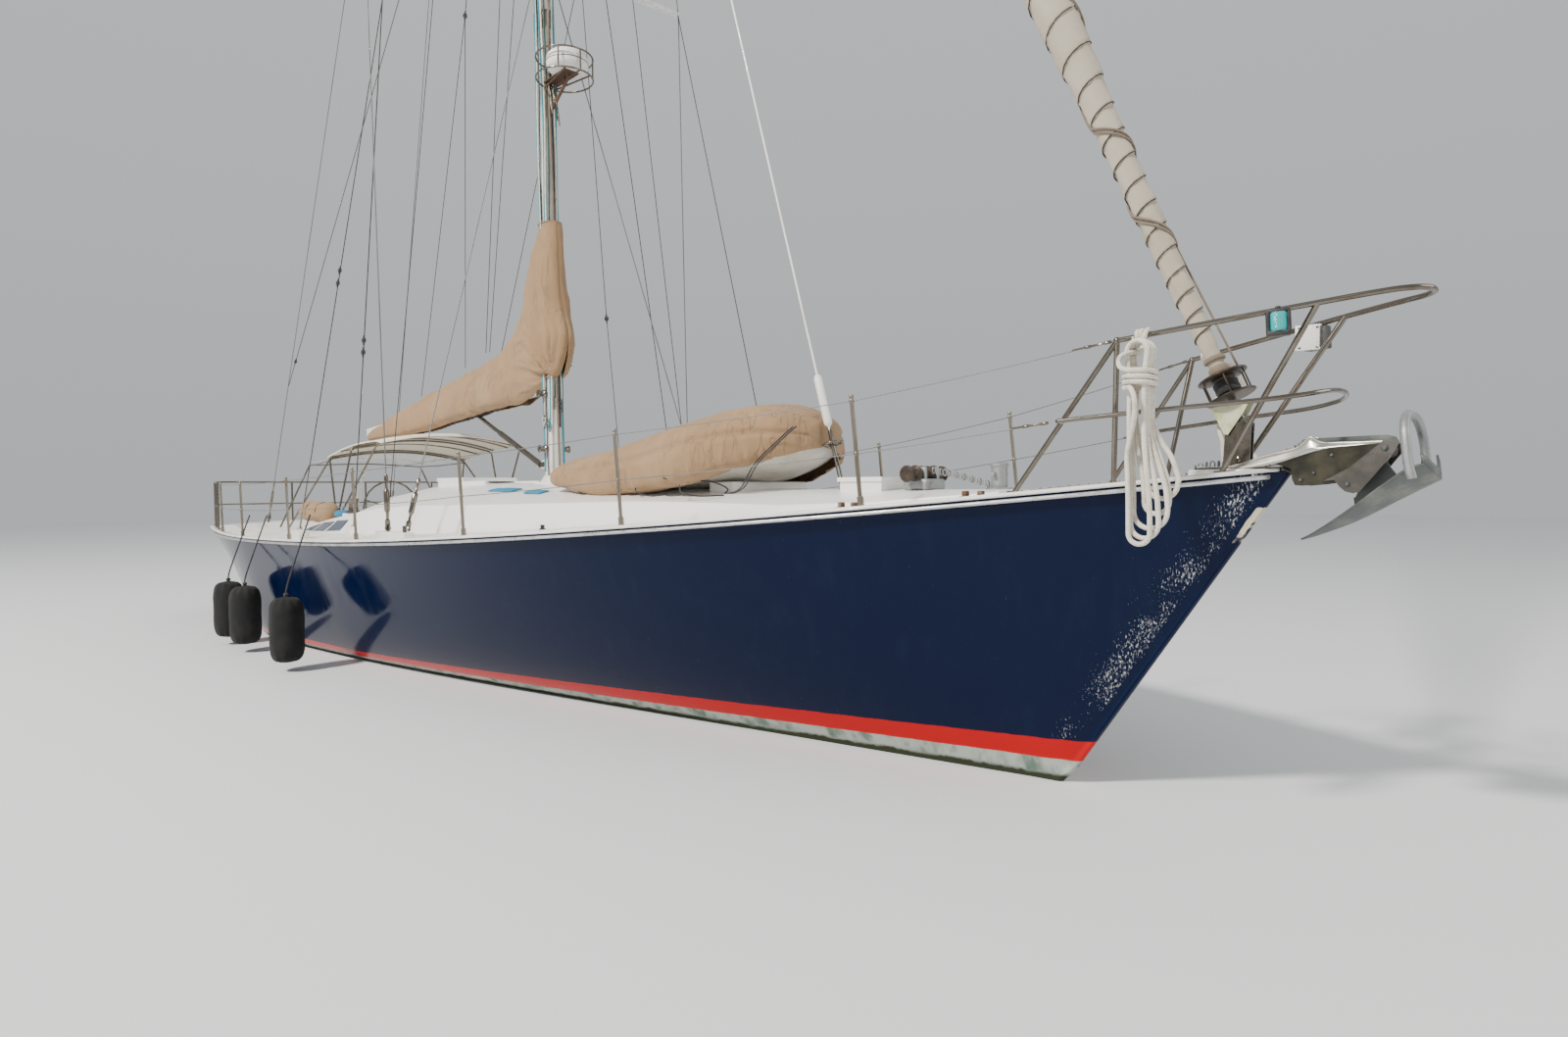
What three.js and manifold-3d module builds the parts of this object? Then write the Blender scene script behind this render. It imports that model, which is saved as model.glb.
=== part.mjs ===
// An ocean-going sailing yacht of about 16 m: a single mast, a furled headsail and a covered mainsail.
// She lies afloat at her waterline, with a covered dinghy upright on the foredeck.
// Millimetres, +X to the bow, +Y to port, +Z up. The origin is the middle of the waterline.

import * as THREE from "three";
import { mergeVertices } from "three/addons/utils/BufferGeometryUtils.js";
import Module from "manifold-3d";

const wasm = await Module();
wasm.setup();

// Driving dimensions of the hull
const STEM_X = 6400; // the stem at the waterline
const STEM_RAKE = 0.648; // forward per millimetre up
const STEM_HALF = 26; // half the stem's width
const BOW_X = 7600; // the foremost station
const BEAM_HALF = 2214;
const MID_X = -4552; // where the sheer is lowest
const SHEER_LOW = 1297;
const SHEER_RISE = 677; // from the lowest point up to the stem head
const STEM_HEAD_X = 7679;
const WATER_HALF = 1913;
const WATERLINE_LENGTH = 12900;
const CANOE_DEPTH = 780; // of the hull without its keel
const DRAFT = 2350;
const STERN_X = -8000; // the foot of the transom
const TRANSOM_FOOT_Z = 540;
const TRANSOM_SLOPE = 29; // degrees from upright, the top forward
const CAMBER = 0.045; // the deck's rise over its half-breadth
const GAP = 0.3; // between pieces that touch

// Driving dimensions of what stands on it
const TRUNK_AFT_X = -2150; // the coachroof's after wall
const COAMING_AFT_X = -4350;
const MAST = { x: 130, foot: 1985, top: 19640, length: 270, width: 190, rake: 0.0186 };
const GOOSENECK = { x: -110, z: 3090, pin: 12, strutZ: 2190, strutPin: 10 };
const BOOM_END = { x: -5480, z: 2790 };
const BOOT_RADIUS = 330; // the mast boot's round back, about the boom's pin
// Each pair of spreaders: height, half length, half chord, half thickness, rise to the tips
const SPREADERS = [
  { name: "lower_spreaders", at: 7870, half: 1925, chord: 65, thick: 18, rise: 85 },
  { name: "upper_spreaders", at: 13500, half: 1250, chord: 55, thick: 16, rise: 60 },
];
const TACK = { x: 7449, z: 2200 };
const RAIL_HEIGHT = 720;
const TUBE = 15; // the rails' radius
const WIRE = 6;

const yacht = new THREE.Group();
const clamp = (value) => Math.min(1, Math.max(0, value));
const mix = (a, b, t) => a + (b - a) * t;

// Materials
const finish = (color, roughness, metalness = 0) =>
  new THREE.MeshStandardMaterial({ color, roughness, metalness });
const navy = finish(0x0b1730, 0.15);
const white = finish(0xf2f0ea, 0.35);
const ironKeel = finish(0x31524f, 0.8);
const stainless = finish(0xb9b6ae, 0.3, 1);
const galvanised = finish(0x85898a, 0.5, 0.8);
const alloy = finish(0xd9d9d6, 0.4, 0.6);
const spar = finish(0xeceae4, 0.35);
const canvas = finish(0xb8977a, 0.95);
const cream = finish(0xf0e6cf, 0.9);
const sailcloth = finish(0xd8ccb4, 0.9);
const rope = finish(0xe8e2d4, 0.95);
const blackRubber = finish(0x17171a, 0.8);
const bronze = finish(0x9a7442, 0.4, 1);
const acrylic = finish(0x2f8c98, 0.2);

// Solids: a closed three.js geometry becomes one that can be joined and cut

function solid(geometry) {
  const bare = new THREE.BufferGeometry();
  const loose = geometry.index ? geometry.toNonIndexed() : geometry;
  bare.setAttribute("position", loose.getAttribute("position"));
  const merged = mergeVertices(bare, 1e-3);
  const points = merged.attributes.position;
  const corners = merged.index.array;
  const faces = [];
  let volume = 0;
  const [a, b, c] = [new THREE.Vector3(), new THREE.Vector3(), new THREE.Vector3()];
  for (let i = 0; i < corners.length; i += 3) {
    const [p, q, r] = corners.slice(i, i + 3);
    if (p === q || q === r || r === p) continue;
    faces.push(p, q, r);
    a.fromBufferAttribute(points, p);
    b.fromBufferAttribute(points, q);
    c.fromBufferAttribute(points, r);
    volume += a.dot(b.cross(c));
  }
  if (volume < 0) {
    for (let i = 0; i < faces.length; i += 3) [faces[i + 1], faces[i + 2]] = [faces[i + 2], faces[i + 1]];
  }
  const mesh = new wasm.Mesh({
    numProp: 3,
    vertProperties: points.array,
    triVerts: new Uint32Array(faces),
  });
  return new wasm.Manifold(mesh);
}

const join = (...solids) => solids.flat().reduce((whole, next) => whole.add(next));
const cut = (whole, ...tools) => tools.flat().reduce((left, tool) => left.subtract(tool), whole);

function add(name, shape, material) {
  const { vertProperties, triVerts } = shape.getMesh();
  const geometry = new THREE.BufferGeometry();
  geometry.setAttribute("position", new THREE.BufferAttribute(Float32Array.from(vertProperties), 3));
  geometry.setIndex(new THREE.BufferAttribute(Uint32Array.from(triVerts), 1));
  geometry.computeVertexNormals();
  const mesh = new THREE.Mesh(geometry, material);
  mesh.name = name;
  yacht.add(mesh);
}

// The radius of a many-sided bore whose flats clear a round pin by the gap.
const boreFor = (pin, sides) => (pin + GAP) / Math.cos(Math.PI / sides);

// A box from its lowest to its highest corner.
function block([x0, y0, z0], [x1, y1, z1]) {
  const box = new THREE.BoxGeometry(x1 - x0, y1 - y0, z1 - z0);
  return solid(box.translate((x0 + x1) / 2, (y0 + y1) / 2, (z0 + z1) / 2));
}

// A round bar between two points, tapering where the second radius differs.
function rod(from, to, radius, { end = radius, sides = 8 } = {}) {
  const [a, b] = [new THREE.Vector3(...from), new THREE.Vector3(...to)];
  const along = b.clone().sub(a);
  const bar = new THREE.CylinderGeometry(end, radius, along.length(), sides);
  const turn = new THREE.Quaternion().setFromUnitVectors(new THREE.Vector3(0, 1, 0), along.normalize());
  const middle = a.add(b).multiplyScalar(0.5);
  return solid(bar.applyQuaternion(turn).translate(middle.x, middle.y, middle.z));
}

const ball = ([x, y, z], radius) => solid(new THREE.IcosahedronGeometry(radius, 0).translate(x, y, z));

// One tube from point to point, mitred at each corner.
function frame(points, radius, sides = 8) {
  const stops = points.map((p) => new THREE.Vector3(...p));
  const bars = stops.slice(1).map((to, i) => to.clone().sub(stops[i]).normalize());
  const upright = Math.abs(bars[0].z) > 0.9 ? new THREE.Vector3(1, 0, 0) : new THREE.Vector3(0, 0, 1);
  const across = upright.cross(bars[0]).normalize();
  const third = bars[0].clone().cross(across);
  let ring = Array.from({ length: sides }, (_, i) => {
    const angle = (2 * Math.PI * (i + 0.5)) / sides;
    return stops[0].clone()
      .addScaledVector(across, radius * Math.cos(angle)).addScaledVector(third, radius * Math.sin(angle));
  });
  const rings = [ring];
  bars.forEach((bar, i) => {
    const mitre = bar.clone().add(bars[i + 1] ?? bar).normalize();
    ring = ring.map((point) => {
      const left = stops[i + 1].clone().sub(point).dot(mitre) / bar.dot(mitre);
      return point.clone().addScaledVector(bar, left);
    });
    rings.push(ring);
  });
  return loft(rings.map((points) => points.map((point) => point.toArray())));
}

// A tube along a smooth curve through the points.
function bentTube(points, radius, { steps = 16, sides = 8, closed = false } = {}) {
  const path = new THREE.CatmullRomCurve3(points.map((p) => new THREE.Vector3(...p)), closed);
  const ring = new THREE.Shape();
  for (let i = 0; i < sides; i += 1) {
    const angle = (2 * Math.PI * i) / sides;
    const point = [radius * Math.cos(angle), radius * Math.sin(angle)];
    if (i === 0) ring.moveTo(...point);
    else ring.lineTo(...point);
  }
  return solid(new THREE.ExtrudeGeometry(ring, { steps, extrudePath: path, bevelEnabled: false }));
}

// A ring of round bar, flat in one plane: oval where the two radii differ.
function hoop([x, y, z], radiusX, radiusY, bar, { across = [0, 0, 1], sides = 6, steps = 20 } = {}) {
  const torus = new THREE.TorusGeometry(radiusX, bar, sides, steps).scale(1, radiusY / radiusX, 1);
  const turn = new THREE.Quaternion().setFromUnitVectors(new THREE.Vector3(0, 0, 1), new THREE.Vector3(...across));
  return solid(torus.applyQuaternion(turn).translate(x, y, z));
}

// A flat plate: an outline in one plane, extruded across it.
function plate(outline, low, high, plane) {
  const shape = new THREE.Shape(outline.map(([u, v]) => new THREE.Vector2(u, v)));
  const slab = new THREE.ExtrudeGeometry(shape, { depth: high - low, bevelEnabled: false });
  if (plane === "xy") slab.translate(0, 0, low);
  if (plane === "xz") slab.rotateX(Math.PI / 2).translate(0, high, 0);
  if (plane === "yz") slab.rotateX(Math.PI / 2).rotateZ(Math.PI / 2).translate(low, 0, 0);
  return solid(slab);
}

// A turned piece: its profile is [radius, height] pairs, standing at a point along a direction.
function turned(profile, at, direction = [0, 0, 1], sides = 16) {
  const lathe = new THREE.LatheGeometry(profile.map(([r, h]) => new THREE.Vector2(r, h)), sides);
  const up = new THREE.Vector3(...direction).normalize();
  lathe.applyQuaternion(new THREE.Quaternion().setFromUnitVectors(new THREE.Vector3(0, 1, 0), up));
  return solid(lathe.translate(...at));
}

// A skin over closed sections of equally many points, with both ends filled from their middles.
function loft(sections) {
  const count = sections[0].length;
  const middle = (loop) => [0, 1, 2].map((k) => loop.reduce((sum, p) => sum + p[k], 0) / count);
  const corners = [];
  const face = (...points) => corners.push(...points.flat());
  sections.slice(1).forEach((next, s) => {
    const last = sections[s];
    for (let i = 0; i < count; i += 1) {
      const j = (i + 1) % count;
      face(last[i], next[i], next[j]);
      face(last[i], next[j], last[j]);
    }
  });
  const [first, final] = [sections[0], sections[sections.length - 1]];
  for (let i = 0; i < count; i += 1) {
    const j = (i + 1) % count;
    face(middle(first), first[i], first[j]);
    face(middle(final), final[j], final[i]);
  }
  const geometry = new THREE.BufferGeometry();
  geometry.setAttribute("position", new THREE.Float32BufferAttribute(corners, 3));
  return solid(geometry);
}

// A sheet of even thickness: rows of points, each row as long as the first.
function sheet(rows, thickness) {
  const sink = (row) => row.map(([x, y, z]) => [x, y, z - thickness]);
  const loops = rows.map((row) => [...row, ...sink(row).reverse()]);
  const count = rows[0].length;
  const corners = [];
  const quad = (a, b, c, d) => corners.push(...a, ...b, ...c, ...a, ...c, ...d);
  loops.slice(1).forEach((next, s) => {
    const last = loops[s];
    for (let i = 0; i < last.length; i += 1) {
      const j = (i + 1) % last.length;
      quad(last[i], next[i], next[j], last[j]);
    }
  });
  [loops[0], loops[loops.length - 1]].forEach((loop, end) => {
    for (let i = 0; i < count - 1; i += 1) {
      const strip = [loop[i], loop[i + 1], loop[2 * count - 2 - i], loop[2 * count - 1 - i]];
      quad(...(end ? strip.reverse() : strip));
    }
  });
  const geometry = new THREE.BufferGeometry();
  geometry.setAttribute("position", new THREE.Float32BufferAttribute(corners, 3));
  return solid(geometry);
}

// An upright oval ring of points.
const oval = (x, y, z, halfX, halfY, count = 12) =>
  Array.from({ length: count }, (_, i) => {
    const angle = (2 * Math.PI * i) / count;
    return [x + halfX * Math.cos(angle), y + halfY * Math.sin(angle), z];
  });

// A symmetric foil section at one height, from its nose aft.
function foil(noseX, chord, thickness, z) {
  const stations = [0, 0.04, 0.15, 0.35, 0.65, 1];
  const half = (u) => thickness * (1.48 * Math.sqrt(u) - 0.63 * u - 1.76 * u ** 2 + 0.91 * u ** 3);
  const edge = (u) => (u === 1 ? 6 : Math.max(half(u), 0));
  const starboard = stations.slice(1).map((u) => [noseX - u * chord, -edge(u), z]);
  const port = stations.slice(1).map((u) => [noseX - u * chord, edge(u), z]);
  return [[noseX, 0, z], ...starboard, ...port.reverse()];
}

// The hull's lines

const sheerZ = (x) => SHEER_LOW + SHEER_RISE * ((x - MID_X) / (STEM_HEAD_X - MID_X)) ** 2;

function deckHalf(x) {
  const s = clamp((STEM_HEAD_X - x) / 9273);
  const aft = clamp((-3600 - x) / 4300);
  return BEAM_HALF * (1 - (1 - s) ** 2.27) - 520 * aft ** 1.8;
}

function waterHalf(x) {
  const s = clamp((STEM_X - x) / 9916);
  const aft = clamp((-3500 - x) / 3000);
  return WATER_HALF * (1 - (1 - s) ** 1.247) * (1 - aft ** 2.2);
}

// The line of the hull's bottom on the centreline, with the raked stem and the rising counter.
function bottomZ(x) {
  const v = (STEM_X - x) / WATERLINE_LENGTH;
  if (v <= 0) return (x - STEM_X) / STEM_RAKE;
  if (v >= 1) return (STEM_X - WATERLINE_LENGTH - x) * 0.36;
  return -CANOE_DEPTH * Math.sin(Math.PI * v) ** (0.7 + 0.5 * v);
}

// The topsides flare at the bow and stand fuller aft.
const flare = (x) => 0.5 + 0.45 * clamp((x + 1000) / 7000);

const deckZ = (x, y) => sheerZ(x) + CAMBER * deckHalf(x) * (1 - (y / deckHalf(x)) ** 2);

// Half a station: [y, z] pairs from the deck's edge down to the centreline.
function halfStation(x) {
  const low = bottomZ(x);
  const water = Math.max(low + 20, 0);
  const waterline = Math.max(STEM_HALF, waterHalf(x));
  const heights = [1, 0.82, 0.64, 0.46, 0.3, 0.16, 0.06, 0];
  const topsides = heights.map((t) => [
    mix(waterline, Math.max(deckHalf(x), STEM_HALF + 4), t ** flare(x)),
    mix(water, sheerZ(x), t),
  ]);
  const depths = [0.3, 0.55, 0.76, 0.92, 1];
  const underbody = depths.map((t) => [
    waterline * (1 - t ** 1.8) ** 0.75,
    mix(water, low, t),
  ]);
  return [...topsides, ...underbody];
}

function station(x) {
  const half = halfStation(x);
  const starboard = half.map(([y, z]) => [x, -y, z]);
  const port = half.slice(0, -1).reverse().map(([y, z]) => [x, y, z]);
  const deck = [0.75, 0.45, 0.15, -0.15, -0.45, -0.75].map((f) => {
    const y = f * half[0][0];
    return [x, y, deckZ(x, y)];
  });
  return [...starboard, ...port, ...deck];
}

const STATIONS = [
  BOW_X, 7350, 7000, 6600, 6250, 5800, 5100, 4000, 2800, 1400, -200,
  -1900, -3600, -5000, -6000, -6700, -7300, STERN_X - 200,
];

const transomTool = (() => {
  const box = new THREE.BoxGeometry(3000, 6000, 6000).translate(-1500, 0, 0);
  box.rotateY(THREE.MathUtils.degToRad(TRANSOM_SLOPE));
  return solid(box.translate(STERN_X, 0, TRANSOM_FOOT_Z));
})();

// The cabin's well under the coachroof, and the cockpit abaft it
const CABIN = { fore: 2900, foreHalf: 480, aft: -1950, aftHalf: 1120, floor: -250 };
const FOREPEAK = { fore: 5050, foreHalf: 230, floor: 500 };
const COCKPIT = { fore: -2320, aft: -5500, half: 1020, seat: 1150, wellHalf: 420, sole: 720 };
const HELM_WELL = { fore: -4150, aft: -5350, half: 640 };
const STOCK = { x: -5560, radius: 30, top: 500 };

const SHAFT = { x: -4640, z: -750, slope: 8, radius: 20 };
const shaftTurn = THREE.MathUtils.degToRad(SHAFT.slope);
const shaftAlong = [Math.cos(shaftTurn), 0, Math.sin(shaftTurn)];
const onShaft = (distance) => [
  SHAFT.x + distance * shaftAlong[0], 0, SHAFT.z + distance * shaftAlong[2],
];

const bareHull = cut(loft(STATIONS.map(station)), transomTool);
const ABOVE_ALL = 4000;

function makeHull() {
  const cabin = plate(
    [[CABIN.fore, -CABIN.foreHalf], [CABIN.fore, CABIN.foreHalf],
      [CABIN.aft, CABIN.aftHalf], [CABIN.aft, -CABIN.aftHalf]],
    CABIN.floor, ABOVE_ALL, "xy",
  );
  const forepeak = plate(
    [[FOREPEAK.fore, -FOREPEAK.foreHalf], [FOREPEAK.fore, FOREPEAK.foreHalf],
      [CABIN.fore - 50, CABIN.foreHalf], [CABIN.fore - 50, -CABIN.foreHalf]],
    FOREPEAK.floor, ABOVE_ALL, "xy",
  );
  const seats = block([COCKPIT.aft, -COCKPIT.half, COCKPIT.seat], [COCKPIT.fore, COCKPIT.half, ABOVE_ALL]);
  const footwell = block(
    [COCKPIT.aft + 100, -COCKPIT.wellHalf, COCKPIT.sole],
    [COCKPIT.fore - 100, COCKPIT.wellHalf, ABOVE_ALL],
  );
  const helmWell = block(
    [HELM_WELL.aft, -HELM_WELL.half, COCKPIT.sole], [HELM_WELL.fore, HELM_WELL.half, ABOVE_ALL],
  );
  const stockBore = rod([STOCK.x, 0, -600], [STOCK.x, 0, STOCK.top + 20], boreFor(STOCK.radius, 16), { sides: 16 });
  const shaftBore = rod(onShaft(900), onShaft(2300), boreFor(SHAFT.radius, 16), { sides: 16 });
  return cut(bareHull, cabin, forepeak, seats, footwell, helmWell, stockBore, shaftBore);
}

const hull = makeHull();

// A shape trimmed to lie on a neighbour, or under or beside it, with the gap between them.
function against(shape, neighbour, [dx, dy, dz] = [0, 0, 1]) {
  return cut(shape, neighbour, neighbour.translate([dx * GAP, dy * GAP, dz * GAP]));
}
const seated = (shape) => against(shape, bareHull);
const hung = (shape) => against(shape, bareHull, [0, 0, -1]);

// The hull in its lengths between the bulkheads: name, aft end, fore end
const HULL_LENGTHS = [
  ["hull_fore", CABIN.fore, BOW_X + 500],
  ["hull_midships", CABIN.aft, CABIN.fore],
  ["hull_cockpit", COCKPIT.aft, CABIN.aft],
  ["hull_stern", STERN_X - 2000, COCKPIT.aft],
];
const lengthOf = (shape, aft, fore) => shape.intersect(block([aft + GAP, -3000, -3000], [fore, 3000, 3000]));
for (const [name, aft, fore] of HULL_LENGTHS) add(name, lengthOf(hull, aft, fore), navy);

// The metal strake that runs round the sheer on each side
function rubRail(side) {
  const reach = { out: 42, in: 14, up: 8, down: 62 };
  const sections = [7430, ...STATIONS.slice(1, -1), -7480].map((x) => {
    const edge = deckHalf(x);
    const top = sheerZ(x) + reach.up;
    return [
      [x, side * (edge - reach.in), top], [x, side * (edge + reach.out * 0.4), top],
      [x, side * (edge + reach.out), top - 26], [x, side * (edge + reach.out), top - 50],
      [x, side * (edge - reach.in), top - reach.down],
    ];
  });
  return against(against(loft(sections), bareHull), bareHull, [0, side * 2, 0]);
}
for (const [name, side] of [["starboard", -1], ["port", 1]]) {
  add(`rub_rail_${name}`, rubRail(side), alloy);
}

// Below the water: keel, skeg, rudder, shaft and propeller

const KEEL = { noseX: 1150, chord: 2800, tipNoseX: 650, tipChord: 1900, thickness: 300, bulb: 1950 };

function makeKeel() {
  const fin = loft([
    foil(KEEL.noseX, KEEL.chord, KEEL.thickness, -500),
    foil(mix(KEEL.noseX, KEEL.tipNoseX, 0.75), mix(KEEL.chord, KEEL.tipChord, 0.75), 250, -KEEL.bulb),
    foil(KEEL.tipNoseX + 60, KEEL.tipChord + 160, 420, -DRAFT + 160),
    foil(KEEL.tipNoseX + 40, KEEL.tipChord + 120, 360, -DRAFT),
  ]);
  return hung(fin);
}
add("keel", makeKeel(), ironKeel);

const RUDDER = { top: -230, foot: -1750, nose: 55, chord: 620, footChord: 470, thickness: 105, pin: 18 };

function makeSkeg() {
  const aft = STOCK.x + 75;
  const sides = [-1, 1].map((side) => [[-4780, 30], [aft, 62], [aft, 62]].map(([x, y]) => [x, side * y]));
  const level = (z, noseX) => [
    [noseX, 0, z], [mix(noseX, aft, 0.3), -sides[1][0][1] - 8, z], [aft, -RUDDER.thickness / 2, z],
    [aft, RUDDER.thickness / 2, z], [mix(noseX, aft, 0.3), sides[1][0][1] + 8, z],
  ];
  const blade = loft([level(0, -4650), level(-700, -4900), level(RUDDER.foot + 20, -5180)]);
  const shoe = block([STOCK.x - 60, -40, RUDDER.foot - 45], [-5200, 40, RUDDER.foot - 6]);
  const web = block([aft - 10, -40, RUDDER.foot - 45], [-5200, 40, RUDDER.foot + 40]);
  const pin = rod([STOCK.x, 0, RUDDER.foot - 30], [STOCK.x, 0, RUDDER.foot + 70], RUDDER.pin, { sides: 12 });
  return hung(join(blade, web, shoe, pin));
}
add("skeg", makeSkeg(), ironKeel);

function makeRudder() {
  const nose = STOCK.x + RUDDER.nose;
  const blade = loft([
    foil(nose, RUDDER.chord, RUDDER.thickness, RUDDER.top),
    foil(nose, mix(RUDDER.chord, RUDDER.footChord, 0.6), RUDDER.thickness, -1200),
    foil(nose, RUDDER.footChord, RUDDER.thickness * 0.9, RUDDER.foot),
  ]);
  const stock = rod([STOCK.x, 0, RUDDER.top - 200], [STOCK.x, 0, STOCK.top], STOCK.radius, { sides: 16 });
  const heel = rod([STOCK.x, 0, RUDDER.foot - 2], [STOCK.x, 0, RUDDER.foot + 76], boreFor(RUDDER.pin, 12), { sides: 12 });
  return cut(join(blade, stock), heel);
}
add("rudder", makeRudder(), ironKeel);

function makeShaftStrut() {
  const at = onShaft(230);
  const barrel = turned([[0, -70], [42, -70], [42, 70], [0, 70]], at, shaftAlong);
  const inner = boreFor(SHAFT.radius, 16);
  const bore = turned([[0, -90], [inner, -90], [inner, 90], [0, 90]], at, shaftAlong);
  const arm = loft([
    [[at[0] + 55, 0, at[2]], [at[0], -12, at[2]], [at[0] - 55, 0, at[2]], [at[0], 12, at[2]]],
    [[at[0] + 95, 0, 0], [at[0] + 25, -12, 0], [at[0] - 45, 0, 0], [at[0] + 25, 12, 0]],
  ]);
  return hung(cut(join(barrel, arm), bore));
}
add("shaft_strut", makeShaftStrut(), bronze);

function makePropeller() {
  const hub = turned([[0, -90], [30, -85], [58, -40], [62, 60], [0, 60]], onShaft(0), shaftAlong);
  const shaft = rod(onShaft(0), onShaft(2200), SHAFT.radius, { sides: 16 });
  const blades = [0, 120, 240].map((angle) => {
    const outline = [[-55, 40], [-95, 130], [-60, 235], [0, 255], [60, 235], [95, 130], [55, 40]];
    const shape = new THREE.Shape(outline.map(([u, v]) => new THREE.Vector2(u, v)));
    const leaf = new THREE.ExtrudeGeometry(shape, { depth: 10, bevelEnabled: false });
    leaf.translate(0, 0, -5).rotateX(Math.PI / 2).rotateZ(Math.PI / 2 - 0.45);
    leaf.rotateX(THREE.MathUtils.degToRad(angle)).rotateY(-shaftTurn);
    return solid(leaf.translate(...onShaft(0)));
  });
  return join(hub, shaft, blades);
}
add("propeller", makePropeller(), bronze);

// The engine stands on the cabin's floor, under the companionway.
add("engine", block([-1850, -300, CABIN.floor + GAP], [-800, 300, 480]), galvanised);

// The coachroof and the cockpit's coamings

// Stations of the coachroof: [x, half the width at the foot, half at the edge, edge height, crown height]
const TRUNK = [
  [6050, 300, 250, 1866, 1884],
  [5250, 620, 540, 1800, 1882],
  [4500, 800, 700, 1775, 1888],
  [3300, 960, 830, 1795, 1905],
  [2900, 1060, 930, 1795, 1920],
  [1200, 1340, 1210, 1760, 1955],
  [-700, 1450, 1320, 1730, 1985],
  [-1700, 1480, 1350, 1680, 1980],
  [TRUNK_AFT_X, 1490, 1360, 1640, 1970],
];
const WALL = 45;

function trunkSection([x, foot, edge, edgeZ, crownZ], shrink) {
  const [footY, edgeY, lowZ] = [foot - shrink, edge - shrink, 1000];
  const crown = [1, 0.66, 0.33, 0].map((f) => [
    f * edgeY, edgeZ - shrink + (crownZ - edgeZ) * (1 - f ** 2),
  ]);
  const half = [[footY, lowZ], [footY, sheerZ(x)], [edgeY + 14, edgeZ - shrink - 40], ...crown];
  const port = half.slice(0, -1).map(([y, z]) => [x, y, z]);
  const starboard = half.map(([y, z]) => [x, -y, z]);
  return [...starboard, ...port.reverse()];
}

// The coachroof's outside, grown by the gap, to trim what stands on it
const coachroofTop = loft(TRUNK.map((row) => trunkSection(row, -GAP)));

const HATCHWAY = { fore: -1500, half: 300, sill: 1434, slide: 600 };

const HATCH_RAIL_TOP = 2010;

const trunkCrown = (x) => {
  const after = TRUNK.findIndex((row) => row[0] <= x);
  const [a, b] = [TRUNK[after - 1], TRUNK[after]];
  return mix(a[4], b[4], (x - a[0]) / (b[0] - a[0]));
};

// Lids on the coachroof: name, middle along the boat, half length, half width
const ROOF_HATCHES = [
  { name: "roof_hatch_lid", x: 720, halfLength: 200, half: 230 },
  { name: "fore_hatch_lid", x: 4850, halfLength: 200, half: 210 },
];
const COAMING_RISE = 60; // of the frame under a lid, over the roof

function makeCoachroof() {
  const outer = loft(TRUNK.map((row) => trunkSection(row, 0)));
  const inside = TRUNK.map((row, i) => {
    const shift = i === 0 ? -WALL : i === TRUNK.length - 1 ? WALL : 0;
    return [row[0] + shift, ...row.slice(1)];
  });
  const inner = loft(inside.map((row) => trunkSection(row, WALL)));
  const frames = ROOF_HATCHES.map(({ x, halfLength, half }) =>
    block([x - halfLength, -half, trunkCrown(x) - 70], [x + halfLength, half, trunkCrown(x) + COAMING_RISE]));
  const holes = ROOF_HATCHES.map(({ x, halfLength, half }) =>
    block([x - halfLength + 40, -half + 40, 1500], [x + halfLength - 40, half - 40, 2300]));
  const doorway = block(
    [TRUNK_AFT_X - 100, -HATCHWAY.half, HATCHWAY.sill], [HATCHWAY.fore, HATCHWAY.half, 2400],
  );
  const rails = [-1, 1].map((side) => block(
    [TRUNK_AFT_X, side * 350 - 14, 1900], [HATCHWAY.fore + 60 + HATCHWAY.slide, side * 350 + 14, HATCH_RAIL_TOP],
  ));
  const step = block([MAST.x - 190, -150, 1900], [MAST.x + 190, 150, MAST.foot - GAP]);
  const shell = cut(join(outer, frames, step), inner);
  return seated(cut(join(shell, rails), inner, doorway, ...holes));
}
// The cabin's roof ends at the mast's fore side, and a low trunk carries on along the foredeck.
const wholeRoof = makeCoachroof();
add("coachroof", lengthOf(wholeRoof, TRUNK_AFT_X - 100, CABIN.fore), white);
add("foredeck_trunk", lengthOf(wholeRoof, CABIN.fore, BOW_X), white);

for (const { name, x, halfLength, half } of ROOF_HATCHES) {
  const low = trunkCrown(x) + COAMING_RISE + GAP;
  const lid = block([x - halfLength - 15, -half - 15, low], [x + halfLength + 15, half + 15, low + 32]);
  add(name, lid, acrylic);
}

add("companionway_hatch",
  block([TRUNK_AFT_X - 30, -366, HATCH_RAIL_TOP + GAP], [HATCHWAY.fore + 60, 366, HATCH_RAIL_TOP + 46]), white);
add("washboards",
  block([TRUNK_AFT_X + 12, -HATCHWAY.half + GAP, HATCHWAY.sill + GAP],
    [TRUNK_AFT_X + 34, HATCHWAY.half - GAP, 1940]), acrylic);

// The coaming slopes down abaft the coachroof: [x, top height]
const COAMING_TOP = [[TRUNK_AFT_X - GAP, 1640], [-3200, 1535], [COAMING_AFT_X, 1400]];

function coamingBlank(side) {
  const sections = COAMING_TOP.map(([x, top]) => [
    [x, side * 1080, 1000], [x, side * 1490, 1000], [x, side * 1490, sheerZ(x) + 30],
    [x, side * 1375, top - 25], [x, side * 1340, top], [x, side * 1120, top], [x, side * 1080, top - 25],
  ]);
  return seated(loft(sections));
}

// The winch that stands on each coaming
const WINCH = { x: -2700, y: 1225, spindle: 22 };
const winchTop = mix(
  COAMING_TOP[0][1], COAMING_TOP[1][1],
  (WINCH.x - COAMING_TOP[0][0]) / (COAMING_TOP[1][0] - COAMING_TOP[0][0]),
);

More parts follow.
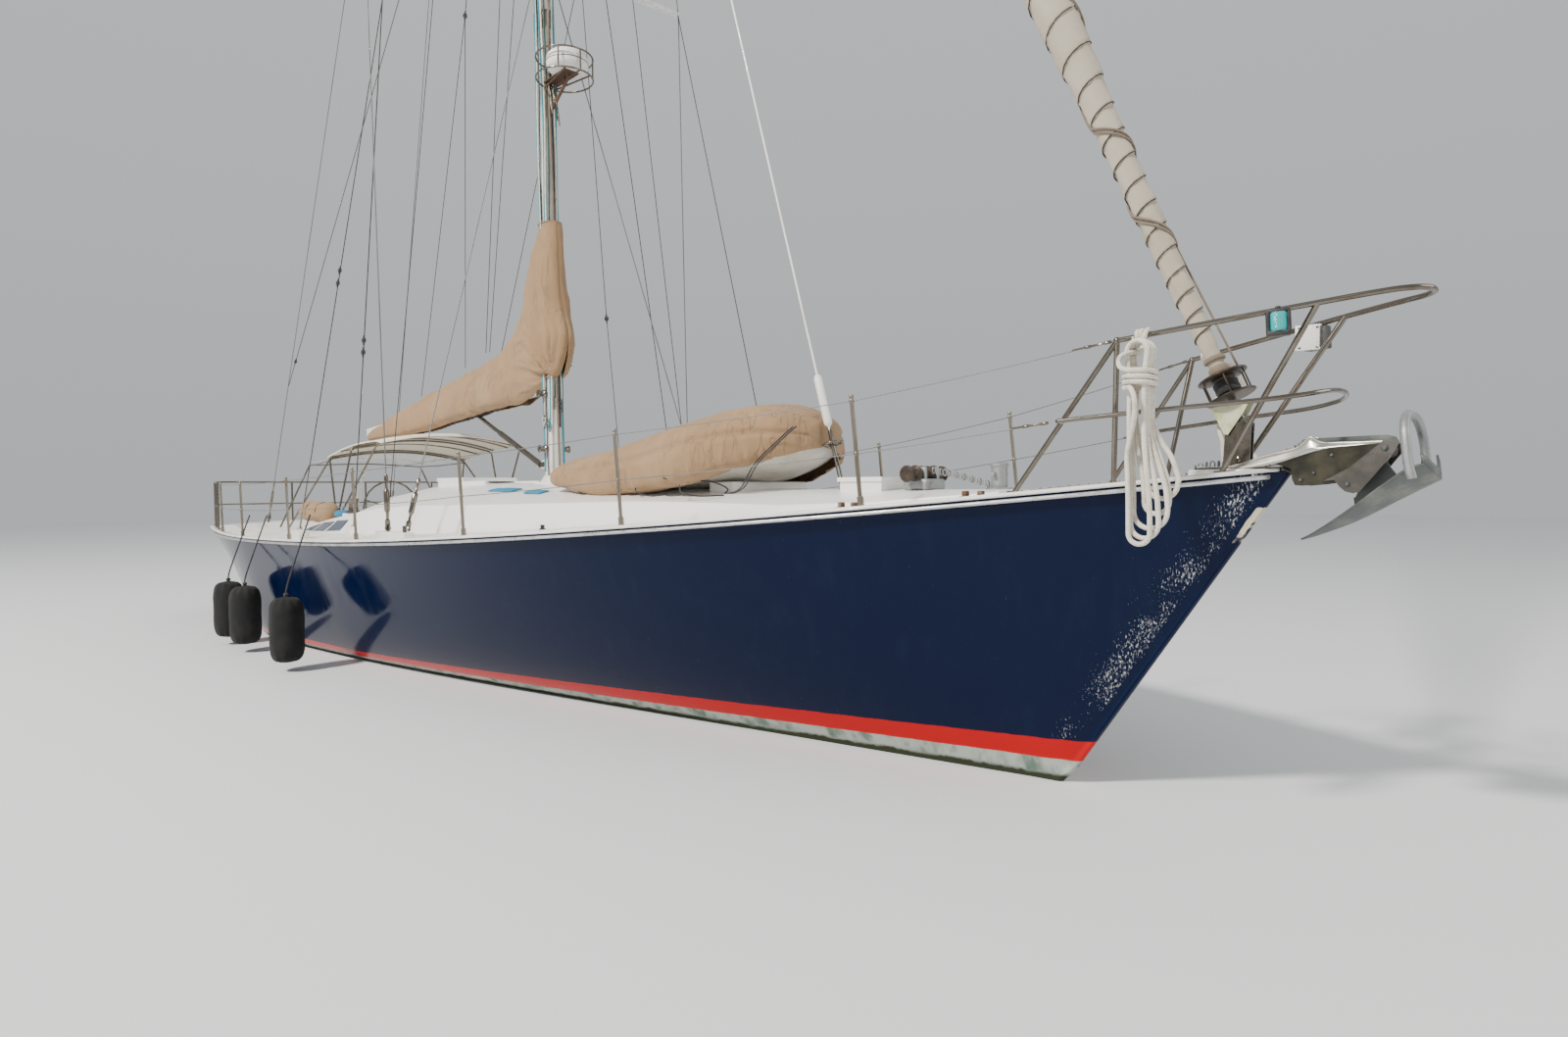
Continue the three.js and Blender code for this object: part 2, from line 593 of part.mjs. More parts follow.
function winchBase(side) {
  const [x, y] = [WINCH.x, side * WINCH.y];
  const pad = block([x - 100, y - 100, winchTop - 60], [x + 100, y + 100, winchTop + 30]);
  return pad.add(rod([x, y, winchTop], [x, y, winchTop + 120], WINCH.spindle, { sides: 12 }));
}

for (const [name, side] of [["starboard", -1], ["port", 1]]) {
  add(`coaming_${name}`, coamingBlank(side).add(winchBase(side)), white);
}

// The mast and what it carries

const mastX = (z) => MAST.x - (z - MAST.foot) * MAST.rake;

const STAY_HEAD = [mastX(MAST.top) + 150, 0, MAST.top - 10];
const onStay = (t) => [mix(TACK.x, STAY_HEAD[0], t), 0, mix(TACK.z, STAY_HEAD[2], t)];
const stayAlong = [STAY_HEAD[0] - TACK.x, 0, STAY_HEAD[2] - TACK.z];

function makeMast() {
  const sizes = [[MAST.foot, 1], [14500, 1], [MAST.top, 0.68]]; // height, share of the full section
  const tube = loft(sizes.map(([z, share]) =>
    oval(mastX(z), 0, z, (MAST.length / 2) * share, (MAST.width / 2) * share)));
  const crane = block([mastX(MAST.top) - 190, -40, MAST.top - 60], [mastX(MAST.top) + 150, 40, MAST.top + 50]);
  const { x, z, strutZ } = GOOSENECK;
  const lugs = [-75, 61].map((dz) => block([x - 28, -32, z + dz], [MAST.x, 32, z + dz + 14]));
  const pin = rod([x, 0, z - 80], [x, 0, z + 80], GOOSENECK.pin, { sides: 12 });
  const heelLugs = [-42, 32].map((dz) => block([x - 24, -24, strutZ + dz], [MAST.x, 24, strutZ + dz + 10]));
  const heelPin = rod([x, 0, strutZ - 50], [x, 0, strutZ + 50], GOOSENECK.strutPin, { sides: 12 });
  const slots = SPREADERS.map(({ at, chord, thick }) => block(
    [mastX(at) - chord - GAP, -300, at - thick - GAP], [mastX(at) + chord + GAP, 300, at + thick + GAP],
  ));
  return cut(join(tube, crane, lugs, pin, heelLugs, heelPin), ...slots);
}
// The stay's fixed top, from the swivel of the furled sail up to the masthead
const staySwivel = join(
  rod(onStay(0.955 + 0.00003), onStay(1), 12), rod(onStay(0.96), onStay(0.972), 34, { sides: 12 }),
);
add("mast", makeMast().add(staySwivel), spar);

// Spreaders: each pair is one bar through the mast, its arms swept up towards the tips
for (const { name, at, half, chord, thick, rise } of SPREADERS) {
  const x = mastX(at);
  const middle = block([x - chord, -160, at - thick], [x + chord, 160, at + thick]);
  const section = (y, z, share) => [[-1, -1], [1, -1], [1, 1], [-1, 1]].map(([u, v]) =>
    [x + u * chord * share, y, z + v * thick * share]);
  const arms = [-1, 1].map((side) => loft([section(side * 150, at, 1), section(side * half, at + rise, 0.65)]));
  add(name, join(middle, arms), spar);
}

// Standing rigging
const CHAINPLATE = { x: 200, y: 1890, z: 1430, foreX: 610 };

for (const [name, side] of [["starboard", -1], ["port", 1]]) {
  const foot = [CHAINPLATE.x, side * CHAINPLATE.y, CHAINPLATE.z - 60];
  const tips = SPREADERS.map(({ at, half, rise }) => [mastX(at), side * (half + WIRE * 1.25 + GAP), at + rise]);
  const head = [mastX(MAST.top - 150), side * 74, MAST.top - 150];
  const wire = cut(frame([foot, ...tips, head], WIRE), mastClear());
  const screw = rod([foot[0], foot[1], 1600], [foot[0], foot[1] + side * 2, 1900], 17);
  const plateFoot = block(
    [foot[0] - 40, Math.min(side * 1872, side * 1908), 1350], [foot[0] + 40, Math.max(side * 1872, side * 1908), 1560],
  );
  add(`cap_shroud_${name}`, seated(join(wire, screw, plateFoot)), stainless);

  const foreFoot = [CHAINPLATE.foreX, side * CHAINPLATE.y, CHAINPLATE.z - 60];
  const z = SPREADERS[0].at - 160;
  const lower = rod(foreFoot, [mastX(z) + 40, side * 96, z], WIRE);
  const forePlate = block(
    [foreFoot[0] - 40, Math.min(side * 1872, side * 1908), 1350],
    [foreFoot[0] + 40, Math.max(side * 1872, side * 1908), 1560],
  );
  add(`lower_shroud_${name}`, seated(cut(join(lower, forePlate), mastClear())), stainless);

  const backFoot = [-7350, side * 1000, 1340];
  const backHead = [mastX(MAST.top) - 200, side * 22, MAST.top - 20];
  const screwTop = [0, 1, 2].map((k) => mix(backFoot[k], backHead[k], 0.045));
  const backFitting = rod(backFoot, screwTop, 16);
  add(`backstay_${name}`, seated(join(rod(backFoot, backHead, WIRE), backFitting)), stainless);
}

// The mast's outline, a little larger, to trim what ends at it.
function mastClear() {
  return loft([MAST.foot, MAST.top].map((z) =>
    oval(mastX(z), 0, z, MAST.length / 2 + GAP, MAST.width / 2 + GAP)));
}

// The boom, its strut and the sail's cover

const boomZ = (x) => mix(GOOSENECK.z, BOOM_END.z, (x - GOOSENECK.x) / (BOOM_END.x - GOOSENECK.x));
const BOOM = { half: 55, depth: 85, fore: -170 };

function boomBar(grow, fore, aft) {
  const section = (x) => [-1, 1].flatMap((v) => [v, -v].map((h) => [
    x, h * (BOOM.half + grow), boomZ(x) + v * (BOOM.depth + grow),
  ]));
  return loft([section(fore), section(aft)]);
}

// The lug under the boom that takes the head of its strut
const boomLug = (grow) => block(
  [-1800 - grow, -14 - grow, boomZ(-1760) - 130 - grow], [-1700 + grow, 14 + grow, boomZ(-1760) - 60],
);

function makeBoom() {
  const { x, z } = GOOSENECK;
  const tongue = cut(
    block([BOOM.fore - 40, -30, z - 61 + GAP], [x + 24, 30, z + 50]),
    rod([x, 0, z - 90], [x, 0, z + 90], boreFor(GOOSENECK.pin, 12), { sides: 12 }),
  );
  return join(boomBar(0, BOOM.fore, BOOM_END.x), tongue, boomLug(0));
}
add("boom", makeBoom(), spar);

function makeVang() {
  const { x, strutZ } = GOOSENECK;
  const heel = [x - 66, 0, strutZ];
  const head = [-1750, 0, boomZ(-1750) - 145];
  const part = (t) => [0, 1, 2].map((k) => mix(heel[k], head[k], t));
  const eye = cut(
    block([x - 86, -22, strutZ - 32 + GAP], [x + 22, 22, strutZ + 29]),
    rod([x, 0, strutZ - 90], [x, 0, strutZ + 90], boreFor(GOOSENECK.strutPin, 12), { sides: 12 }),
  );
  const tube = join(rod(heel, part(0.62), 36, { sides: 12 }), rod(part(0.6), head, 26, { sides: 12 }));
  return cut(join(eye, tube), boomLug(GAP));
}
add("vang", makeVang(), alloy);

// Sections of the covered sail on the boom: [x, underside, top, half width]
const COVER = [
  [-300, 2960, 3980, 150],
  [-640, 2935, 3960, 175],
  [-920, 2920, 3745, 185],
  [-1240, 2905, 3550, 180],
  [-2370, 2850, 3385, 165],
  [-3700, 2745, 3195, 145],
  [-4780, 2700, 3010, 115],
  [-5440, 2690, 2870, 80],
];

function coverSection([x, low, high, half]) {
  const share = [[0, 0.72], [0.18, 1], [0.45, 0.98], [0.75, 0.62], [1, 0.16]]; // height, width
  const starboard = share.map(([v, w]) => [x, -w * half, mix(low, high, v)]);
  return [...starboard, ...starboard.map(([a, b, c]) => [a, -b, c]).reverse()];
}

const pivotDrum = (radius) =>
  rod([GOOSENECK.x, 0, 2300], [GOOSENECK.x, 0, 5200], radius, { sides: 32 });

add("sail_cover",
  cut(loft(COVER.map(coverSection)), boomBar(1, 200, BOOM_END.x - 300), pivotDrum(BOOT_RADIUS + 18), boomLug(4)),
  canvas);

// The cover's front, laced round the mast: [height, front, back, half width]
const BOOT = [
  [3195, 400, -330, 190],
  [3560, 450, -380, 215],
  [3900, 330, -400, 190],
  [4350, 260, -260, 160],
  [4900, 205, -80, 130],
];

function makeBoot() {
  const skin = loft(BOOT.map(([z, front, back, half]) => oval((front + back) / 2, 0, z, (front - back) / 2, half)));
  const sleeve = loft([2900, 5200].map((z) =>
    oval(mastX(z), 0, z, MAST.length / 2 + GAP * 1.2, MAST.width / 2 + GAP * 1.2)));
  return cut(skin.intersect(join(pivotDrum(BOOT_RADIUS), block([0, -600, 2900], [900, 600, 5000]))), sleeve);
}
add("mast_boot", makeBoot(), canvas);

// The radar on the mast's front, inside its guard rings
const RADAR = { x: 520, z: 6550, radius: 225 };

function makeRadarBracket() {
  const { x, z } = RADAR;
  const front = mastX(z) + MAST.length / 2;
  const rings = [z + 60, z - 160].map((at) => hoop([x - 60, 0, at], 320, 300, 10, { sides: 5, steps: 18 }));
  const posts = [0, 1, 7].map((i) => {
    const angle = (2 * Math.PI * i) / 8;
    const [px, py] = [x - 60 + 320 * Math.cos(angle), 300 * Math.sin(angle)];
    return rod([px, py, z + 60], [px, py, z - 160], 9, { sides: 6 });
  });
  const shelf = block([front - 20, -90, z - 124], [x + 90, 90, z - 112]);
  const strut = rod([front - 20, 0, z - 420], [x + 40, 0, z - 145], 18);
  const arms = [-1, 1].map((side) => rod([front, side * 60, z - 160], [x + 215, side * 150, z - 160], 9, { sides: 6 }));
  const leg = rod([front - 40, 0, z - 160], [x + 255, 0, z - 160], 9, { sides: 6 });
  const tie = rod([x - 60, 0, z - 160], [x - 60, 0, z - 118], 12, { sides: 6 });
  return cut(join(rings, posts, shelf, strut, arms, leg, tie), mastClear());
}
add("radar_bracket", makeRadarBracket(), stainless);

const radomeProfile = [[0, -112 + GAP], [170, -112 + GAP], [RADAR.radius, -60], [RADAR.radius, 20], [190, 85], [90, 115], [0, 120]];
add("radome", turned(radomeProfile, [RADAR.x, 0, RADAR.z], [0, 0, 1], 20), white);

// The forestay with its furled sail, drum and swivel

// The roll's sections: [share of the stay's length, radius]
const ROLL = [
  [0.022, 46], [0.031, 53], [0.054, 66], [0.09, 78], [0.114, 87], [0.138, 116], [0.17, 138], [0.25, 150], [0.5, 125],
  [0.75, 88], [0.955, 42],
];

function makeHeadsail() {
  const rings = ROLL.map(([t, radius]) => {
    const at = new THREE.Vector3(...onStay(t));
    const turn = new THREE.Quaternion().setFromUnitVectors(
      new THREE.Vector3(0, 0, 1), new THREE.Vector3(...stayAlong).normalize(),
    );
    return oval(0, 0, 0, radius, radius, 14).map((p) => {
      const point = new THREE.Vector3(...p).applyQuaternion(turn).add(at);
      return [point.x, point.y, point.z];
    });
  });
  return loft(rings);
}
add("headsail_roll", makeHeadsail(), sailcloth);

const stayLength = Math.hypot(stayAlong[0], stayAlong[2]);
const DRUM = { low: 0.0105, high: 0.0215, radius: 132 };

function makeDrum() {
  const [low, high] = [DRUM.low * stayLength, DRUM.high * stayLength];
  const r = DRUM.radius;
  const profile = [
    [0, low], [r, low], [r, low + 14], [70, low + 26], [70, high - 30], [r, high - 18], [r, high - 4],
    [40, high - 4], [40, high + 8], [0, high + 8],
  ];
  return turned(profile, [TACK.x, 0, TACK.z], stayAlong, 20);
}
add("furler_drum", makeDrum(), blackRubber);

function makeTackFitting() {
  const plates = [-1, 1].map((side) => plate(
    [[7330, 1900], [7470, 1900], [7480, 2240], [7400, 2300], [7350, 2290]],
    Math.min(side * 18, side * 30), Math.max(side * 18, side * 30), "xz",
  ));
  const pin = rod([TACK.x - 20, -34, 2225], [TACK.x - 20, 34, 2225], 14);
  const stub = rod(onStay(-0.001), onStay(DRUM.low - 0.00003), 20, { sides: 12 });
  return seated(join(plates, pin, stub));
}
add("tack_fitting", makeTackFitting(), stainless);

// The inner forestay, with its tension lever and white sleeve
const INNER = { foot: [4526, 0, 1790], head: [mastX(17265) + 60, 0, 17265] };
const onInner = (z) => {
  const t = (z - INNER.foot[2]) / (INNER.head[2] - INNER.foot[2]);
  return [mix(INNER.foot[0], INNER.head[0], t), 0, z];
};

function makeInnerStay() {
  const rodPart = rod(INNER.foot, INNER.head, 6);
  const sleeve = rod(onInner(2405), onInner(2805), 34, { sides: 12 });
  const screw = [-18, 18].map((dy) => {
    const [a, b] = [onInner(1880), onInner(2230)];
    return rod([a[0], dy, a[2]], [b[0], dy, b[2]], 8);
  });
  const ends = [1880, 2230].map((z) => rod([onInner(z)[0], -28, z], [onInner(z)[0], 28, z], 14));
  const hand = turned([[0, -12], [82, -12], [82, 12], [0, 12]], onInner(2250), [onInner(2300)[0] - onInner(2200)[0], 0, 100]);
  const foot = block([4480, -60, 1750], [4580, 60, 1880]);
  return join(rodPart, sleeve, screw, ends, hand, foot);
}
add("inner_forestay", seated(cut(makeInnerStay(), coachroofTop, mastClear())), stainless);

// The bow: pulpit, platform, anchor and windlass

const pulpitTop = (radius) => bentTube([
  [6956, -536, 2690], [7400, -400, 2745], [7851, -260, 2799], [8150, -165, 2830], [8278, 0, 2837],
  [8150, 165, 2830], [7851, 260, 2799], [7400, 400, 2745], [6956, 536, 2690],
], radius, { steps: 22, sides: 6 });

function makePulpit() {
  const both = (f) => [-1, 1].map(f);
  const middle = bentTube([
    [6684, -680, 2262], [7200, -530, 2300], [7611, -400, 2325], [7840, -210, 2360], [7900, 0, 2380],
    [7840, 210, 2360], [7611, 400, 2325], [7200, 530, 2300], [6684, 680, 2262],
  ], TUBE * 0.85, { steps: 20, sides: 6 });
  const foot = (x, side) => [x, side * (deckHalf(x) - 60), sheerZ(x) - 5];
  const braces = both((side) => rod([6956, side * 536, 2690], foot(6340, side), TUBE));
  const legs = both((side) => rod([6956, side * 536, 2690], foot(6860, side), TUBE));
  const foreLegs = both((side) => rod([7851, side * 260, 2799], foot(7340, side), TUBE));
  const ends = both((side) => ball([6956, side * 536, 2690], TUBE * 1.3));
  const ties = both((side) => rod([6684, side * 680, 2262], [6660, side * 576, 2262], TUBE * 0.85));
  return seated(join(pulpitTop(TUBE), middle, braces, legs, foreLegs, ends, ties));
}
add("pulpit", makePulpit(), stainless);

const ROLLER = { x: 8100, z: 2067, radius: 34 };
const SHANK_Z = ROLLER.z + ROLLER.radius + GAP; // the underside of the anchor's shank

function makePlatform() {
  const half = 85;
  const channel = loft([
    [[7180, -half, 1850], [7180, half, 1850], [7180, half, 2010], [7180, -half, 2010]],
    [[7560, -half, 1850], [7560, half, 1850], [7560, half, 2030], [7560, -half, 2030]],
    [[7960, -half, 1905], [7960, half, 1905], [7960, half, 2085], [7960, -half, 2085]],
    [[8060, -half, 1960], [8060, half, 1960], [8060, half, 2107], [8060, -half, 2107]],
  ]);
  const groove = block([7500, -60, 2030], [8200, 60, 2300]);
  const mouth = block([7900, -60, 1880], [8200, 60, 2300]);
  const cheeks = [-1, 1].map((side) => plate(
    [[7800, 1925], [8080, 1990], [8150, 2040], [8150, 2120], [8060, 2150], [7800, 2080]],
    Math.min(side * 61, side * 73), Math.max(side * 61, side * 73), "xz",
  ));
  const axle = rod([ROLLER.x, -70, ROLLER.z], [ROLLER.x, 70, ROLLER.z], 10);
  const roller = rod([ROLLER.x, -45, ROLLER.z], [ROLLER.x, 45, ROLLER.z], ROLLER.radius, { sides: 16 });
  const nose = block([7560, -40, 2020], [7700, 40, SHANK_Z - 4]);
  const rest = block([7730, -40, 2020], [7780, 40, SHANK_Z - GAP]);
  const whole = join(cut(join(channel, cheeks), groove, mouth), axle, roller, nose, rest);
  return cut(against(seated(cut(whole, tackClear())), bareHull, [1, 0, 0]), rubRail(-1), rubRail(1));
}
// Room round the plates that hold the forestay.
function tackClear() {
  return block([7325 - 2, -36, 1800], [7485 + 2, 36, 2400]);
}
add("bow_platform", makePlatform(), stainless);

function makeAnchor() {
  const shank = plate([
    [7720, SHANK_Z], [8140, SHANK_Z], [8270, 2030], [8340, 2000], [8352, 2040], [8290, 2110], [8150, 2150], [7720, 2142],
  ], -9, 9, "xz");
  const tip = [7726, 0, 1623];
  const heelZ = 2008;
  const fluke = loft([
    [[7726, -4, 1618], [7726, 4, 1618], [7730, 4, 1632], [7730, -4, 1632]],
    [[8000, -150, 1812], [8000, 150, 1812], [8000, 150, 1824], [8000, -150, 1824]],
    [[8250, -225, 1960], [8250, 225, 1960], [8250, 225, 1974], [8250, -225, 1974]],
    [[8345, -150, heelZ], [8345, 150, heelZ], [8345, 150, heelZ + 14], [8345, -150, heelZ + 14]],
  ]);
  const bar = bentTube([
    [8202, -215, 1940], [8200, -212, 2080], [8195, -150, 2205], [8189, 0, 2255],
    [8195, 150, 2205], [8200, 212, 2080], [8202, 215, 1940],
  ], 16, { steps: 14, sides: 6 });
  const web = plate([[7900, 1760], [8345, 2010], [8300, 2050], [8180, 1985]], -8, 8, "xz");
  return join(shank, fluke, bar, web, ball(tip, 9));
}
add("anchor", makeAnchor(), galvanised);

function makeWindlass() {
  const [x, z] = [5280, trunkCrown(5280) - 30];
  const base = block([x - 120, -110, z], [x + 120, 110, z + 120]);
  const shaft = rod([x, -215, z + 130], [x, 215, z + 130], 28, { sides: 12 });
  const hood = rod([x, -110, z + 130], [x, 110, z + 130], 78, { sides: 12 });
  const drums = [-1, 1].map((side) =>
    turned([[0, -48], [72, -48], [48, -24], [48, 24], [72, 48], [0, 48]], [x, side * 175, z + 130], [0, 1, 0]));
  return cut(join(base, shaft, hood, drums), coachroofTop);
}
add("windlass", makeWindlass(), galvanised);

// The mooring post between the windlass and the stem
function makeBitt() {
  const profile = [[0, 0], [90, 0], [90, 16], [58, 24], [52, 120], [82, 170], [82, 184], [0, 192]];
  return cut(turned(profile, [5900, 0, trunkCrown(5900) - 14]), coachroofTop);
}
add("mooring_bitt", makeBitt(), galvanised);

// Guardrails: stanchions with two wires on each side
const STANCHIONS = [5488, 3693, 1915, -17, -2033, -4050, -5700];
const PUSHPIT_X = -6350;

const stanchionFoot = (x, side) => [x, side * (deckHalf(x) - 60), sheerZ(x) - 20];
// A point up a stanchion, as a share of the rail's height
const onStanchion = (x, side, share) => {
  const [fx, fy, fz] = stanchionFoot(x, side);
  return [fx - 80 * share, fy, fz + 20 + RAIL_HEIGHT * share];
};
const guardWire = (side, share, start, radius) =>
  frame([start, ...STANCHIONS.map((x) => onStanchion(x, side, share))], radius, 4);
const lowerWireStart = (side) => [6684 - 50, side * 690, 2255];

for (const [name, side] of [["starboard", -1], ["port", 1]]) {
  const posts = STANCHIONS.map((x) => rod(stanchionFoot(x, side), onStanchion(x, side, 1.02), 13, { sides: 6 }));
  const feet = STANCHIONS.map((x) => rod(stanchionFoot(x, side), onStanchion(x, side, 0.09), 24, { sides: 6 }));
  const upper = guardWire(side, 1, [6956 - 26, side * 542, 2688], WIRE * 0.6);
  const lower = guardWire(side, 0.5, lowerWireStart(side), WIRE * 0.6);
  const aft = [[1, RAIL_HEIGHT], [0.5, RAIL_HEIGHT / 2]].map(([share, up]) => rod(
    onStanchion(STANCHIONS[STANCHIONS.length - 1], side, share),
    [PUSHPIT_X + 16, side * (deckHalf(PUSHPIT_X) - 60), sheerZ(PUSHPIT_X) + up], WIRE * 0.6, { sides: 4 },
  ));
  const pulpitClear = join([-1, 1].map((s) => join(
    rod([6956, s * 536, 2690], [6340, s * (deckHalf(6340) - 60), sheerZ(6340)], TUBE + 1),
    ball([6956, s * 536, 2690], TUBE * 1.3 + 1),
    rod([6684, s * 680, 2262], [6660, s * 576, 2262], TUBE + 1),
  )));
  add(`guardrail_${name}`, seated(cut(join(posts, feet, upper, lower, aft), pulpitClear)), stainless);
}

function makePushpit() {
  const corner = (x, up) => [x, deckHalf(x) - 60, sheerZ(x) + up];
  const ring = (up, radius) => {
    const side = [corner(PUSHPIT_X, up), corner(-6900, up), corner(-7330, up)];
    const stern = [[-7440, 1500, sheerZ(-7440) + up], [-7440, 0, sheerZ(-7440) + up]];
    const port = [...side, ...stern];
    const starboard = port.slice(0, -1).map(([x, y, z]) => [x, -y, z]).reverse();
    return frame([...port, ...starboard], radius, 6);
  };
  const posts = [PUSHPIT_X, -6900, -7330].flatMap((x) => [-1, 1].map((side) => {
    const [, y, z] = corner(x, 0);
    return rod([x, side * y, z - 30], [x, side * y, z + RAIL_HEIGHT], TUBE, { sides: 6 });
  }));
  const sternPosts = [-600, 600].map((y) =>
    rod([-7440, y, sheerZ(-7440) - 20], [-7440, y, sheerZ(-7440) + RAIL_HEIGHT], TUBE, { sides: 6 }));
  return seated(join(ring(RAIL_HEIGHT, TUBE), ring(RAIL_HEIGHT / 2, TUBE * 0.8), posts, sternPosts));
}
add("pushpit", makePushpit(), stainless);

// The dinghy on its chocks, under a fitted cover

// Sections of the covered tubes: [x, half width, underside, top]
const DINGHY = [
  [1280, 640, 1995, 2120],
  [1420, 790, 1972, 2200],
  [2200, 830, 1975, 2330],
  [3000, 830, 2040, 2450],
  [3600, 750, 2150, 2585],
  [4000, 500, 2240, 2560],
  [4190, 190, 2330, 2470],
];

function makeDinghyCover() {
  return loft(DINGHY.map(([x, half, low, high]) => {
    const share = [[0, 0.7], [0.22, 0.97], [0.55, 1], [0.85, 0.8], [1, 0.3]];
    const starboard = share.map(([v, w]) => [x, -w * half, mix(low, high, v)]);
    return [...starboard, ...starboard.map(([a, b, c]) => [a, -b, c]).reverse()];
  }));
}
const dinghyCover = makeDinghyCover();
add("dinghy_cover", dinghyCover, canvas);

function makeDinghyHull() {
  const stations = [[1500, 420, 1968, 2010], [2400, 480, 1935, 2120], [3200, 430, 1925, 2200], [3700, 300, 2000, 2300], [4050, 60, 2170, 2400]];
  const keel = loft(stations.map(([x, half, low, high]) => [
    [x, -half, high], [x, -half, high - 40], [x, 0, low], [x, half, high - 40], [x, half, high],
  ]));
  return against(keel, dinghyCover, [0, 0, -1]);
}
// The dinghy rests on two chocks that are strapped to its bottom.
const chocks = [3350, 1750].map((x) => cut(
  against(block([x - 130, -430, 1700], [x + 130, 430, 2180]), dinghyCover, [0, 0, -1]), coachroofTop,
));
add("dinghy_hull", join(makeDinghyHull(), ...chocks), white);

// The cockpit: helm, winches, traveller and the awning over it

const HELM = { x: -4700, z: 1640, radius: 400 };

function makePedestal() {
  const [x, z] = [HELM.x + 160, HELM.z];
  const column = rod([x, 0, COCKPIT.sole + GAP], [x, 0, z - 60], 85, { end: 62, sides: 12 });
  const head = block([x - 95, -75, z - 80], [x + 90, 75, z + 100]);
  const bowl = turned([[0, 0], [85, 0], [85, 50], [0, 95]], [x, 0, z + 95], [0, 0, 1], 16);
  const guard = frame([
    [x + 170, -170, COCKPIT.sole + GAP], [x + 170, -170, z + 60], [x + 170, 170, z + 60], [x + 170, 170, COCKPIT.sole + GAP],
  ], TUBE);
  const tie = rod([x + 80, 0, z + 60], [x + 170, 0, z + 60], TUBE);
  return join(column, head, bowl, guard, tie);
}
add("helm_pedestal", makePedestal(), white);

function makeWheel() {
  const ring = hoop([HELM.x, 0, HELM.z], HELM.radius, HELM.radius, 14, { across: [1, 0, 0] });
  const hub = rod([HELM.x - 25, 0, HELM.z], [HELM.x + 65 - GAP, 0, HELM.z], 45, { sides: 12 });
  const spokes = [0, 72, 144, 216, 288].map((degrees) => {
    const angle = THREE.MathUtils.degToRad(degrees);
    return rod([HELM.x, 0, HELM.z],
      [HELM.x, HELM.radius * Math.sin(angle), HELM.z + HELM.radius * Math.cos(angle)], 9, { sides: 6 });
  });
  return join(ring, hub, spokes);
}
add("helm_wheel", makeWheel(), stainless);

for (const [name, side] of [["starboard", -1], ["port", 1]]) {
  const [x, y] = [WINCH.x, side * WINCH.y];
  const profile = [[0, 0], [84, 0], [84, 24], [58, 44], [52, 110], [66, 168], [66, 186], [0, 190]];
  const spindle = rod([x, y, winchTop], [x, y, winchTop + 121], boreFor(WINCH.spindle, 12), { sides: 12 });
  add(`winch_drum_${name}`, cut(turned(profile, [x, y, winchTop + 30 + GAP], [0, 0, 1], 20), spindle), stainless);
}

// The awning: an arched sheet on hoops: [x, edge height, half width, crown]
const AWNING = [
  [-2400, 2500, 960, 120], [-2500, 2535, 1000, 130], [-3400, 2500, 1010, 140],
  [-4300, 2385, 1000, 120], [-4380, 2360, 980, 110], [-5100, 2350, 900, 60], [-5650, 2330, 860, 40],
];

const arch = ([x, edge, half, crown], drop = 0) =>
  [-1, -0.72, -0.4, 0, 0.4, 0.72, 1].map((f) => [x, f * half, edge - drop + crown * (1 - f ** 2)]);

const CANVAS = 22; // the awning's thickness, with its folded seams
const HOOP_TUBE = 12.5;
add("awning", sheet(AWNING.map((row) => arch(row)), CANVAS), cream);

const HOOPS = [AWNING[1], AWNING[2], AWNING[3]];

function makeAwningFrame() {
  const drop = CANVAS + HOOP_TUBE + 1.6;
  const pivotX = -3450;
  const top = 1500;
  const hoops = HOOPS.map((row) => {
    const bow = arch(row, drop).map(([x, y, z]) => [x, y * 0.985, z]);
    const down = (side) => [pivotX, side * 1180, top];
    return frame([down(-1), ...bow, down(1)], HOOP_TUBE, 6);
  });
  const legs = [-1, 1].map((side) => rod([pivotX, side * 1180, top - 15], [pivotX, side * 1180, top + 20], 20));
  const struts = [-1, 1].map((side) => {
    const [x, y, z] = arch(AWNING[3], drop)[side < 0 ? 0 : 6];
    return rod([x, y * 0.985, z], [-5250, side * 1300, 1300], 12.5);
  });
  const aftHoop = frame([[-5650, -850, 2330 - drop], [-5650, 0, 2370 - drop], [-5650, 850, 2330 - drop]], 10);
  const aftLegs = [-1, 1].map((side) => rod([-5650, side * 850, 2330 - drop], [-5650, side * 1300, 1300], 12.5));
  return seated(cut(join(hoops, legs, struts), [-1, 1].map((s) => coamingBlank(s).translate([0, 0, GAP])))
    .add(seated(join(aftHoop, aftLegs, bentTube([
      [-4300, -980, 2330], [-5000, -915, 2300], [-5650, -850, 2330 - drop]], 10, { steps: 4 })))));
}
add("awning_frame", makeAwningFrame(), stainless);

// Fenders along the starboard quarter, each on its line from the guardrail
for (const [name, x] of [["a", -1150], ["b", -2750], ["c", -3500]]) {
  const y = -(deckHalf(x) + 230);
  const body = turned([[0, 0], [60, 8], [150, 110], [160, 300], [160, 560], [150, 740], [60, 845], [0, 850]], [x, y, 90], [0, 0, 1], 14);
  const after = STANCHIONS.findIndex((at) => at <= x);
  const [a, b] = [STANCHIONS[after - 1], STANCHIONS[after]].map((at) => onStanchion(at, -1, 0.5));
  const knot = a.map((value, k) => mix(value, b[k], (x - a[0]) / (b[0] - a[0])));
  const line = rod([x, y, 930], [knot[0], knot[1] + 4, knot[2] + 4], 8);
  const clear = guardWire(-1, 0.5, lowerWireStart(-1), WIRE * 0.6 + GAP * 1.5);
  add(`fender_${name}`, cut(join(body, line), clear), blackRubber);
}

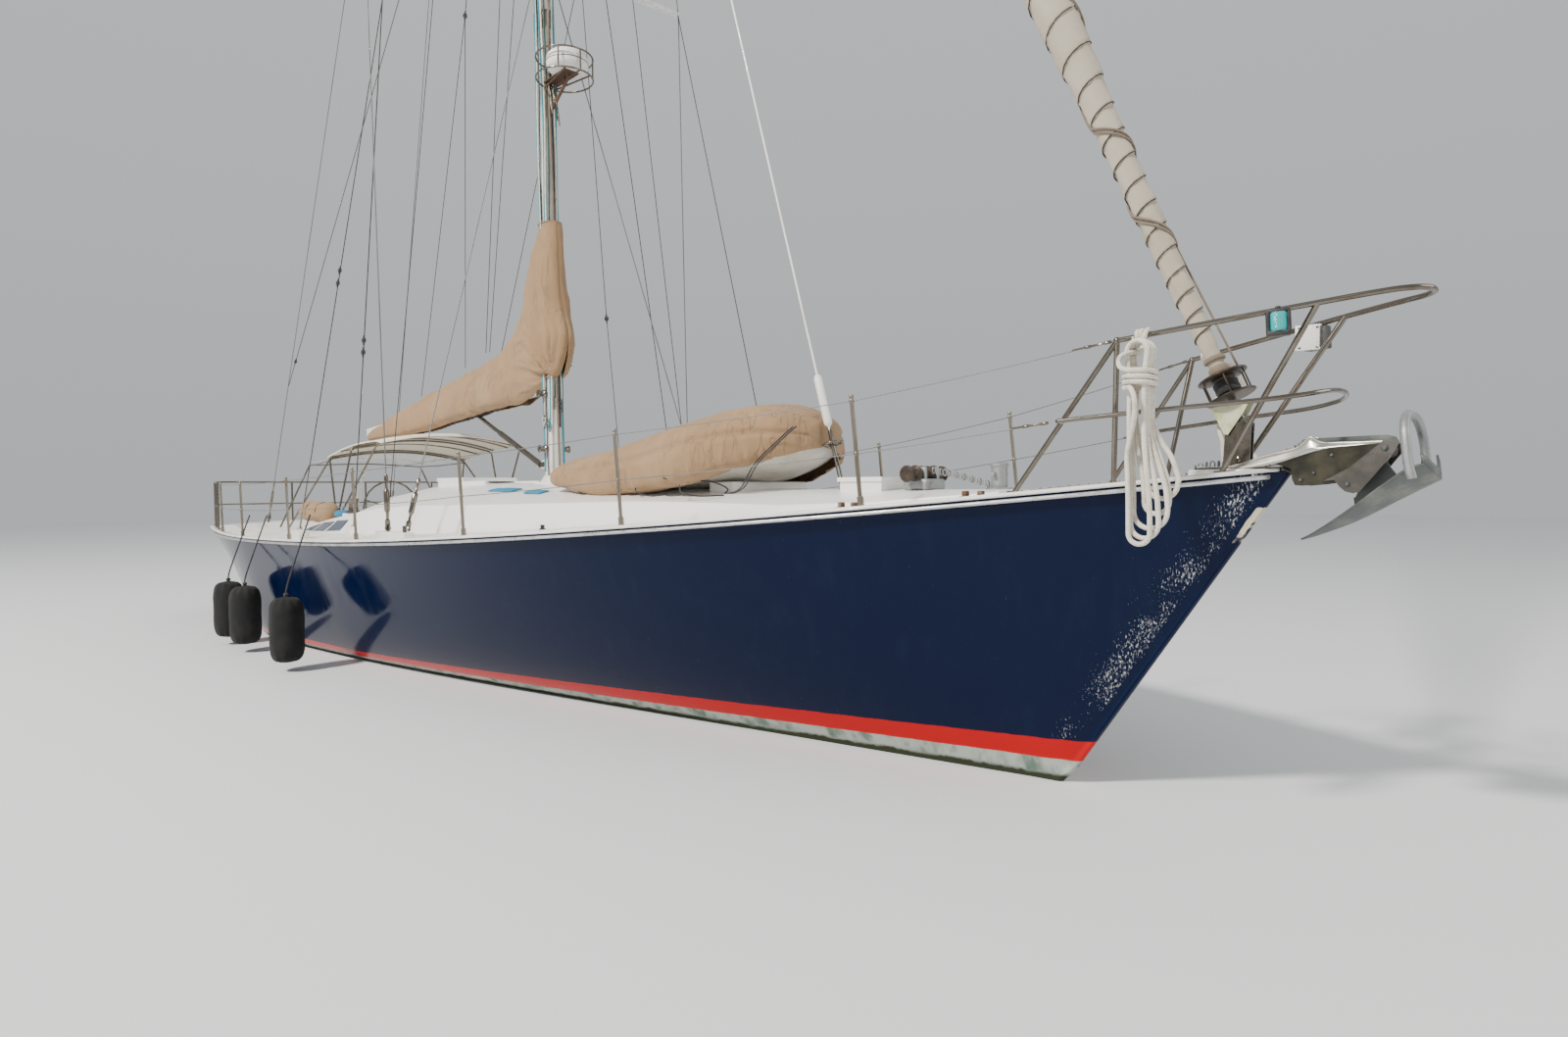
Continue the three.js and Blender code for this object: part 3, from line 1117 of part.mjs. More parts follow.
// Spare mooring rope, made up in a hank on each side of the pulpit
for (const [name, side, low] of [["starboard", -1, 1310], ["port", 1, 1750]]) {
  const [x, y, top] = [7110, side * 665, 2660];
  const half = 105;
  const end = (z, up) => Array.from({ length: 7 }, (_, i) => {
    const angle = (Math.PI * i) / 6;
    return [x + half * Math.cos(angle), z + up * half * Math.sin(angle)];
  });
  const outline = [...end(top - half, 1), ...end(low + half, -1).reverse()];
  const body = plate(outline, Math.min(y - 45, y + 45), Math.max(y - 45, y + 45), "xz");
  const turns = block([x - 60, Math.min(side * 455, y), 2675], [x + 60, Math.max(side * 455, y), 2742]);
  const drop = block([x - 60, Math.min(y - 40, y + 40), 2600], [x + 60, Math.max(y - 40, y + 40), 2742]);
  add(`rope_hank_${name}`, cut(join(body, turns, drop), pulpitTop(TUBE + GAP * 1.2)), rope);
}

export default yacht;
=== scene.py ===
# %% [markdown]
# # Dressing a sailing yacht
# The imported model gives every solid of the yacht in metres: +X to the bow, +Y to port, +Z up, with the
# origin at the middle of the waterline. This lesson puts the looks on it: smooth hull skin, canvas covers,
# rope, wire, stainless tube and paint. Each piece is made in the place of its solid, so nothing is fitted
# afterwards.

# %% Load the yacht
import math

import bmesh
import bpy
from mathutils import Matrix, Vector, noise


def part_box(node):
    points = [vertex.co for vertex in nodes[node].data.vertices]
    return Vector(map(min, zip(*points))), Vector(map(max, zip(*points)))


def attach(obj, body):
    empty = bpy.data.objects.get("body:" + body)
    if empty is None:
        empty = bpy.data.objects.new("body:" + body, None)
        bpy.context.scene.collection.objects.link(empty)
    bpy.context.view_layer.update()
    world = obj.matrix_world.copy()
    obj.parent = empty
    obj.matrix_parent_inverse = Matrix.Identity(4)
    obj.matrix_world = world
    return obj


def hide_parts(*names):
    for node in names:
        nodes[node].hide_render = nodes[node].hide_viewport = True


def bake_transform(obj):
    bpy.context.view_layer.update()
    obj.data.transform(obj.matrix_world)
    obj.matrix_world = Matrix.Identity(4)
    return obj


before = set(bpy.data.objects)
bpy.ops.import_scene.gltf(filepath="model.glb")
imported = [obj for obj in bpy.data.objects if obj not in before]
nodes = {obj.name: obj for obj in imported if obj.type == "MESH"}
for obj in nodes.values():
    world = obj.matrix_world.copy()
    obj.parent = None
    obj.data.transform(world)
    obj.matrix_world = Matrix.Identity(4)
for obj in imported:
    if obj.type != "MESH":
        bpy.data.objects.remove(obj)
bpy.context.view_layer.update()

SIDES = (("starboard", -1), ("port", 1))


def put(name, data):
    """A new object that holds the data, linked into the scene."""
    thing = bpy.data.objects.new(name, data)
    bpy.context.scene.collection.objects.link(thing)
    return thing


# %% [markdown]
# ## The camera
# The picture was taken from a quay by somebody standing, a few metres off the bow, with a wide lens. A wide
# lens exaggerates the bow, so the eye point matters more than the angle. The three angles below turn a level
# camera: yaw about the vertical, pitch down, and a slight roll.

# %% Camera
EYE = Vector((9.102, -5.232, 1.896))
YAW, PITCH, ROLL = 0.789, 0.034, -0.006
LENS, SENSOR = 20.23, 36.0

ahead = Vector((-math.sin(YAW), math.cos(YAW), 0))
beside = Vector((math.cos(YAW), math.sin(YAW), 0))
above = Vector((0, 0, 1))
look = ahead * math.cos(PITCH) - above * math.sin(PITCH)
crown = above * math.cos(PITCH) + ahead * math.sin(PITCH)
side_axis = beside * math.cos(ROLL) + crown * math.sin(ROLL)
top_axis = crown * math.cos(ROLL) - beside * math.sin(ROLL)

camera_data = bpy.data.cameras.new("quay_camera")
camera_data.lens = LENS
camera_data.sensor_width = SENSOR
camera_data.clip_end = 400
camera = put("quay_camera", camera_data)
camera.matrix_world = Matrix.Translation(EYE) @ Matrix((side_axis, top_axis, -look)).transposed().to_4x4()
bpy.context.scene.camera = camera
print("camera at", tuple(EYE), "lens", LENS, "mm")

# %% [markdown]
# ## Node groups for wear and texture
# Real finishes share a few effects: grime that gathers in patches, the weave of cloth and the lay of rope.
# Each is a small node group with named sockets, so every material can use it with its own values. A group
# only hands out colours, masks and heights; the shader itself stays in the material.

# %% Helpers for node groups
def new_tree(name, kind, inputs, outputs):
    """A node group with named sockets: inputs are (label, kind, value), outputs are (label, kind)."""
    group = bpy.data.node_groups.new(name, kind)
    for label, socket_kind, value in inputs:
        socket = group.interface.new_socket(label, in_out="INPUT", socket_type=socket_kind)
        if value is not None:
            socket.default_value = value
    for label, socket_kind in outputs:
        group.interface.new_socket(label, in_out="OUTPUT", socket_type=socket_kind)
    return group, group.nodes.new("NodeGroupInput"), group.nodes.new("NodeGroupOutput")


def feed(tree, target, source):
    """Links a socket to another node's output, or sets it to a plain value."""
    if isinstance(source, bpy.types.NodeSocket):
        tree.links.new(source, target)
    else:
        target.default_value = source


def add_node(tree, kind, settings=(), **inputs):
    """A node with its settings; an input is named by its label, or by i and its number."""
    node = tree.nodes.new(kind)
    for key, value in settings:
        if hasattr(node, key):
            setattr(node, key, value)
        else:
            node.inputs[key].default_value = value
    for label, source in inputs.items():
        number = label[1:] if label[0] == "i" else ""
        feed(tree, node.inputs[int(number) if number.isdigit() else label], source)
    return node


def mix_colour(tree, factor, first, second):
    return add_node(tree, "ShaderNodeMix", [("data_type", "RGBA")], i0=factor, i6=first, i7=second).outputs[2]


def ramp(tree, value, low, high, low_value=0.0, high_value=1.0):
    return add_node(tree, "ShaderNodeMapRange", [("interpolation_type", "SMOOTHSTEP")],
                    i0=value, i1=low, i2=high, i3=low_value, i4=high_value).outputs[0]


def maths(tree, operation, first, second=0.0):
    return add_node(tree, "ShaderNodeMath", [("operation", operation)], i0=first, i1=second).outputs[0]


def plus(tree, first, second):
    return maths(tree, "ADD", first, second)


def minus(tree, first, second):
    return maths(tree, "SUBTRACT", first, second)


def times(tree, first, second):
    return maths(tree, "MULTIPLY", first, second)


def clouds(tree, place, scale, detail, **more):
    """The value of a noise texture at a place."""
    return add_node(tree, "ShaderNodeTexNoise", Vector=place, Scale=scale, Detail=detail, **more).outputs[0]


# %% Grime, weave and rope lay
VECTOR, NUMBER, COLOUR = "NodeSocketVector", "NodeSocketFloat", "NodeSocketColor"

grime_group, given, result = new_tree("grime", "ShaderNodeTree", [
    ("Place", VECTOR, None), ("Scale", NUMBER, 2.0), ("Amount", NUMBER, 0.3), ("Stretch", NUMBER, 1.0),
    ("Clean", COLOUR, (1, 1, 1, 1)), ("Dirty", COLOUR, (0.3, 0.25, 0.2, 1)),
], [("Colour", COLOUR), ("Mask", NUMBER)])
given = given.outputs
squeeze = add_node(grime_group, "ShaderNodeCombineXYZ", i0=1, i1=1, i2=given["Stretch"])
place = add_node(grime_group, "ShaderNodeVectorMath", [("operation", "MULTIPLY")], i0=given["Place"],
                 i1=squeeze.outputs[0])
patches = clouds(grime_group, place.outputs[0], given["Scale"], 6.0, Roughness=0.62)
mask = times(grime_group, ramp(grime_group, patches, 0.42, 0.72), given["Amount"])
grime_group.links.new(mix_colour(grime_group, mask, given["Clean"], given["Dirty"]), result.inputs["Colour"])
grime_group.links.new(mask, result.inputs["Mask"])

weave_group, given, result = new_tree("weave", "ShaderNodeTree", [
    ("Threads", VECTOR, None), ("Pitch", NUMBER, 900.0),
], [("Height", NUMBER)])
apart = add_node(weave_group, "ShaderNodeSeparateXYZ", Vector=given.outputs["Threads"]).outputs
waves = [maths(weave_group, "SINE", times(weave_group, apart[k], given.outputs["Pitch"])) for k in (0, 1)]
weave_group.links.new(times(weave_group, *waves), result.inputs["Height"])

strand_group, given, result = new_tree("strands", "ShaderNodeTree", [
    ("Along", VECTOR, None), ("Twist", NUMBER, 160.0), ("Strands", NUMBER, 3.0),
], [("Height", NUMBER)])
apart = add_node(strand_group, "ShaderNodeSeparateXYZ", Vector=given.outputs["Along"]).outputs
run = times(strand_group, apart[0], given.outputs["Twist"])
turn = times(strand_group, times(strand_group, apart[1], math.tau), given.outputs["Strands"])
left = maths(strand_group, "SINE", plus(strand_group, run, turn))
right = maths(strand_group, "SINE", minus(strand_group, run, turn))
strand_group.links.new(maths(strand_group, "MAXIMUM", left, right), result.inputs["Height"])


# %% [markdown]
# ## Materials
# Every finish starts from a plain shader and gets its variation from the groups. The hull's side is one
# material: the boot stripe, the antifouling and the stain at the water are bands in height, because they are
# painted that way on the real hull too.

# %% Helpers for materials
def new_finish(name, base, roughness, metallic=0.0, **sockets):
    material = bpy.data.materials.new(name)
    material.use_nodes = True
    tree = material.node_tree
    shader = tree.nodes["Principled BSDF"]
    shader.inputs["Base Color"].default_value = (*base, 1)
    shader.inputs["Roughness"].default_value = roughness
    shader.inputs["Metallic"].default_value = metallic
    for label, value in sockets.items():
        shader.inputs[label.replace("_", " ")].default_value = value
    where = tree.nodes.new("ShaderNodeTexCoord")
    return material, tree, shader, where.outputs["Object"], where.outputs["UV"]


def grime(tree, shader, place, clean, dirty, scale=2.0, amount=0.3, stretch=1.0):
    """Colours a shader with patches of dirt and hands out the colour and the mask of the patches."""
    patchy = add_node(tree, "ShaderNodeGroup", [("node_tree", grime_group)], Place=place, Scale=scale,
                      Amount=amount, Stretch=stretch, Clean=(*clean, 1), Dirty=(*dirty, 1)).outputs
    tree.links.new(patchy["Colour"], shader.inputs["Base Color"])
    return patchy["Colour"], patchy["Mask"]


def bump(tree, shader, height, strength, distance):
    node = add_node(tree, "ShaderNodeBump", Strength=strength, Distance=distance, Height=height)
    tree.links.new(node.outputs[0], shader.inputs["Normal"])


def rough_patches(tree, shader, place, scale, low, high):
    cloud = clouds(tree, place, scale, 5.0)
    tree.links.new(ramp(tree, cloud, 0.35, 0.65, low, high), shader.inputs["Roughness"])
    return cloud


def finish(name, base, dirty, roughness, metallic=0.0, patches=(), grain=None, uneven=None, clean=None,
           **sockets):
    """A finish with grime: patches are (scale, amount, stretch), a grain is (scale, strength, depth) and
    an uneven gloss is (scale, low, high)."""
    material, tree, shader, place, _ = new_finish(name, base, roughness, metallic, **sockets)
    grime(tree, shader, place, clean or base, dirty, *patches)
    if grain:
        cells = add_node(tree, "ShaderNodeTexVoronoi", Scale=grain[0], Vector=place).outputs[0]
        bump(tree, shader, cells, *grain[1:])
    if uneven:
        rough_patches(tree, shader, place, *uneven)
    return material


# %% The hull's side
NAVY = (0.0020, 0.0068, 0.031)
RED = (0.50, 0.005, 0.008)
PALE_BOTTOM = (0.42, 0.46, 0.41)
GROWTH = (0.035, 0.04, 0.022)
STEM_RAKE = 0.648

topsides, tree, shader, place, _ = new_finish("topsides_paint", NAVY, 0.12, Specular_IOR_Level=0.13)
axes = add_node(tree, "ShaderNodeSeparateXYZ", Vector=place).outputs
ripple = clouds(tree, place, 9.0, 4.0)
aft = maths(tree, "MAXIMUM", plus(tree, axes[0], 1.1), 0.0)
red_top = plus(tree, times(tree, aft, 0.0213), 0.14)
red_foot = plus(tree, times(tree, aft, 0.012), 0.07)
wavy = times(tree, minus(tree, ripple, 0.5), 0.012)
height = plus(tree, axes[2], wavy)
over_red = ramp(tree, minus(tree, height, red_top), -0.002, 0.002)
over_pale = ramp(tree, minus(tree, height, red_foot), -0.004, 0.004)
runs = add_node(tree, "ShaderNodeMapping", [("Scale", (7.0, 7.0, 0.5))], Vector=place).outputs[0]
streak = clouds(tree, runs, 1.0, 6.0, Roughness=0.6)
haze = mix_colour(tree, ramp(tree, streak, 0.5, 0.8, 0.0, 0.22), (*NAVY, 1), (0.010, 0.020, 0.048, 1))
scratch_way = add_node(tree, "ShaderNodeMapping", [("Rotation", (0, 0.57, 0)), ("Scale", (1.4, 1.4, 0.30))],
                       Vector=place).outputs[0]
specks = clouds(tree, scratch_way, 85.0, 5.0, Roughness=0.8)
worn = clouds(tree, place, 2.4, 3.0)
stem_away = minus(tree, plus(tree, times(tree, axes[2], STEM_RAKE), 6.40), axes[0])
band = times(tree, ramp(tree, stem_away, 0.04, 0.09), ramp(tree, stem_away, 0.14, 0.34, 1.0, 0.0))
band = times(tree, band, ramp(tree, worn, 0.33, 0.56))
chafe = ramp(tree, plus(tree, specks, times(tree, band, 0.136)), 0.70, 0.72)
chafed = mix_colour(tree, chafe, haze, (0.66, 0.66, 0.64, 1))
high_up = times(tree, ramp(tree, axes[2], 1.53, 1.58), ramp(tree, stem_away, 0.030, 0.050, 1.0, 0.0))
high_up = times(tree, high_up, ramp(tree, axes[2], 1.77, 1.80, 1.0, 0.0))
blotch = plus(tree, times(tree, worn, 0.5), times(tree, ripple, 0.5))
bare = ramp(tree, plus(tree, blotch, times(tree, high_up, 0.36)), 0.80, 0.85)
chafed = mix_colour(tree, bare, chafed, (0.62, 0.55, 0.42, 1))
painted = mix_colour(tree, over_red, (*RED, 1), chafed)
stained = mix_colour(tree, ramp(tree, streak, 0.42, 0.68), (*PALE_BOTTOM, 1), (0.13, 0.19, 0.15, 1))
weed = ramp(tree, plus(tree, height, times(tree, streak, 0.10)), 0.085, 0.115)
low_paint = mix_colour(tree, weed, (*GROWTH, 1), stained)
tree.links.new(mix_colour(tree, over_pale, low_paint, painted), shader.inputs["Base Color"])
dull = plus(tree, times(tree, chafe, 0.4), ramp(tree, streak, 0.3, 0.8, 0.06, 0.2))
tree.links.new(mix_colour(tree, over_pale, (0.8, 0.8, 0.8, 1), dull), shader.inputs["Roughness"])
bump(tree, shader, clouds(tree, place, 0.9, 2.0), 0.12, 0.02)

# %% White gelcoat, deck paint and spars
GEL_WHITE, SPAR_WHITE = (0.86, 0.85, 0.81), (0.86, 0.86, 0.83)
white_gel, tree, shader, place, _ = new_finish("white_gelcoat", GEL_WHITE, 0.35, Coat_Weight=0.2)
grime(tree, shader, place, GEL_WHITE, (0.5, 0.43, 0.33), 3.2, 0.32, 0.35)
bump(tree, shader, rough_patches(tree, shader, place, 5.0, 0.26, 0.5), 0.06, 0.004)

_, tree, shader, place, _ = new_finish("spar_paint", SPAR_WHITE, 0.32, Coat_Weight=0.25)
_, mask = grime(tree, shader, place, SPAR_WHITE, (0.42, 0.40, 0.36), 9.0, 0.42, 0.1)
bump(tree, shader, mask, 0.08, 0.002)

finish("deck_paint", (0.84, 0.83, 0.79), (0.52, 0.47, 0.38), 0.6, patches=(2.1, 0.4),
       grain=(420.0, 0.35, 0.0012))


# %% Metals
stainless, tree, shader, place, _ = new_finish("stainless", (0.17, 0.15, 0.125), 0.20, 1.0)
_, mask = grime(tree, shader, place, (0.21, 0.19, 0.16), (0.10, 0.06, 0.035), 4.5, 0.55)
tree.links.new(plus(tree, times(tree, mask, 0.35), 0.16), shader.inputs["Roughness"])

wire_steel = finish("wire_steel", (0.20, 0.20, 0.20), (0.10, 0.085, 0.07), 0.5, 0.6, patches=(1.2, 0.6))
weathered_posts = finish("weathered_posts", (0.26, 0.235, 0.19), (0.13, 0.075, 0.04), 0.35, 0.9,
                         patches=(7.0, 0.7, 0.3), clean=(0.27, 0.24, 0.195))
mirror_plate = finish("mirror_plate", (0.17, 0.155, 0.13), (0.10, 0.07, 0.045), 0.22, 0.9, patches=(6.0, 0.6),
                      uneven=(7.0, 0.1, 0.32), clean=(0.20, 0.185, 0.16))
strake_metal = finish("strake_metal", (0.66, 0.67, 0.68), (0.28, 0.26, 0.24), 0.38, 0.85, patches=(8.0, 0.5),
                      uneven=(14.0, 0.25, 0.5))
galvanised = finish("galvanised", (0.36, 0.38, 0.38), (0.16, 0.12, 0.09), 0.55, 0.75, patches=(9.0, 0.5),
                    grain=(60.0, 0.25, 0.002))
finish("bronze", (0.38, 0.24, 0.10), (0.12, 0.16, 0.11), 0.4, 1.0, patches=(12.0, 0.6))
finish("keel_paint", (0.20, 0.22, 0.19), (0.06, 0.08, 0.04), 0.85, patches=(3.0, 0.8, 0.5),
       clean=(0.24, 0.26, 0.22))


# %% Canvas and sailcloth
def fold_depth(tree, place):
    """Narrow folds that lean a little and run down the cloth, only in some places: 1 in a fold."""
    lean = add_node(tree, "ShaderNodeMapping", [("Rotation", (0, 0.30, 0)), ("Scale", (8.0, 8.0, 1.3))],
                    Vector=place)
    drape = clouds(tree, lean.outputs[0], 1.0, 3.0, Distortion=0.9)
    hollow = ramp(tree, maths(tree, "ABSOLUTE", minus(tree, drape, 0.5)), 0.0, 0.030)
    weight = ramp(tree, clouds(tree, place, 2.1, 1.0), 0.40, 0.60)
    return times(tree, minus(tree, 1.0, hollow), weight)


def cloth(name, base, faded, sheen=0.08, folded=False):
    material, tree, shader, place, uv = new_finish(name, base, 0.9, Sheen_Weight=sheen)
    colour, _ = grime(tree, shader, place, base, faded, 1.6, 0.5)
    weave = add_node(tree, "ShaderNodeGroup", [("node_tree", weave_group)], Pitch=2400.0, Threads=uv)
    crease = clouds(tree, place, 7.0, 6.0, Distortion=0.6)
    height = plus(tree, times(tree, weave.outputs[0], 0.10), crease)
    if folded:
        # The hollows of the folds get painted shade, a darker copy of the cloth's colour, besides their dent
        # in the bump.
        depth = fold_depth(tree, place)
        shade = (base[0] * 0.45, base[1] * 0.42, base[2] * 0.40, 1)
        shaded = mix_colour(tree, times(tree, depth, 0.30), colour, shade)
        tree.links.new(shaded, shader.inputs["Base Color"])
        height = minus(tree, height, times(tree, depth, 1.4))
    bump(tree, shader, height, 0.6, 0.010)
    return material


tan_canvas = cloth("tan_canvas", (0.355, 0.220, 0.115), (0.44, 0.295, 0.165), folded=True)
# The cream canvas is lighter than the cloth itself: painted light standing in for the sun shining through the
# awning.
cream_canvas = cloth("cream_canvas", (0.96, 0.90, 0.78), (0.88, 0.79, 0.62))
turquoise_canvas = cloth("turquoise_canvas", (0.012, 0.20, 0.36), (0.05, 0.28, 0.42))
sailcloth = cloth("sailcloth", (0.52, 0.46, 0.36), (0.30, 0.25, 0.18), sheen=0.1)
clear_film = finish("clear_film", (0.8, 0.82, 0.8), (0.7, 0.66, 0.55), 0.12, patches=(4.0, 0.5), Alpha=0.4)


# %% Rope
def rope_finish(name, base, dirty):
    material, tree, shader, place, uv = new_finish(name, base, 0.85, Sheen_Weight=0.2)
    grime(tree, shader, place, base, dirty, 14.0, 0.5)
    lay = add_node(tree, "ShaderNodeGroup", [("node_tree", strand_group)], Twist=330.0, Strands=4.0, Along=uv)
    bump(tree, shader, lay.outputs[0], 0.6, 0.002)
    return material


white_rope = rope_finish("white_rope", (0.78, 0.73, 0.63), (0.42, 0.36, 0.27))
dark_rope = rope_finish("dark_rope", (0.02, 0.02, 0.022), (0.09, 0.08, 0.07))
blue_rope = rope_finish("blue_rope", (0.03, 0.33, 0.42), (0.22, 0.38, 0.40))
green_rope = rope_finish("green_rope", (0.02, 0.07, 0.06), (0.12, 0.13, 0.11))
tan_rope = rope_finish("tan_rope", (0.20, 0.15, 0.10), (0.30, 0.25, 0.19))


# %% Rubber, plastics and lamp lenses
def ribs(tree, shader, place):
    """The ribs of a lamp's lens, as a bump; their wave is handed out for the colour."""
    wave = add_node(tree, "ShaderNodeTexWave", [("bands_direction", "Z")], Scale=70.0,
                    Vector=place).outputs["Fac"]
    bump(tree, shader, wave, 0.4, 0.002)
    return wave


black_rubber = finish("black_rubber", (0.012, 0.012, 0.013), (0.06, 0.055, 0.05), 0.75, patches=(5.0, 0.6),
                      grain=(220.0, 0.4, 0.002), Sheen_Weight=0.3)
black_plastic = finish("black_plastic", (0.02, 0.02, 0.022), (0.12, 0.11, 0.10), 0.42, patches=(16.0, 0.5))

teal_lens, tree, shader, place, _ = new_finish("teal_lens", (0.003, 0.19, 0.20), 0.1, Coat_Weight=0.5)
# The lens is a lighter teal on the crests of its ribs: painted highlights along the ribs.
teal = mix_colour(tree, ribs(tree, shader, place), (0.01, 0.26, 0.27, 1), (0.03, 0.5, 0.48, 1))
tree.links.new(teal, shader.inputs["Base Color"])

red_lens, tree, shader, place, _ = new_finish("red_lens", (0.35, 0.01, 0.01), 0.1)
ribs(tree, shader, place)
grime(tree, shader, place, (0.35, 0.01, 0.01), (0.5, 0.08, 0.05), 30.0, 0.5)

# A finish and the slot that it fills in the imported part, for the pieces that share them
STEEL, POSTS = (stainless, "stainless_steel"), (weathered_posts, "stainless_steel")
WHITE, TAN = (white_gel, "white_gelcoat"), (tan_canvas, "tan_canvas")
DARK_LINE, PLASTIC = (dark_rope, "rope"), (black_plastic, "black_plastic")
print("materials:", len(bpy.data.materials))


# %% [markdown]
# ## Turning lists of points into pieces
# Nearly everything on a yacht is a tube along a line or a skin over ribs. `piece` makes the mesh, gives it
# its finish and fastens it to a moving body of the model. `grid_faces` joins rows of points into a skin,
# and the UV map is measured in metres along the rows, so that weave and rope lay keep their real size.

# %% Meshes from points
def piece(name, vertices, faces, material, slot, body="boat", smooth=True, uvs=None, stands_for=(),
          fix=False):
    mesh = bpy.data.meshes.new(name)
    mesh.from_pydata([tuple(v) for v in vertices], [], faces)
    if uvs is not None:
        layer = mesh.uv_layers.new(name="UVMap")
        for loop in mesh.loops:
            layer.data[loop.index].uv = uvs[loop.vertex_index]
    if fix:
        shape = bmesh.new()
        shape.from_mesh(mesh)
        bmesh.ops.remove_doubles(shape, verts=shape.verts, dist=1e-5)
        bmesh.ops.recalc_face_normals(shape, faces=shape.faces)
        shape.to_mesh(mesh)
        shape.free()
    mesh.validate()
    mesh.polygons.foreach_set("use_smooth", [smooth] * len(mesh.polygons))
    mesh.materials.append(material)
    return fasten(put(name, mesh), body, stands_for)


def fasten(thing, body, stands_for=()):
    if body:
        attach(thing, body)
    if stands_for:
        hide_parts(*stands_for)
    return thing


def grid_faces(row_count, column_count, wrap=False, start=0):
    faces = []
    for i in range(row_count - 1):
        for j in range(column_count if wrap else column_count - 1):
            k = (j + 1) % column_count
            a, b = start + i * column_count, start + (i + 1) * column_count
            faces.append((a + j, b + j, b + k, a + k))
    return faces


def capped_faces(ring_count, count):
    """The faces of a tube of rings, with both its ends filled."""
    faces = grid_faces(ring_count, count, wrap=True)
    faces.append(tuple(range(count)))
    faces.append(tuple(range((ring_count - 1) * count, ring_count * count))[::-1])
    return faces


def measured_uvs(rows):
    uvs = []
    along = [0.0] * len(rows[0])
    for i, row in enumerate(rows):
        across = 0.0
        for j, point in enumerate(row):
            if i:
                along[j] += (point - rows[i - 1][j]).length
            if j:
                across += (point - row[j - 1]).length
            uvs.append((along[j], across))
    return uvs


def lofted(name, rings, material, slot, **kw):
    """A closed skin over rings, its two ends filled."""
    vertices, faces = [p for ring in rings for p in ring], capped_faces(len(rings), len(rings[0]))
    return piece(name, vertices, faces, material, slot, uvs=measured_uvs(rings), fix=True, **kw)


# %% Smooth curves and tables
def smooth_run(points, steps=8, closed=False):
    """Points on a smooth curve through the given ones."""
    stops = [Vector(p) for p in points]
    count = len(stops)
    spans = count if closed else count - 1
    run = []
    for i in range(spans):
        b, c = stops[i], stops[(i + 1) % count]
        a = stops[i - 1] if closed or i else b + (b - c)
        d = stops[(i + 2) % count] if closed or i + 2 < count else c + (c - b)
        for s in range(steps):
            t = s / steps
            run.append(0.5 * (2 * b + (c - a) * t + (2 * a - 5 * b + 4 * c - d) * t ** 2
                              + (3 * b - 3 * c + d - a) * t ** 3))
    if not closed:
        run.append(stops[-1])
    return run


def table_at(rows, x):
    """The row of a table at x, between the rows on either side, on a smooth curve."""
    rows = sorted(rows)
    x = min(max(x, rows[0][0]), rows[-1][0])
    k = max(i for i in range(len(rows) - 1) if rows[i][0] <= x)
    before, low, high, after = rows[max(k - 1, 0)], rows[k], rows[k + 1], rows[min(k + 2, len(rows) - 1)]
    t = (x - low[0]) / (high[0] - low[0])
    answer = []
    for a, b, c, d in zip(before[1:], low[1:], high[1:], after[1:]):
        span = high[0] - low[0]
        m0 = (c - a) / max(high[0] - before[0], 1e-9) * span
        m1 = (d - b) / max(after[0] - low[0], 1e-9) * span
        answer.append((2 * t ** 3 - 3 * t ** 2 + 1) * b + (t ** 3 - 2 * t ** 2 + t) * m0
                      + (3 * t ** 2 - 2 * t ** 3) * c + (t ** 3 - t ** 2) * m1)
    return answer


# %% Rope along a path
def rope_skin(points, radius, sides=10):
    """Rings round a path, turned as little as possible from one to the next."""
    stops = [Vector(p) for p in points]
    rings, uvs, gone = [], [], 0.0
    across = None
    for i, stop in enumerate(stops):
        ahead = (stops[min(i + 1, len(stops) - 1)] - stops[max(i - 1, 0)]).normalized()
        if across is None:
            across = ahead.orthogonal().normalized()
        across = (across - ahead * across.dot(ahead)).normalized()
        third = ahead.cross(across)
        if i:
            gone += (stop - stops[i - 1]).length
        angles = [math.tau * k / sides for k in range(sides)]
        rings.append([stop + across * radius * math.cos(a) + third * radius * math.sin(a) for a in angles])
        uvs += [(gone, k / sides) for k in range(sides)]
    return rings, uvs, gone


def rope(name, points, radius, material, slot, sides=10, **kw):
    rings, uvs, length = rope_skin(points, radius, sides)
    faces = capped_faces(len(rings), sides)
    faces[:-2] = [face[::-1] for face in faces[:-2]]
    vertices = [p for ring in rings for p in ring]
    return piece(name, vertices, faces, material, slot, uvs=uvs, fix=True, **kw), length


# %% [markdown]
# ## The spare ropes on the bow rail
# Each is one long rope made up in a hank: it is hitched to the rail, passes through the hank's head, takes
# three turns round its neck and then runs down and up in long loops. A flattened helix does that without
# the strands cutting each other: every loop lies one rope's thickness beside the last.

# %% The path of a hank
ROPE = 0.0265
HANK_X, HANK_TURNS = 7.11, 5
RAIL_Y, RAIL_Z, HITCH_RADIUS = 0.489, 2.709, 0.0275
HANK_Y, LOOP_PITCH, NECK_PITCH = 0.664, 0.0295, 0.0275
NECK_WRAPS, WRAP_STEPS = 3, 14
DROPS, LEANS = (0.0, 0.03, 0.08, 0.155, 0.235), (0.055, 0.070, 0.088, 0.108, 0.125)


def clamp01(t):
    return min(max(t, 0.0), 1.0)


def mix(a, b, t):
    return a + (b - a) * t


def hank_leg(x_top, x_low, top, low):
    """One leg of a hanging loop, from its neck down to where it turns: (x, z, spread across the hank)."""
    count = max(2, round((top - low) / 0.10))
    leg = []
    for k in range(count + 1):
        t = k / count
        z = mix(top, low, t)
        leg.append((mix(x_top, x_low, t * t * (3 - 2 * t)), z, clamp01(0.3 + 3 * (top - z))))
    return leg


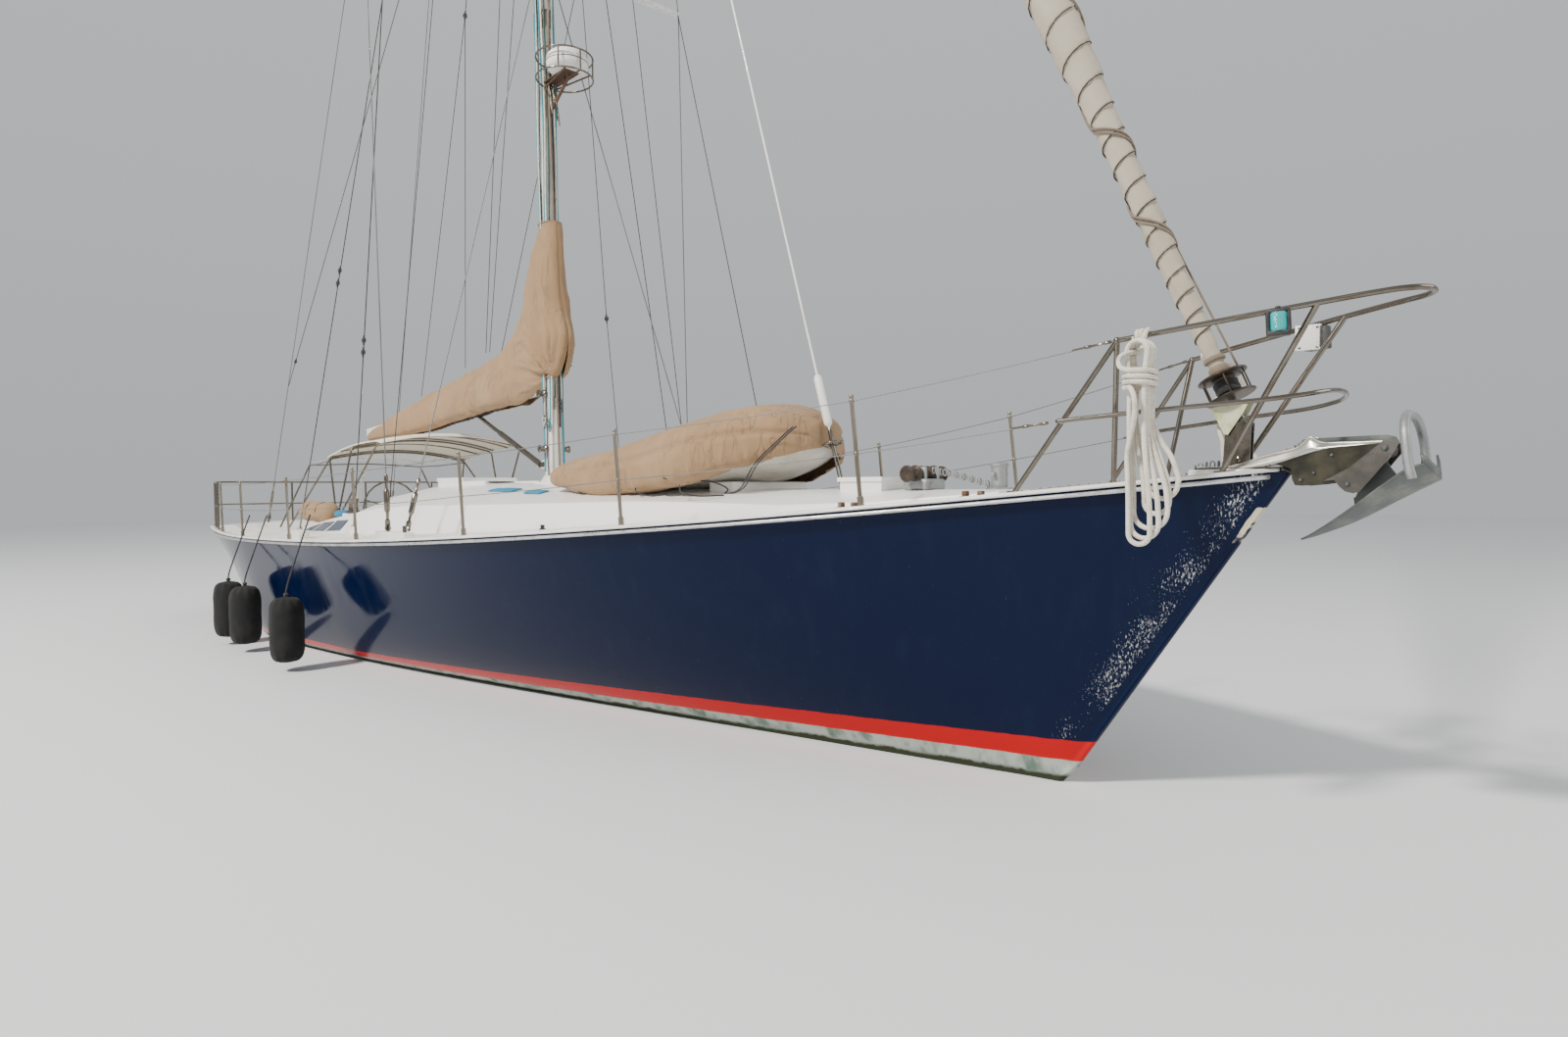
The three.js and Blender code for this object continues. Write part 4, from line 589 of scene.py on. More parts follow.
def hank_turn(number, low):
    """Loop of a hank, counted from 0: down one side, round its foot and up the other."""
    foot = low + DROPS[number] + 0.012
    wide = 0.056 + 0.016 * ((number * 2) % 5) / 2
    lean = LEANS[number]
    low_z = foot + wide + 0.03
    down = hank_leg(-0.014, lean - wide, 2.25, low_z)
    if number:
        down = [(-0.014, 2.46, 0), (-0.014, 2.40, 0), (-0.014, 2.34, 0.1)] + down
    else:
        down = [step for step in down if step[1] < 2.10]
    around = [(lean - wide * math.cos(a), foot + wide - wide * math.sin(a), 1)
              for a in (math.pi * k / 8 for k in range(9))]
    back = hank_leg(0.074, wide + lean, 2.25, low_z)[::-1]
    return down + around + back + [(0.074, 2.34, 0.1), (0.074, 2.40, 0), (0.074, 2.46, 0)]


def hank_path(side, low):
    """The whole rope: over the rail, through the head, round the neck, then the loops one beside another."""
    def at(x, y, z):
        return Vector((HANK_X + x, side * y, z))

    path = [at(*step) for step in (
        (0, 0.489, 2.735), (0, 0.512, 2.731), (0, 0.534, 2.712), (0, 0.546, 2.684), (0, 0.556, 2.650),
        (0, 0.574, 2.618), (0, 0.604, 2.600), (-0.004, 0.664, 2.597), (-0.022, 0.706, 2.590),
        (-0.042, 0.736, 2.572), (-0.048, 0.748, 2.545), (-0.036, 0.756, 2.516), (-0.008, 0.759, 2.499))]
    for k in range(NECK_WRAPS * WRAP_STEPS):
        angle = math.tau * k / WRAP_STEPS
        path.append(at(0.03 + 0.074 * math.sin(angle), HANK_Y + 0.092 * math.cos(angle),
                       2.494 - 0.0300 * k / WRAP_STEPS))
    path += [at(*step) for step in ((0.024, 0.772, 2.402), (0.050, 0.790, 2.362), (0.056, 0.786, 2.300),
                                    (0.040, 0.764, 2.230), (0.014, 0.740, 2.155))]
    for number in range(HANK_TURNS):
        y = HANK_Y + LOOP_PITCH * (HANK_TURNS - 1) / 2 - LOOP_PITCH * number
        neck_y = HANK_Y + NECK_PITCH * (HANK_TURNS - 1) / 2 - NECK_PITCH * number
        path += [at(x, neck_y + (y - neck_y) * spread, z) for x, z, spread in hank_turn(number, low)]
        if number < HANK_TURNS - 1:
            for k in range(9):
                angle = math.pi * k / 8
                shift = -NECK_PITCH * k / 8
                path.append(at(0.03 + 0.059 * math.cos(angle), neck_y + shift,
                               2.592 + 0.059 * math.sin(angle)))
    return path + [at(0.050, 0.606, 2.52), at(0.046, 0.596, 2.545)]


# %% Measures on a path
def closest_strands(points, diameter):
    """The least distance between stretches of a path that aren't neighbours along it."""
    reach = int(diameter * 3 / max((points[1] - points[0]).length, 1e-4)) + 8
    grid, best = {}, 9.0
    for i, p in enumerate(points):
        key = tuple(int(c // 0.05) for c in p)
        for dx in (-1, 0, 1):
            for dy in (-1, 0, 1):
                for dz in (-1, 0, 1):
                    for j in grid.get((key[0] + dx, key[1] + dy, key[2] + dz), ()):
                        if i - j > reach:
                            best = min(best, (p - points[j]).length)
        grid.setdefault(key, []).append(i)
    return best


def even_run(points, step):
    """The same path with points at an even step."""
    answer, left = [points[0]], step
    for a, b in zip(points, points[1:]):
        length = (b - a).length
        gone = left
        while gone <= length:
            answer.append(a.lerp(b, gone / length))
            gone += step
        left = gone - length
    return answer


# %% Rope hanks
for name, side, low in (("starboard", -1, 1.585), ("port", 1, 1.70)):
    strand = even_run(smooth_run(hank_path(side, low), 10), 0.011)
    hank, length = rope(f"rope_hank_{name}_strand", strand, ROPE / 2, white_rope, "rope",
                        stands_for=(f"rope_hank_{name}",))
    hitch_run = [
        Vector((HANK_X - 0.012 - 0.023 * k / 12,
                side * RAIL_Y + HITCH_RADIUS * math.cos(math.pi * k / 6 + 1.57) * side,
                RAIL_Z - HITCH_RADIUS * math.sin(math.pi * k / 6 - 1.57) - 0.0018 * k / 12))
        for k in range(3, 34)
    ]
    hitch, _ = rope(f"rope_hitch_{name}", smooth_run(hitch_run, 3), ROPE / 2 * 0.96, white_rope, "rope")
    print(hank.name, "length", round(length, 2), "closest strands", round(closest_strands(strand, ROPE), 4))

# %% [markdown]
# ## Light and floor
# The yacht floats, so the floor stands at its waterline. A pale, even surround with one large soft light
# from high on the starboard bow shows the gloss of the dark hull without hard shadows.

# %% Light
world = bpy.data.worlds.new("soft_surround")
bpy.context.scene.world = world
world.use_nodes = True
sky = world.node_tree
background = sky.nodes["Background"]
background.inputs["Strength"].default_value = 0.64
direction = sky.nodes.new("ShaderNodeTexCoord")
upward = add_node(sky, "ShaderNodeSeparateXYZ", Vector=direction.outputs["Generated"])
sky.links.new(mix_colour(sky, ramp(sky, upward.outputs[2], -0.1, 0.6), (0.80, 0.82, 0.84, 1),
                         (0.96, 0.98, 1.0, 1)),
              background.inputs["Color"])

for name, at, aim, size, power in (
    ("high_soft_light", (1, -24, 24), (1, 0, 3), 3.5, 15500),
    ("bow_fill", (20, 6, 9), (5, 0, 2), 10, 900),
):
    data = bpy.data.lights.new(name, "AREA")
    data.shape = "DISK"
    data.size, data.energy = size, power
    data.color = (1.0, 0.97, 0.92)
    lamp = put(name, data)
    lamp.location = at
    lamp.rotation_euler = (Vector(aim) - Vector(at)).to_track_quat("-Z", "Y").to_euler()

# %% Floor
FLOOR_REACH = 60
floor_mesh = bpy.data.meshes.new("studio_floor")
floor_corners = [(x * FLOOR_REACH, y * FLOOR_REACH, 0) for x, y in ((-1, -1), (1, -1), (1, 1), (-1, 1))]
floor_mesh.from_pydata(floor_corners, [], [(0, 1, 2, 3)])
floor_mesh.materials.append(new_finish("floor_paint", (0.74, 0.75, 0.76), 0.85)[0])
floor = put("studio_floor", floor_mesh)

# %% [markdown]
# ## The hull's lines
# The plating follows three curves along the length: the sheer, the half breadth at the deck and the half
# breadth at the waterline. The sections between them are flared forward and full amidships. The same
# curves give the skin, the strake, the gunwale and the feet of the guardrails.

# %% Hull lines
TRANSOM_FOOT, TRANSOM_RAKE = -8.0, math.tan(math.radians(29))


def sheer(x):
    return 1.297 + 0.677 * ((x + 4.552) / 12.231) ** 2


def deck_half(x):
    s, aft = clamp01((7.679 - x) / 9.273), clamp01((-3.6 - x) / 4.3)
    return 2.214 * (1 - (1 - s) ** 2.27) - 0.520 * aft ** 1.8


def water_half(x):
    s, aft = clamp01((6.4 - x) / 9.916), clamp01((-3.5 - x) / 3.0)
    return 1.913 * (1 - (1 - s) ** 1.247) * (1 - aft ** 2.2)


def bottom(x):
    v = (6.4 - x) / 12.9
    if v <= 0:
        return (x - 6.4) / STEM_RAKE
    if v >= 1:
        return (-6.5 - x) * 0.36
    return -0.78 * math.sin(math.pi * v) ** (0.7 + 0.5 * v)


def section(x, upper=26, lower=14, top_up=0.0):
    """Half a section, from the sheer down to the keel line."""
    low = bottom(x)
    water = max(low + 0.02, 0.0)
    at_water = max(0.026, water_half(x))
    flare = 0.5 + 0.45 * clamp01((x + 1.0) / 7.0)
    points = []
    for k in range(upper + 1):
        t = 1 - k / upper
        points.append((mix(at_water, max(deck_half(x), 0.03), t ** flare), mix(water, sheer(x) + top_up, t)))
    for k in range(1, lower + 1):
        t = k / lower
        points.append((at_water * max(1 - t ** 1.8, 0.0) ** 0.75, mix(water, low, t)))
    return points


# %% The plating
SKIN_OUT, STERN_OUT = 0.004, 0.027  # how far the skin stands outside the solids, forward and at the stern
STERN_FROM, STERN_RAMP = -4.6, 1.6
REGULAR_TO, AFT_ROWS = -6.9, 10


def on_section(x, j):
    """Point j of the whole section at x, counted from the starboard sheer."""
    half = section(x, top_up=0.006)
    side, k = (-1, j) if j < len(half) else (1, 2 * len(half) - 2 - j)
    return Vector((x, side * half[k][0], half[k][1]))


def on_transom(z):
    return TRANSOM_FOOT - SKIN_OUT + (z - 0.54) * TRANSOM_RAKE


def normal_at(rows, i, j, wrap=False, least=1e-12, otherwise=Vector()):
    """The surface's normal at row i, column j of a grid of points."""
    count = len(rows[0])
    along = rows[min(i + 1, len(rows) - 1)][j] - rows[max(i - 1, 0)][j]
    before, after = (j - 1, (j + 1) % count) if wrap else (max(j - 1, 0), min(j + 1, count - 1))
    normal = along.cross(rows[i][after] - rows[i][before])
    return normal.normalized() if normal.length > least else otherwise


def last_station(j):
    """Where the line along the hull through point j meets the raked transom."""
    near, far = REGULAR_TO, -8.6
    for _ in range(30):
        x = (near + far) / 2
        near, far = (x, far) if x > on_transom(on_section(x, j).z) else (near, x)
    return near


columns = 2 * len(section(0.0)) - 1
stations = [7.674 - 0.9 * (k / 24) ** 1.5 for k in range(25)]
stations += [6.774 - (6.774 - REGULAR_TO) * k / 92 for k in range(1, 93)]
rows = [[on_section(x, j) for j in range(columns)] for x in stations]
ends = [last_station(j) for j in range(columns)]
for k in range(1, AFT_ROWS + 1):
    rows.append([on_section(mix(REGULAR_TO, ends[j], k / AFT_ROWS), j) for j in range(columns)])
pushed = []
for i, row in enumerate(rows):
    outs = [mix(SKIN_OUT, STERN_OUT, clamp01((STERN_FROM - point.x) / STERN_RAMP)) for point in row]
    pushed.append([point + normal_at(rows, i, j, least=1e-9, otherwise=Vector((1, 0, 0))) * outs[j]
                   for j, point in enumerate(row)])
rim = [Vector((on_transom(p.z), p.y, p.z)) for p in pushed[-1]]
hub = Vector((on_transom(rim[0].z), 0, rim[0].z))
pushed[-1] = rim
for share in (0.75, 0.5, 0.25, 0.02):
    pushed.append([hub + (p - hub) * share for p in rim])


# %% Thin skins
def thin_skin(name, rows, thickness, material, slot, body="boat", wrap=False, stands_for=()):
    """A sheet with both faces: the given points outside, a second layer inside."""
    row_count, count = len(rows), len(rows[0])
    inner = [[p - normal_at(rows, i, j, wrap) * thickness for j, p in enumerate(row)]
             for i, row in enumerate(rows)]
    start = row_count * count
    vertices = [p for row in rows + inner for p in row]
    faces = grid_faces(row_count, count, wrap)
    faces += [face[::-1] for face in grid_faces(row_count, count, wrap, start)]
    tail = (row_count - 1) * count
    for j in range(count if wrap else count - 1):
        k = (j + 1) % count
        faces.append((j, k, start + k, start + j))
        faces.append((tail + k, tail + j, start + tail + j, start + tail + k))
    if not wrap:
        for i in range(row_count - 1):
            a, b = i * count, (i + 1) * count
            faces.append((b, a, start + a, start + b))
            a, b = a + count - 1, b + count - 1
            faces.append((a, b, start + b, start + a))
    thing = piece(name, vertices, faces, material, slot, body=body, uvs=measured_uvs(rows) * 2,
                  stands_for=stands_for)
    shape = bmesh.new()
    shape.from_mesh(thing.data)
    bmesh.ops.recalc_face_normals(shape, faces=shape.faces)
    area = sum(face.calc_area() for face in shape.faces) / 2
    shape.to_mesh(thing.data)
    shape.free()
    return thing, area


thin_skin("hull_skin", pushed, 0.003, topsides, "topsides_paint")
print("hull skin rows:", len(pushed), "columns:", columns)

# %% [markdown]
# ## Strake and gunwale
# A metal strake protects the topsides alongside a quay. Over it the navy paint shows as a thin line, and
# over that comes the white gunwale that closes the joint between hull and deck.

# %% Strake and gunwale
SHEER_STATIONS = [7.62 - 0.5 * (k / 12) ** 1.4 for k in range(13)]
SHEER_STATIONS += [7.12 - 14.62 * k / 90 for k in range(1, 91)]


def along_sheer(name, side, profile, material, slot, start=7.62, end=-7.5, **kw):
    rows = []
    for x in SHEER_STATIONS:
        if not end <= x <= start:
            continue
        ahead = Vector((0.01, deck_half(x + 0.005) - deck_half(x - 0.005), 0)).normalized()
        normal = Vector((-ahead.y, ahead.x, 0))
        rows.append([Vector((x + normal.x * out, side * (deck_half(x) + normal.y * out), sheer(x) + up))
                     for out, up in profile])
    return lofted(name, rows, material, slot, **kw)


STRAKE = [(0.0, -0.008), (0.022, -0.009), (0.030, -0.014), (0.032, -0.021), (0.030, -0.028), (0.022, -0.033),
          (0.0, -0.034)]
GUNWALE = [(-0.10, 0.004), (-0.10, 0.016), (-0.03, 0.026), (-0.004, 0.030), (0.010, 0.026), (0.016, 0.018),
           (0.016, 0.009), (0.010, 0.004)]
for name, side in SIDES:
    along_sheer(f"strake_{name}", side, STRAKE, strake_metal, "aluminium", start=7.60, end=-7.48,
                stands_for=(f"rub_rail_{name}",))
    along_sheer(f"gunwale_{name}", side, GUNWALE, *WHITE, end=-7.42)

# %% [markdown]
# ## Smooth shading for the solids that stay
# The solids are made of flat facets. A small geometry tree joins their corners, shades them smoothly and
# keeps every edge sharper than its limit crisp, so round parts look round. A table then gives each solid
# that stays in sight its finish; what it doesn't name is stainless steel.

# %% Smooth shading tree
MESH, FINISH, GEOMETRY_TREE = "NodeSocketGeometry", "NodeSocketMaterial", "GeometryNodeTree"

shade_tree, given, result = new_tree("shade_by_angle", GEOMETRY_TREE, [
    ("Geometry", MESH, None), ("Limit", NUMBER, math.radians(34)),
], [("Geometry", MESH)])
welded = add_node(shade_tree, "GeometryNodeMergeByDistance", Geometry=given.outputs[0], Distance=0.00002)
rounded = add_node(shade_tree, "GeometryNodeSetShadeSmooth", [("domain", "FACE")], Geometry=welded.outputs[0])
angle = add_node(shade_tree, "GeometryNodeInputMeshEdgeAngle")
crisp = add_node(shade_tree, "FunctionNodeCompare", [("operation", "GREATER_THAN")], i0=angle.outputs[0],
                 i1=given.outputs["Limit"])
edged = add_node(shade_tree, "GeometryNodeSetShadeSmooth", [("domain", "EDGE"), ("Shade Smooth", False)],
                 Geometry=rounded.outputs[0], Selection=crisp.outputs[0])
shade_tree.links.new(edged.outputs[0], result.inputs[0])

# %% Finishes for the solids that stay
KEPT = {
    "deck_paint": ("hull_fore", "hull_midships", "hull_cockpit", "hull_stern"),
    "white_gelcoat": ("coachroof", "foredeck_trunk", "coaming_starboard", "coaming_port", "washboards",
                      "companionway_hatch", "roof_hatch_lid", "fore_hatch_lid", "dinghy_hull",
                      "helm_pedestal"),
    "spar_paint": ("mast", "boom", "upper_spreaders", "lower_spreaders"),
    "keel_paint": ("keel", "skeg", "rudder"),
    "bronze": ("propeller", "shaft_strut"),
    "galvanised": ("bow_platform", "anchor"),
    "mirror_plate": ("tack_fitting", "radar_bracket"),
    "black_rubber": ("fender_a", "fender_b", "fender_c"),
}
finish_of = {name: material for material, names in KEPT.items() for name in names}
for name, thing in nodes.items():
    material = bpy.data.materials[finish_of.get(name, "stainless")]
    thing.data.materials.clear()
    thing.data.materials.append(material)
    modifier = thing.modifiers.new("shade_by_angle", "NODES")
    modifier.node_group = shade_tree
print("nodes with the default finish:", [name for name in nodes if name not in finish_of])


# %% The height of the deck
def deck_at(x, y):
    """The height of the deck or roof under a point, found with a ray cast straight down."""
    heights = [0.0]
    for name in ("hull_fore", "hull_midships", "foredeck_trunk", "coachroof"):
        hit, at, _, _ = nodes[name].ray_cast(Vector((x, y, 4)), Vector((0, 0, -1)))
        if hit:
            heights.append(at.z)
    return max(heights)


print("roof over the mast's foot:", round(deck_at(0.5, -0.3), 3))

# %% [markdown]
# ## Covers of canvas
# The stowed mainsail lies under a canvas cover along the boom, and a second piece is wrapped round the mast.
# Canvas over a heap of folded sail shows its tension: folds fan out from where it is gathered at the mast,
# hang down along the boom and climb the mast. Each set of folds is a creased wave, strongest at its place.

# %% Folds and wrinkles
def folds(p, *waves):
    """The height of a few sine folds at p; each wave is direction, count per metre, height."""
    bend = 3 * noise.noise(p * 1.7)
    return sum(high * math.sin(math.tau * per_metre * Vector(along).normalized().dot(p) + bend)
               for along, per_metre, high in waves)


def wrinkle(rows, amount, scale, seed, waves=()):
    """Moves points along their surface normal by layered noise and folds."""
    shift = Vector((seed, seed * 0.7, seed * 1.3))
    answer = []
    for i, row in enumerate(rows):
        line = []
        for j, p in enumerate(row):
            height = amount * (noise.noise(p * scale + shift) + 0.5 * noise.noise(p * scale * 2.3 + shift))
            line.append(p + normal_at(rows, i, j) * (height + folds(p, *waves)))
        answer.append(line)
    return answer


# %% Sections of the sail cover, from the mast to the end of the boom
# Stations: back or top of the section (x, z), its front or bottom (x, z), half width, share of a boom section
COVER = [(-0.060, 4.900, 0.262, 4.900, 0.112, 0.0), (-0.185, 4.620, 0.285, 4.600, 0.148, 0.0),
         (-0.300, 4.360, 0.300, 4.330, 0.174, 0.0), (-0.385, 4.120, 0.335, 4.050, 0.196, 0.0),
         (-0.440, 3.970, 0.385, 3.840, 0.208, 0.05), (-0.500, 3.880, 0.448, 3.660, 0.214, 0.10),
         (-0.560, 3.830, 0.452, 3.520, 0.214, 0.18), (-0.630, 3.790, 0.400, 3.340, 0.206, 0.28),
         (-0.700, 3.755, 0.300, 3.195, 0.192, 0.40), (-0.760, 3.725, 0.130, 3.120, 0.178, 0.52),
         (-0.820, 3.700, -0.080, 3.040, 0.176, 0.65), (-0.880, 3.680, -0.300, 2.970, 0.180, 0.78),
         (-0.950, 3.655, -0.540, 2.925, 0.184, 0.90), (-1.050, 3.615, -0.800, 2.910, 0.186, 1.0),
         (-1.290, 3.540, -1.150, 2.900, 0.182, 1.0), (-1.700, 3.470, -1.640, 2.865, 0.175, 1.0),
         (-2.370, 3.370, -2.370, 2.815, 0.165, 1.0), (-3.100, 3.265, -3.100, 2.745, 0.155, 1.0),
         (-3.800, 3.150, -3.800, 2.715, 0.142, 1.0), (-4.780, 2.985, -4.780, 2.690, 0.115, 1.0),
         (-5.435, 2.860, -5.435, 2.690, 0.080, 1.0)]
BOOM_SHARES = [(0.0, 0.34), (0.03, 0.60), (0.10, 0.88), (0.22, 1.0), (0.45, 0.96), (0.62, 0.78), (0.76, 0.58),
               (0.88, 0.38), (0.96, 0.22), (1.0, 0.0)]
def creased(angle):
    """A wave with soft hollows and crisp ridges, from -1 to 1."""
    return 1 - 2 * abs(math.sin(angle / 2)) ** 0.7


# %% Folds of the sail cover
GATHER, FAN_REACH, FAN_HEIGHT = Vector((0.30, 0, 3.20)), 0.70, 0.032
HANG_HEIGHT, CLIMB_HEIGHT = 0.022, 0.016


def fold_cover(p, side, share):
    """Moves a point of the cover in or out: a fan at the gather, hanging folds aft, climbing ones above."""
    away = Vector((p.x - GATHER.x, 0, p.z - GATHER.z))
    near = math.exp(-(away.length / FAN_REACH) ** 2) * clamp01(away.length / 0.07 - 0.4)
    fan = math.atan2(away.z, away.x)
    bend = noise.noise(p * 1.7)
    free = clamp01(share * 14) * clamp01((1 - share) * 14)
    fanned = creased(17 * fan + 7 * bend) + 0.6 * creased(29 * fan + 1.3 + 5 * bend)
    p.y += side * FAN_HEIGHT * near * fanned * free
    behind = clamp01((0.1 - p.x) * 1.6)
    hang = behind * math.exp(-((p.x + 1.3) / 1.9) ** 2)
    hanging = creased(13 * (p.x + p.z * 0.55) + 4 * bend)
    p.y += side * HANG_HEIGHT * hang * free * hanging * mix(0.35, 1.0, 1 - share)
    climb = (1 - behind) * clamp01((p.z - 3.5) * 2) * clamp01((4.85 - p.z) * 4)
    p.y += side * CLIMB_HEIGHT * climb * free * creased(9 * (p.z * 0.8 + p.x * 2.2) + 6 * bend)


# %% Sail cover
COVER_ROWS, COVER_SHARES = 330, 62
shares = [mix(k / COVER_SHARES, 0.5 - 0.5 * math.cos(math.pi * k / COVER_SHARES), 0.5)
          for k in range(COVER_SHARES + 1)]
gaps = [0.0]
for one, two in zip(COVER, COVER[1:]):
    along, up = (two[0] + two[2] - one[0] - one[2]) / 2, (two[1] + two[3] - one[1] - one[3]) / 2
    gaps.append(gaps[-1] + math.hypot(along, up))
by_gap = [(far, *station) for far, station in zip(gaps, COVER)]
rows = []
for i in range(COVER_ROWS + 1):
    top_x, top_z, low_x, low_z, half, boomed = table_at(by_gap, gaps[-1] * (i / COVER_ROWS) ** 1.25)
    line = []
    for side, sequence in ((-1, shares), (1, shares[-2::-1])):
        for share in sequence:
            oval = math.sqrt(max(1 - (2 * share - 1) ** 2, 0)) ** 0.86 if share else 0.02
            width = mix(oval, table_at(BOOM_SHARES, share)[0], boomed)
            p = Vector((mix(low_x, top_x, share), side * half * width, mix(low_z, top_z, share)))
            fold_cover(p, side, share)
            if share == 0:
                p.y = mix(-side * 0.006, p.y, clamp01(boomed * 2))
            line.append(p)
    rows.append(line)
rows = wrinkle(rows, 0.015, scale=2.7, seed=4.0, waves=[((0.85, 0, -0.4), 1.9, 0.004)])
cover, area = thin_skin("sail_cover_canvas", rows, 0.003, *TAN, body=None,
                        stands_for=("sail_cover", "mast_boot"))
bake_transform(cover)
cover_rows = rows

# %% Dinghy hull and chocks
# Stations: x, half width, height of the side, height of the keel
HULL_STATIONS = [(1.50, 0.60, 2.02, 1.905), (2.40, 0.72, 1.93, 1.880), (3.24, 0.72, 2.02, 1.882),
                 (3.46, 0.70, 2.05, 1.906), (3.72, 0.62, 2.11, 1.968), (3.95, 0.50, 2.17, 2.030),
                 (4.12, 0.36, 2.215, 2.095), (4.24, 0.18, 2.26, 2.180)]
rings = []
for i in range(49):
    x = mix(1.50, 4.24, i / 48)
    half, side_z, keel_z = table_at(HULL_STATIONS, x)
    ring = []
    for k in range(33):
        y = -1 + k / 16
        ring.append(Vector((x, half * y, mix(keel_z, side_z, abs(y) ** 1.5))))
    ring += [Vector((x, half * y * 0.96, side_z + 0.05)) for y in (1, 0.5, 0, -0.5, -1)]
    rings.append(ring)
dinghy_grey = finish("dinghy_grey", (0.62, 0.59, 0.53), (0.34, 0.29, 0.22), 0.45, patches=(3.6, 0.6))
lofted("dinghy_hull_shell", rings, dinghy_grey, "white_gelcoat", stands_for=("dinghy_hull",))

# %% Dinghy cover
# Stations: x, half width, hem, ridge
DINGHY = [(1.28, 0.640, 1.985, 2.13), (1.42, 0.790, 1.935, 2.21), (1.66, 0.820, 1.895, 2.265),
          (1.92, 0.830, 1.840, 2.31), (2.39, 0.830, 1.822, 2.395), (3.00, 0.825, 1.880, 2.495),
          (3.45, 0.790, 1.950, 2.575), (3.80, 0.680, 2.040, 2.600), (4.05, 0.510, 2.110, 2.570),
          (4.20, 0.340, 2.165, 2.500), (4.28, 0.160, 2.210, 2.420)]
DINGHY_SHARES = [(0.0, 0.93), (0.12, 1.0), (0.28, 1.015), (0.45, 1.0), (0.62, 0.94), (0.76, 0.83),
                 (0.87, 0.65), (0.95, 0.40), (1.0, 0.0)]
girth_shares = [0, 0.03, 0.06, 0.09, 0.12, 0.16, 0.2, 0.24, 0.28, 0.32, 0.36, 0.4, 0.45, 0.5, 0.54, 0.58,
                0.62, 0.69, 0.76, 0.82, 0.87, 0.91, 0.94, 0.965, 0.985, 0.995, 1.0]
rows = []
DINGHY_ROWS = 170
for i in range(DINGHY_ROWS + 1):
    t = i / DINGHY_ROWS
    t = 0.5 - 0.5 * math.cos(math.pi * t)
    x = mix(1.285, 4.275, t)
    half, low, high = table_at(DINGHY, x)
    line = []
    for side, sequence in ((-1, girth_shares), (1, girth_shares[-2::-1])):
        for share in sequence:
            width = table_at(DINGHY_SHARES, share)[0]
            tight = clamp01(1 - share * 2.3) * clamp01((x - 2.1) * 1.4)
            bend = noise.noise(Vector((x * 3, side, share * 2)))
            pucker = tight * (0.026 * creased(30 * (x + 0.25 * share) + 5 * bend)
                              + 0.011 * creased(71 * x + 4 * bend))
            crease = 0.030 * math.exp(-((share - 0.50) / 0.05) ** 2) * clamp01((x - 1.5) * 2)
            tuck = 0.10 * max(0.06 - share, 0) / 0.06 * clamp01((4.2 - x) * 3)
            line.append(Vector((x, side * (half * (width - tuck) + pucker - crease), mix(low, high, share))))
    rows.append(line)
rows = wrinkle(rows, 0.012, scale=2.2, seed=9.0,
               waves=[((0.6, 0.8, 0), 0.9, 0.005), ((0.9, -0.3, 0.2), 2.6, 0.003)])
ends = []
for line, x in ((rows[0], 1.281), (rows[-1], 4.30)):
    base = min(p.z for p in line)
    steps = []
    for k in (0.25, 0.5, 0.75, 0.98):
        steps.append([Vector((mix(p.x, x, k), p.y * (1 - k), mix(p.z, base + 0.02, k))) for p in line])
    ends.append(steps)
rows = ends[0][::-1] + rows + ends[1]
dinghy_canvas, area = thin_skin("dinghy_cover_canvas", rows, 0.003, *TAN,
                                stands_for=("dinghy_cover",))
print("dinghy cover area", round(area, 2))

# %% Awning over the cockpit
AWNING = [(-2.40, 2.50, 0.96, 0.120), (-2.50, 2.535, 1.00, 0.130), (-3.40, 2.50, 1.01, 0.140),
          (-4.30, 2.385, 1.00, 0.120), (-4.38, 2.36, 0.98, 0.110), (-5.10, 2.35, 0.90, 0.060),
          (-5.65, 2.33, 0.86, 0.040)]


def awning_rows(start, end, count, lift=0.0, drop=0.0):
    rows = []
    for i in range(count + 1):
        x = mix(start, end, i / count)
        edge, half, crown_up = table_at(AWNING, x)
        line = []
        for j in range(41):
            f = -1 + 2 * j / 40
            curl = drop * max(abs(f) - 0.985, 0) / 0.015
            line.append(Vector((x, f * half, edge + crown_up * (1 - f * f) + lift - curl)))
        rows.append(line)
    return rows


rows = awning_rows(-2.41, -4.37, 60)
sag = [[p - Vector((0, 0, 0.010 * abs(math.sin(math.pi * (p.x + 2.5) / 0.9)) * (1 - abs(p.y) ** 2)))
        for p in line] for line in rows]
canopy, area = thin_skin("awning_canvas", [line[::-1] for line in wrinkle(sag, 0.006, scale=2.6, seed=2.0)],
                         0.004, cream_canvas, "cream_canvas", stands_for=("awning",))
rows = awning_rows(-4.39, -5.64, 30)
film, area2 = thin_skin("awning_extension",
                        [line[::-1] for line in wrinkle(rows, 0.008, scale=2.0, seed=5.0)], 0.002,
                        clear_film, "cream_canvas")
print("awning areas", round(area, 2), round(area2, 2))

# %% [markdown]
# ## The furled headsail
# The headsail is wound round its stay, so its edge climbs the roll as a spiral. The roll is thickest where
# the sail is widest, and it narrows to the bare stay at the drum. Each turn of the edge leaves a shallow
# step, and the last turn is held by its own sheets wound round it.

# %% Headsail roll
TACK, STAY_TOP = Vector((7.449, 0, 2.200)), Vector((-0.0484, 0, 19.630))
STAY_WAY = (STAY_TOP - TACK).normalized()
STAY_LENGTH = (STAY_TOP - TACK).length
STAY_SIDE = Vector((0, 1, 0))
STAY_OUT = STAY_WAY.cross(STAY_SIDE).normalized()
ROLL_TABLE = [(0.0185, 0.039), (0.022, 0.041), (0.026, 0.044), (0.031, 0.050), (0.054, 0.063), (0.09, 0.075),
              (0.114, 0.084), (0.138, 0.112), (0.17, 0.134), (0.25, 0.146), (0.50, 0.121), (0.75, 0.084),
              (0.955, 0.039)]


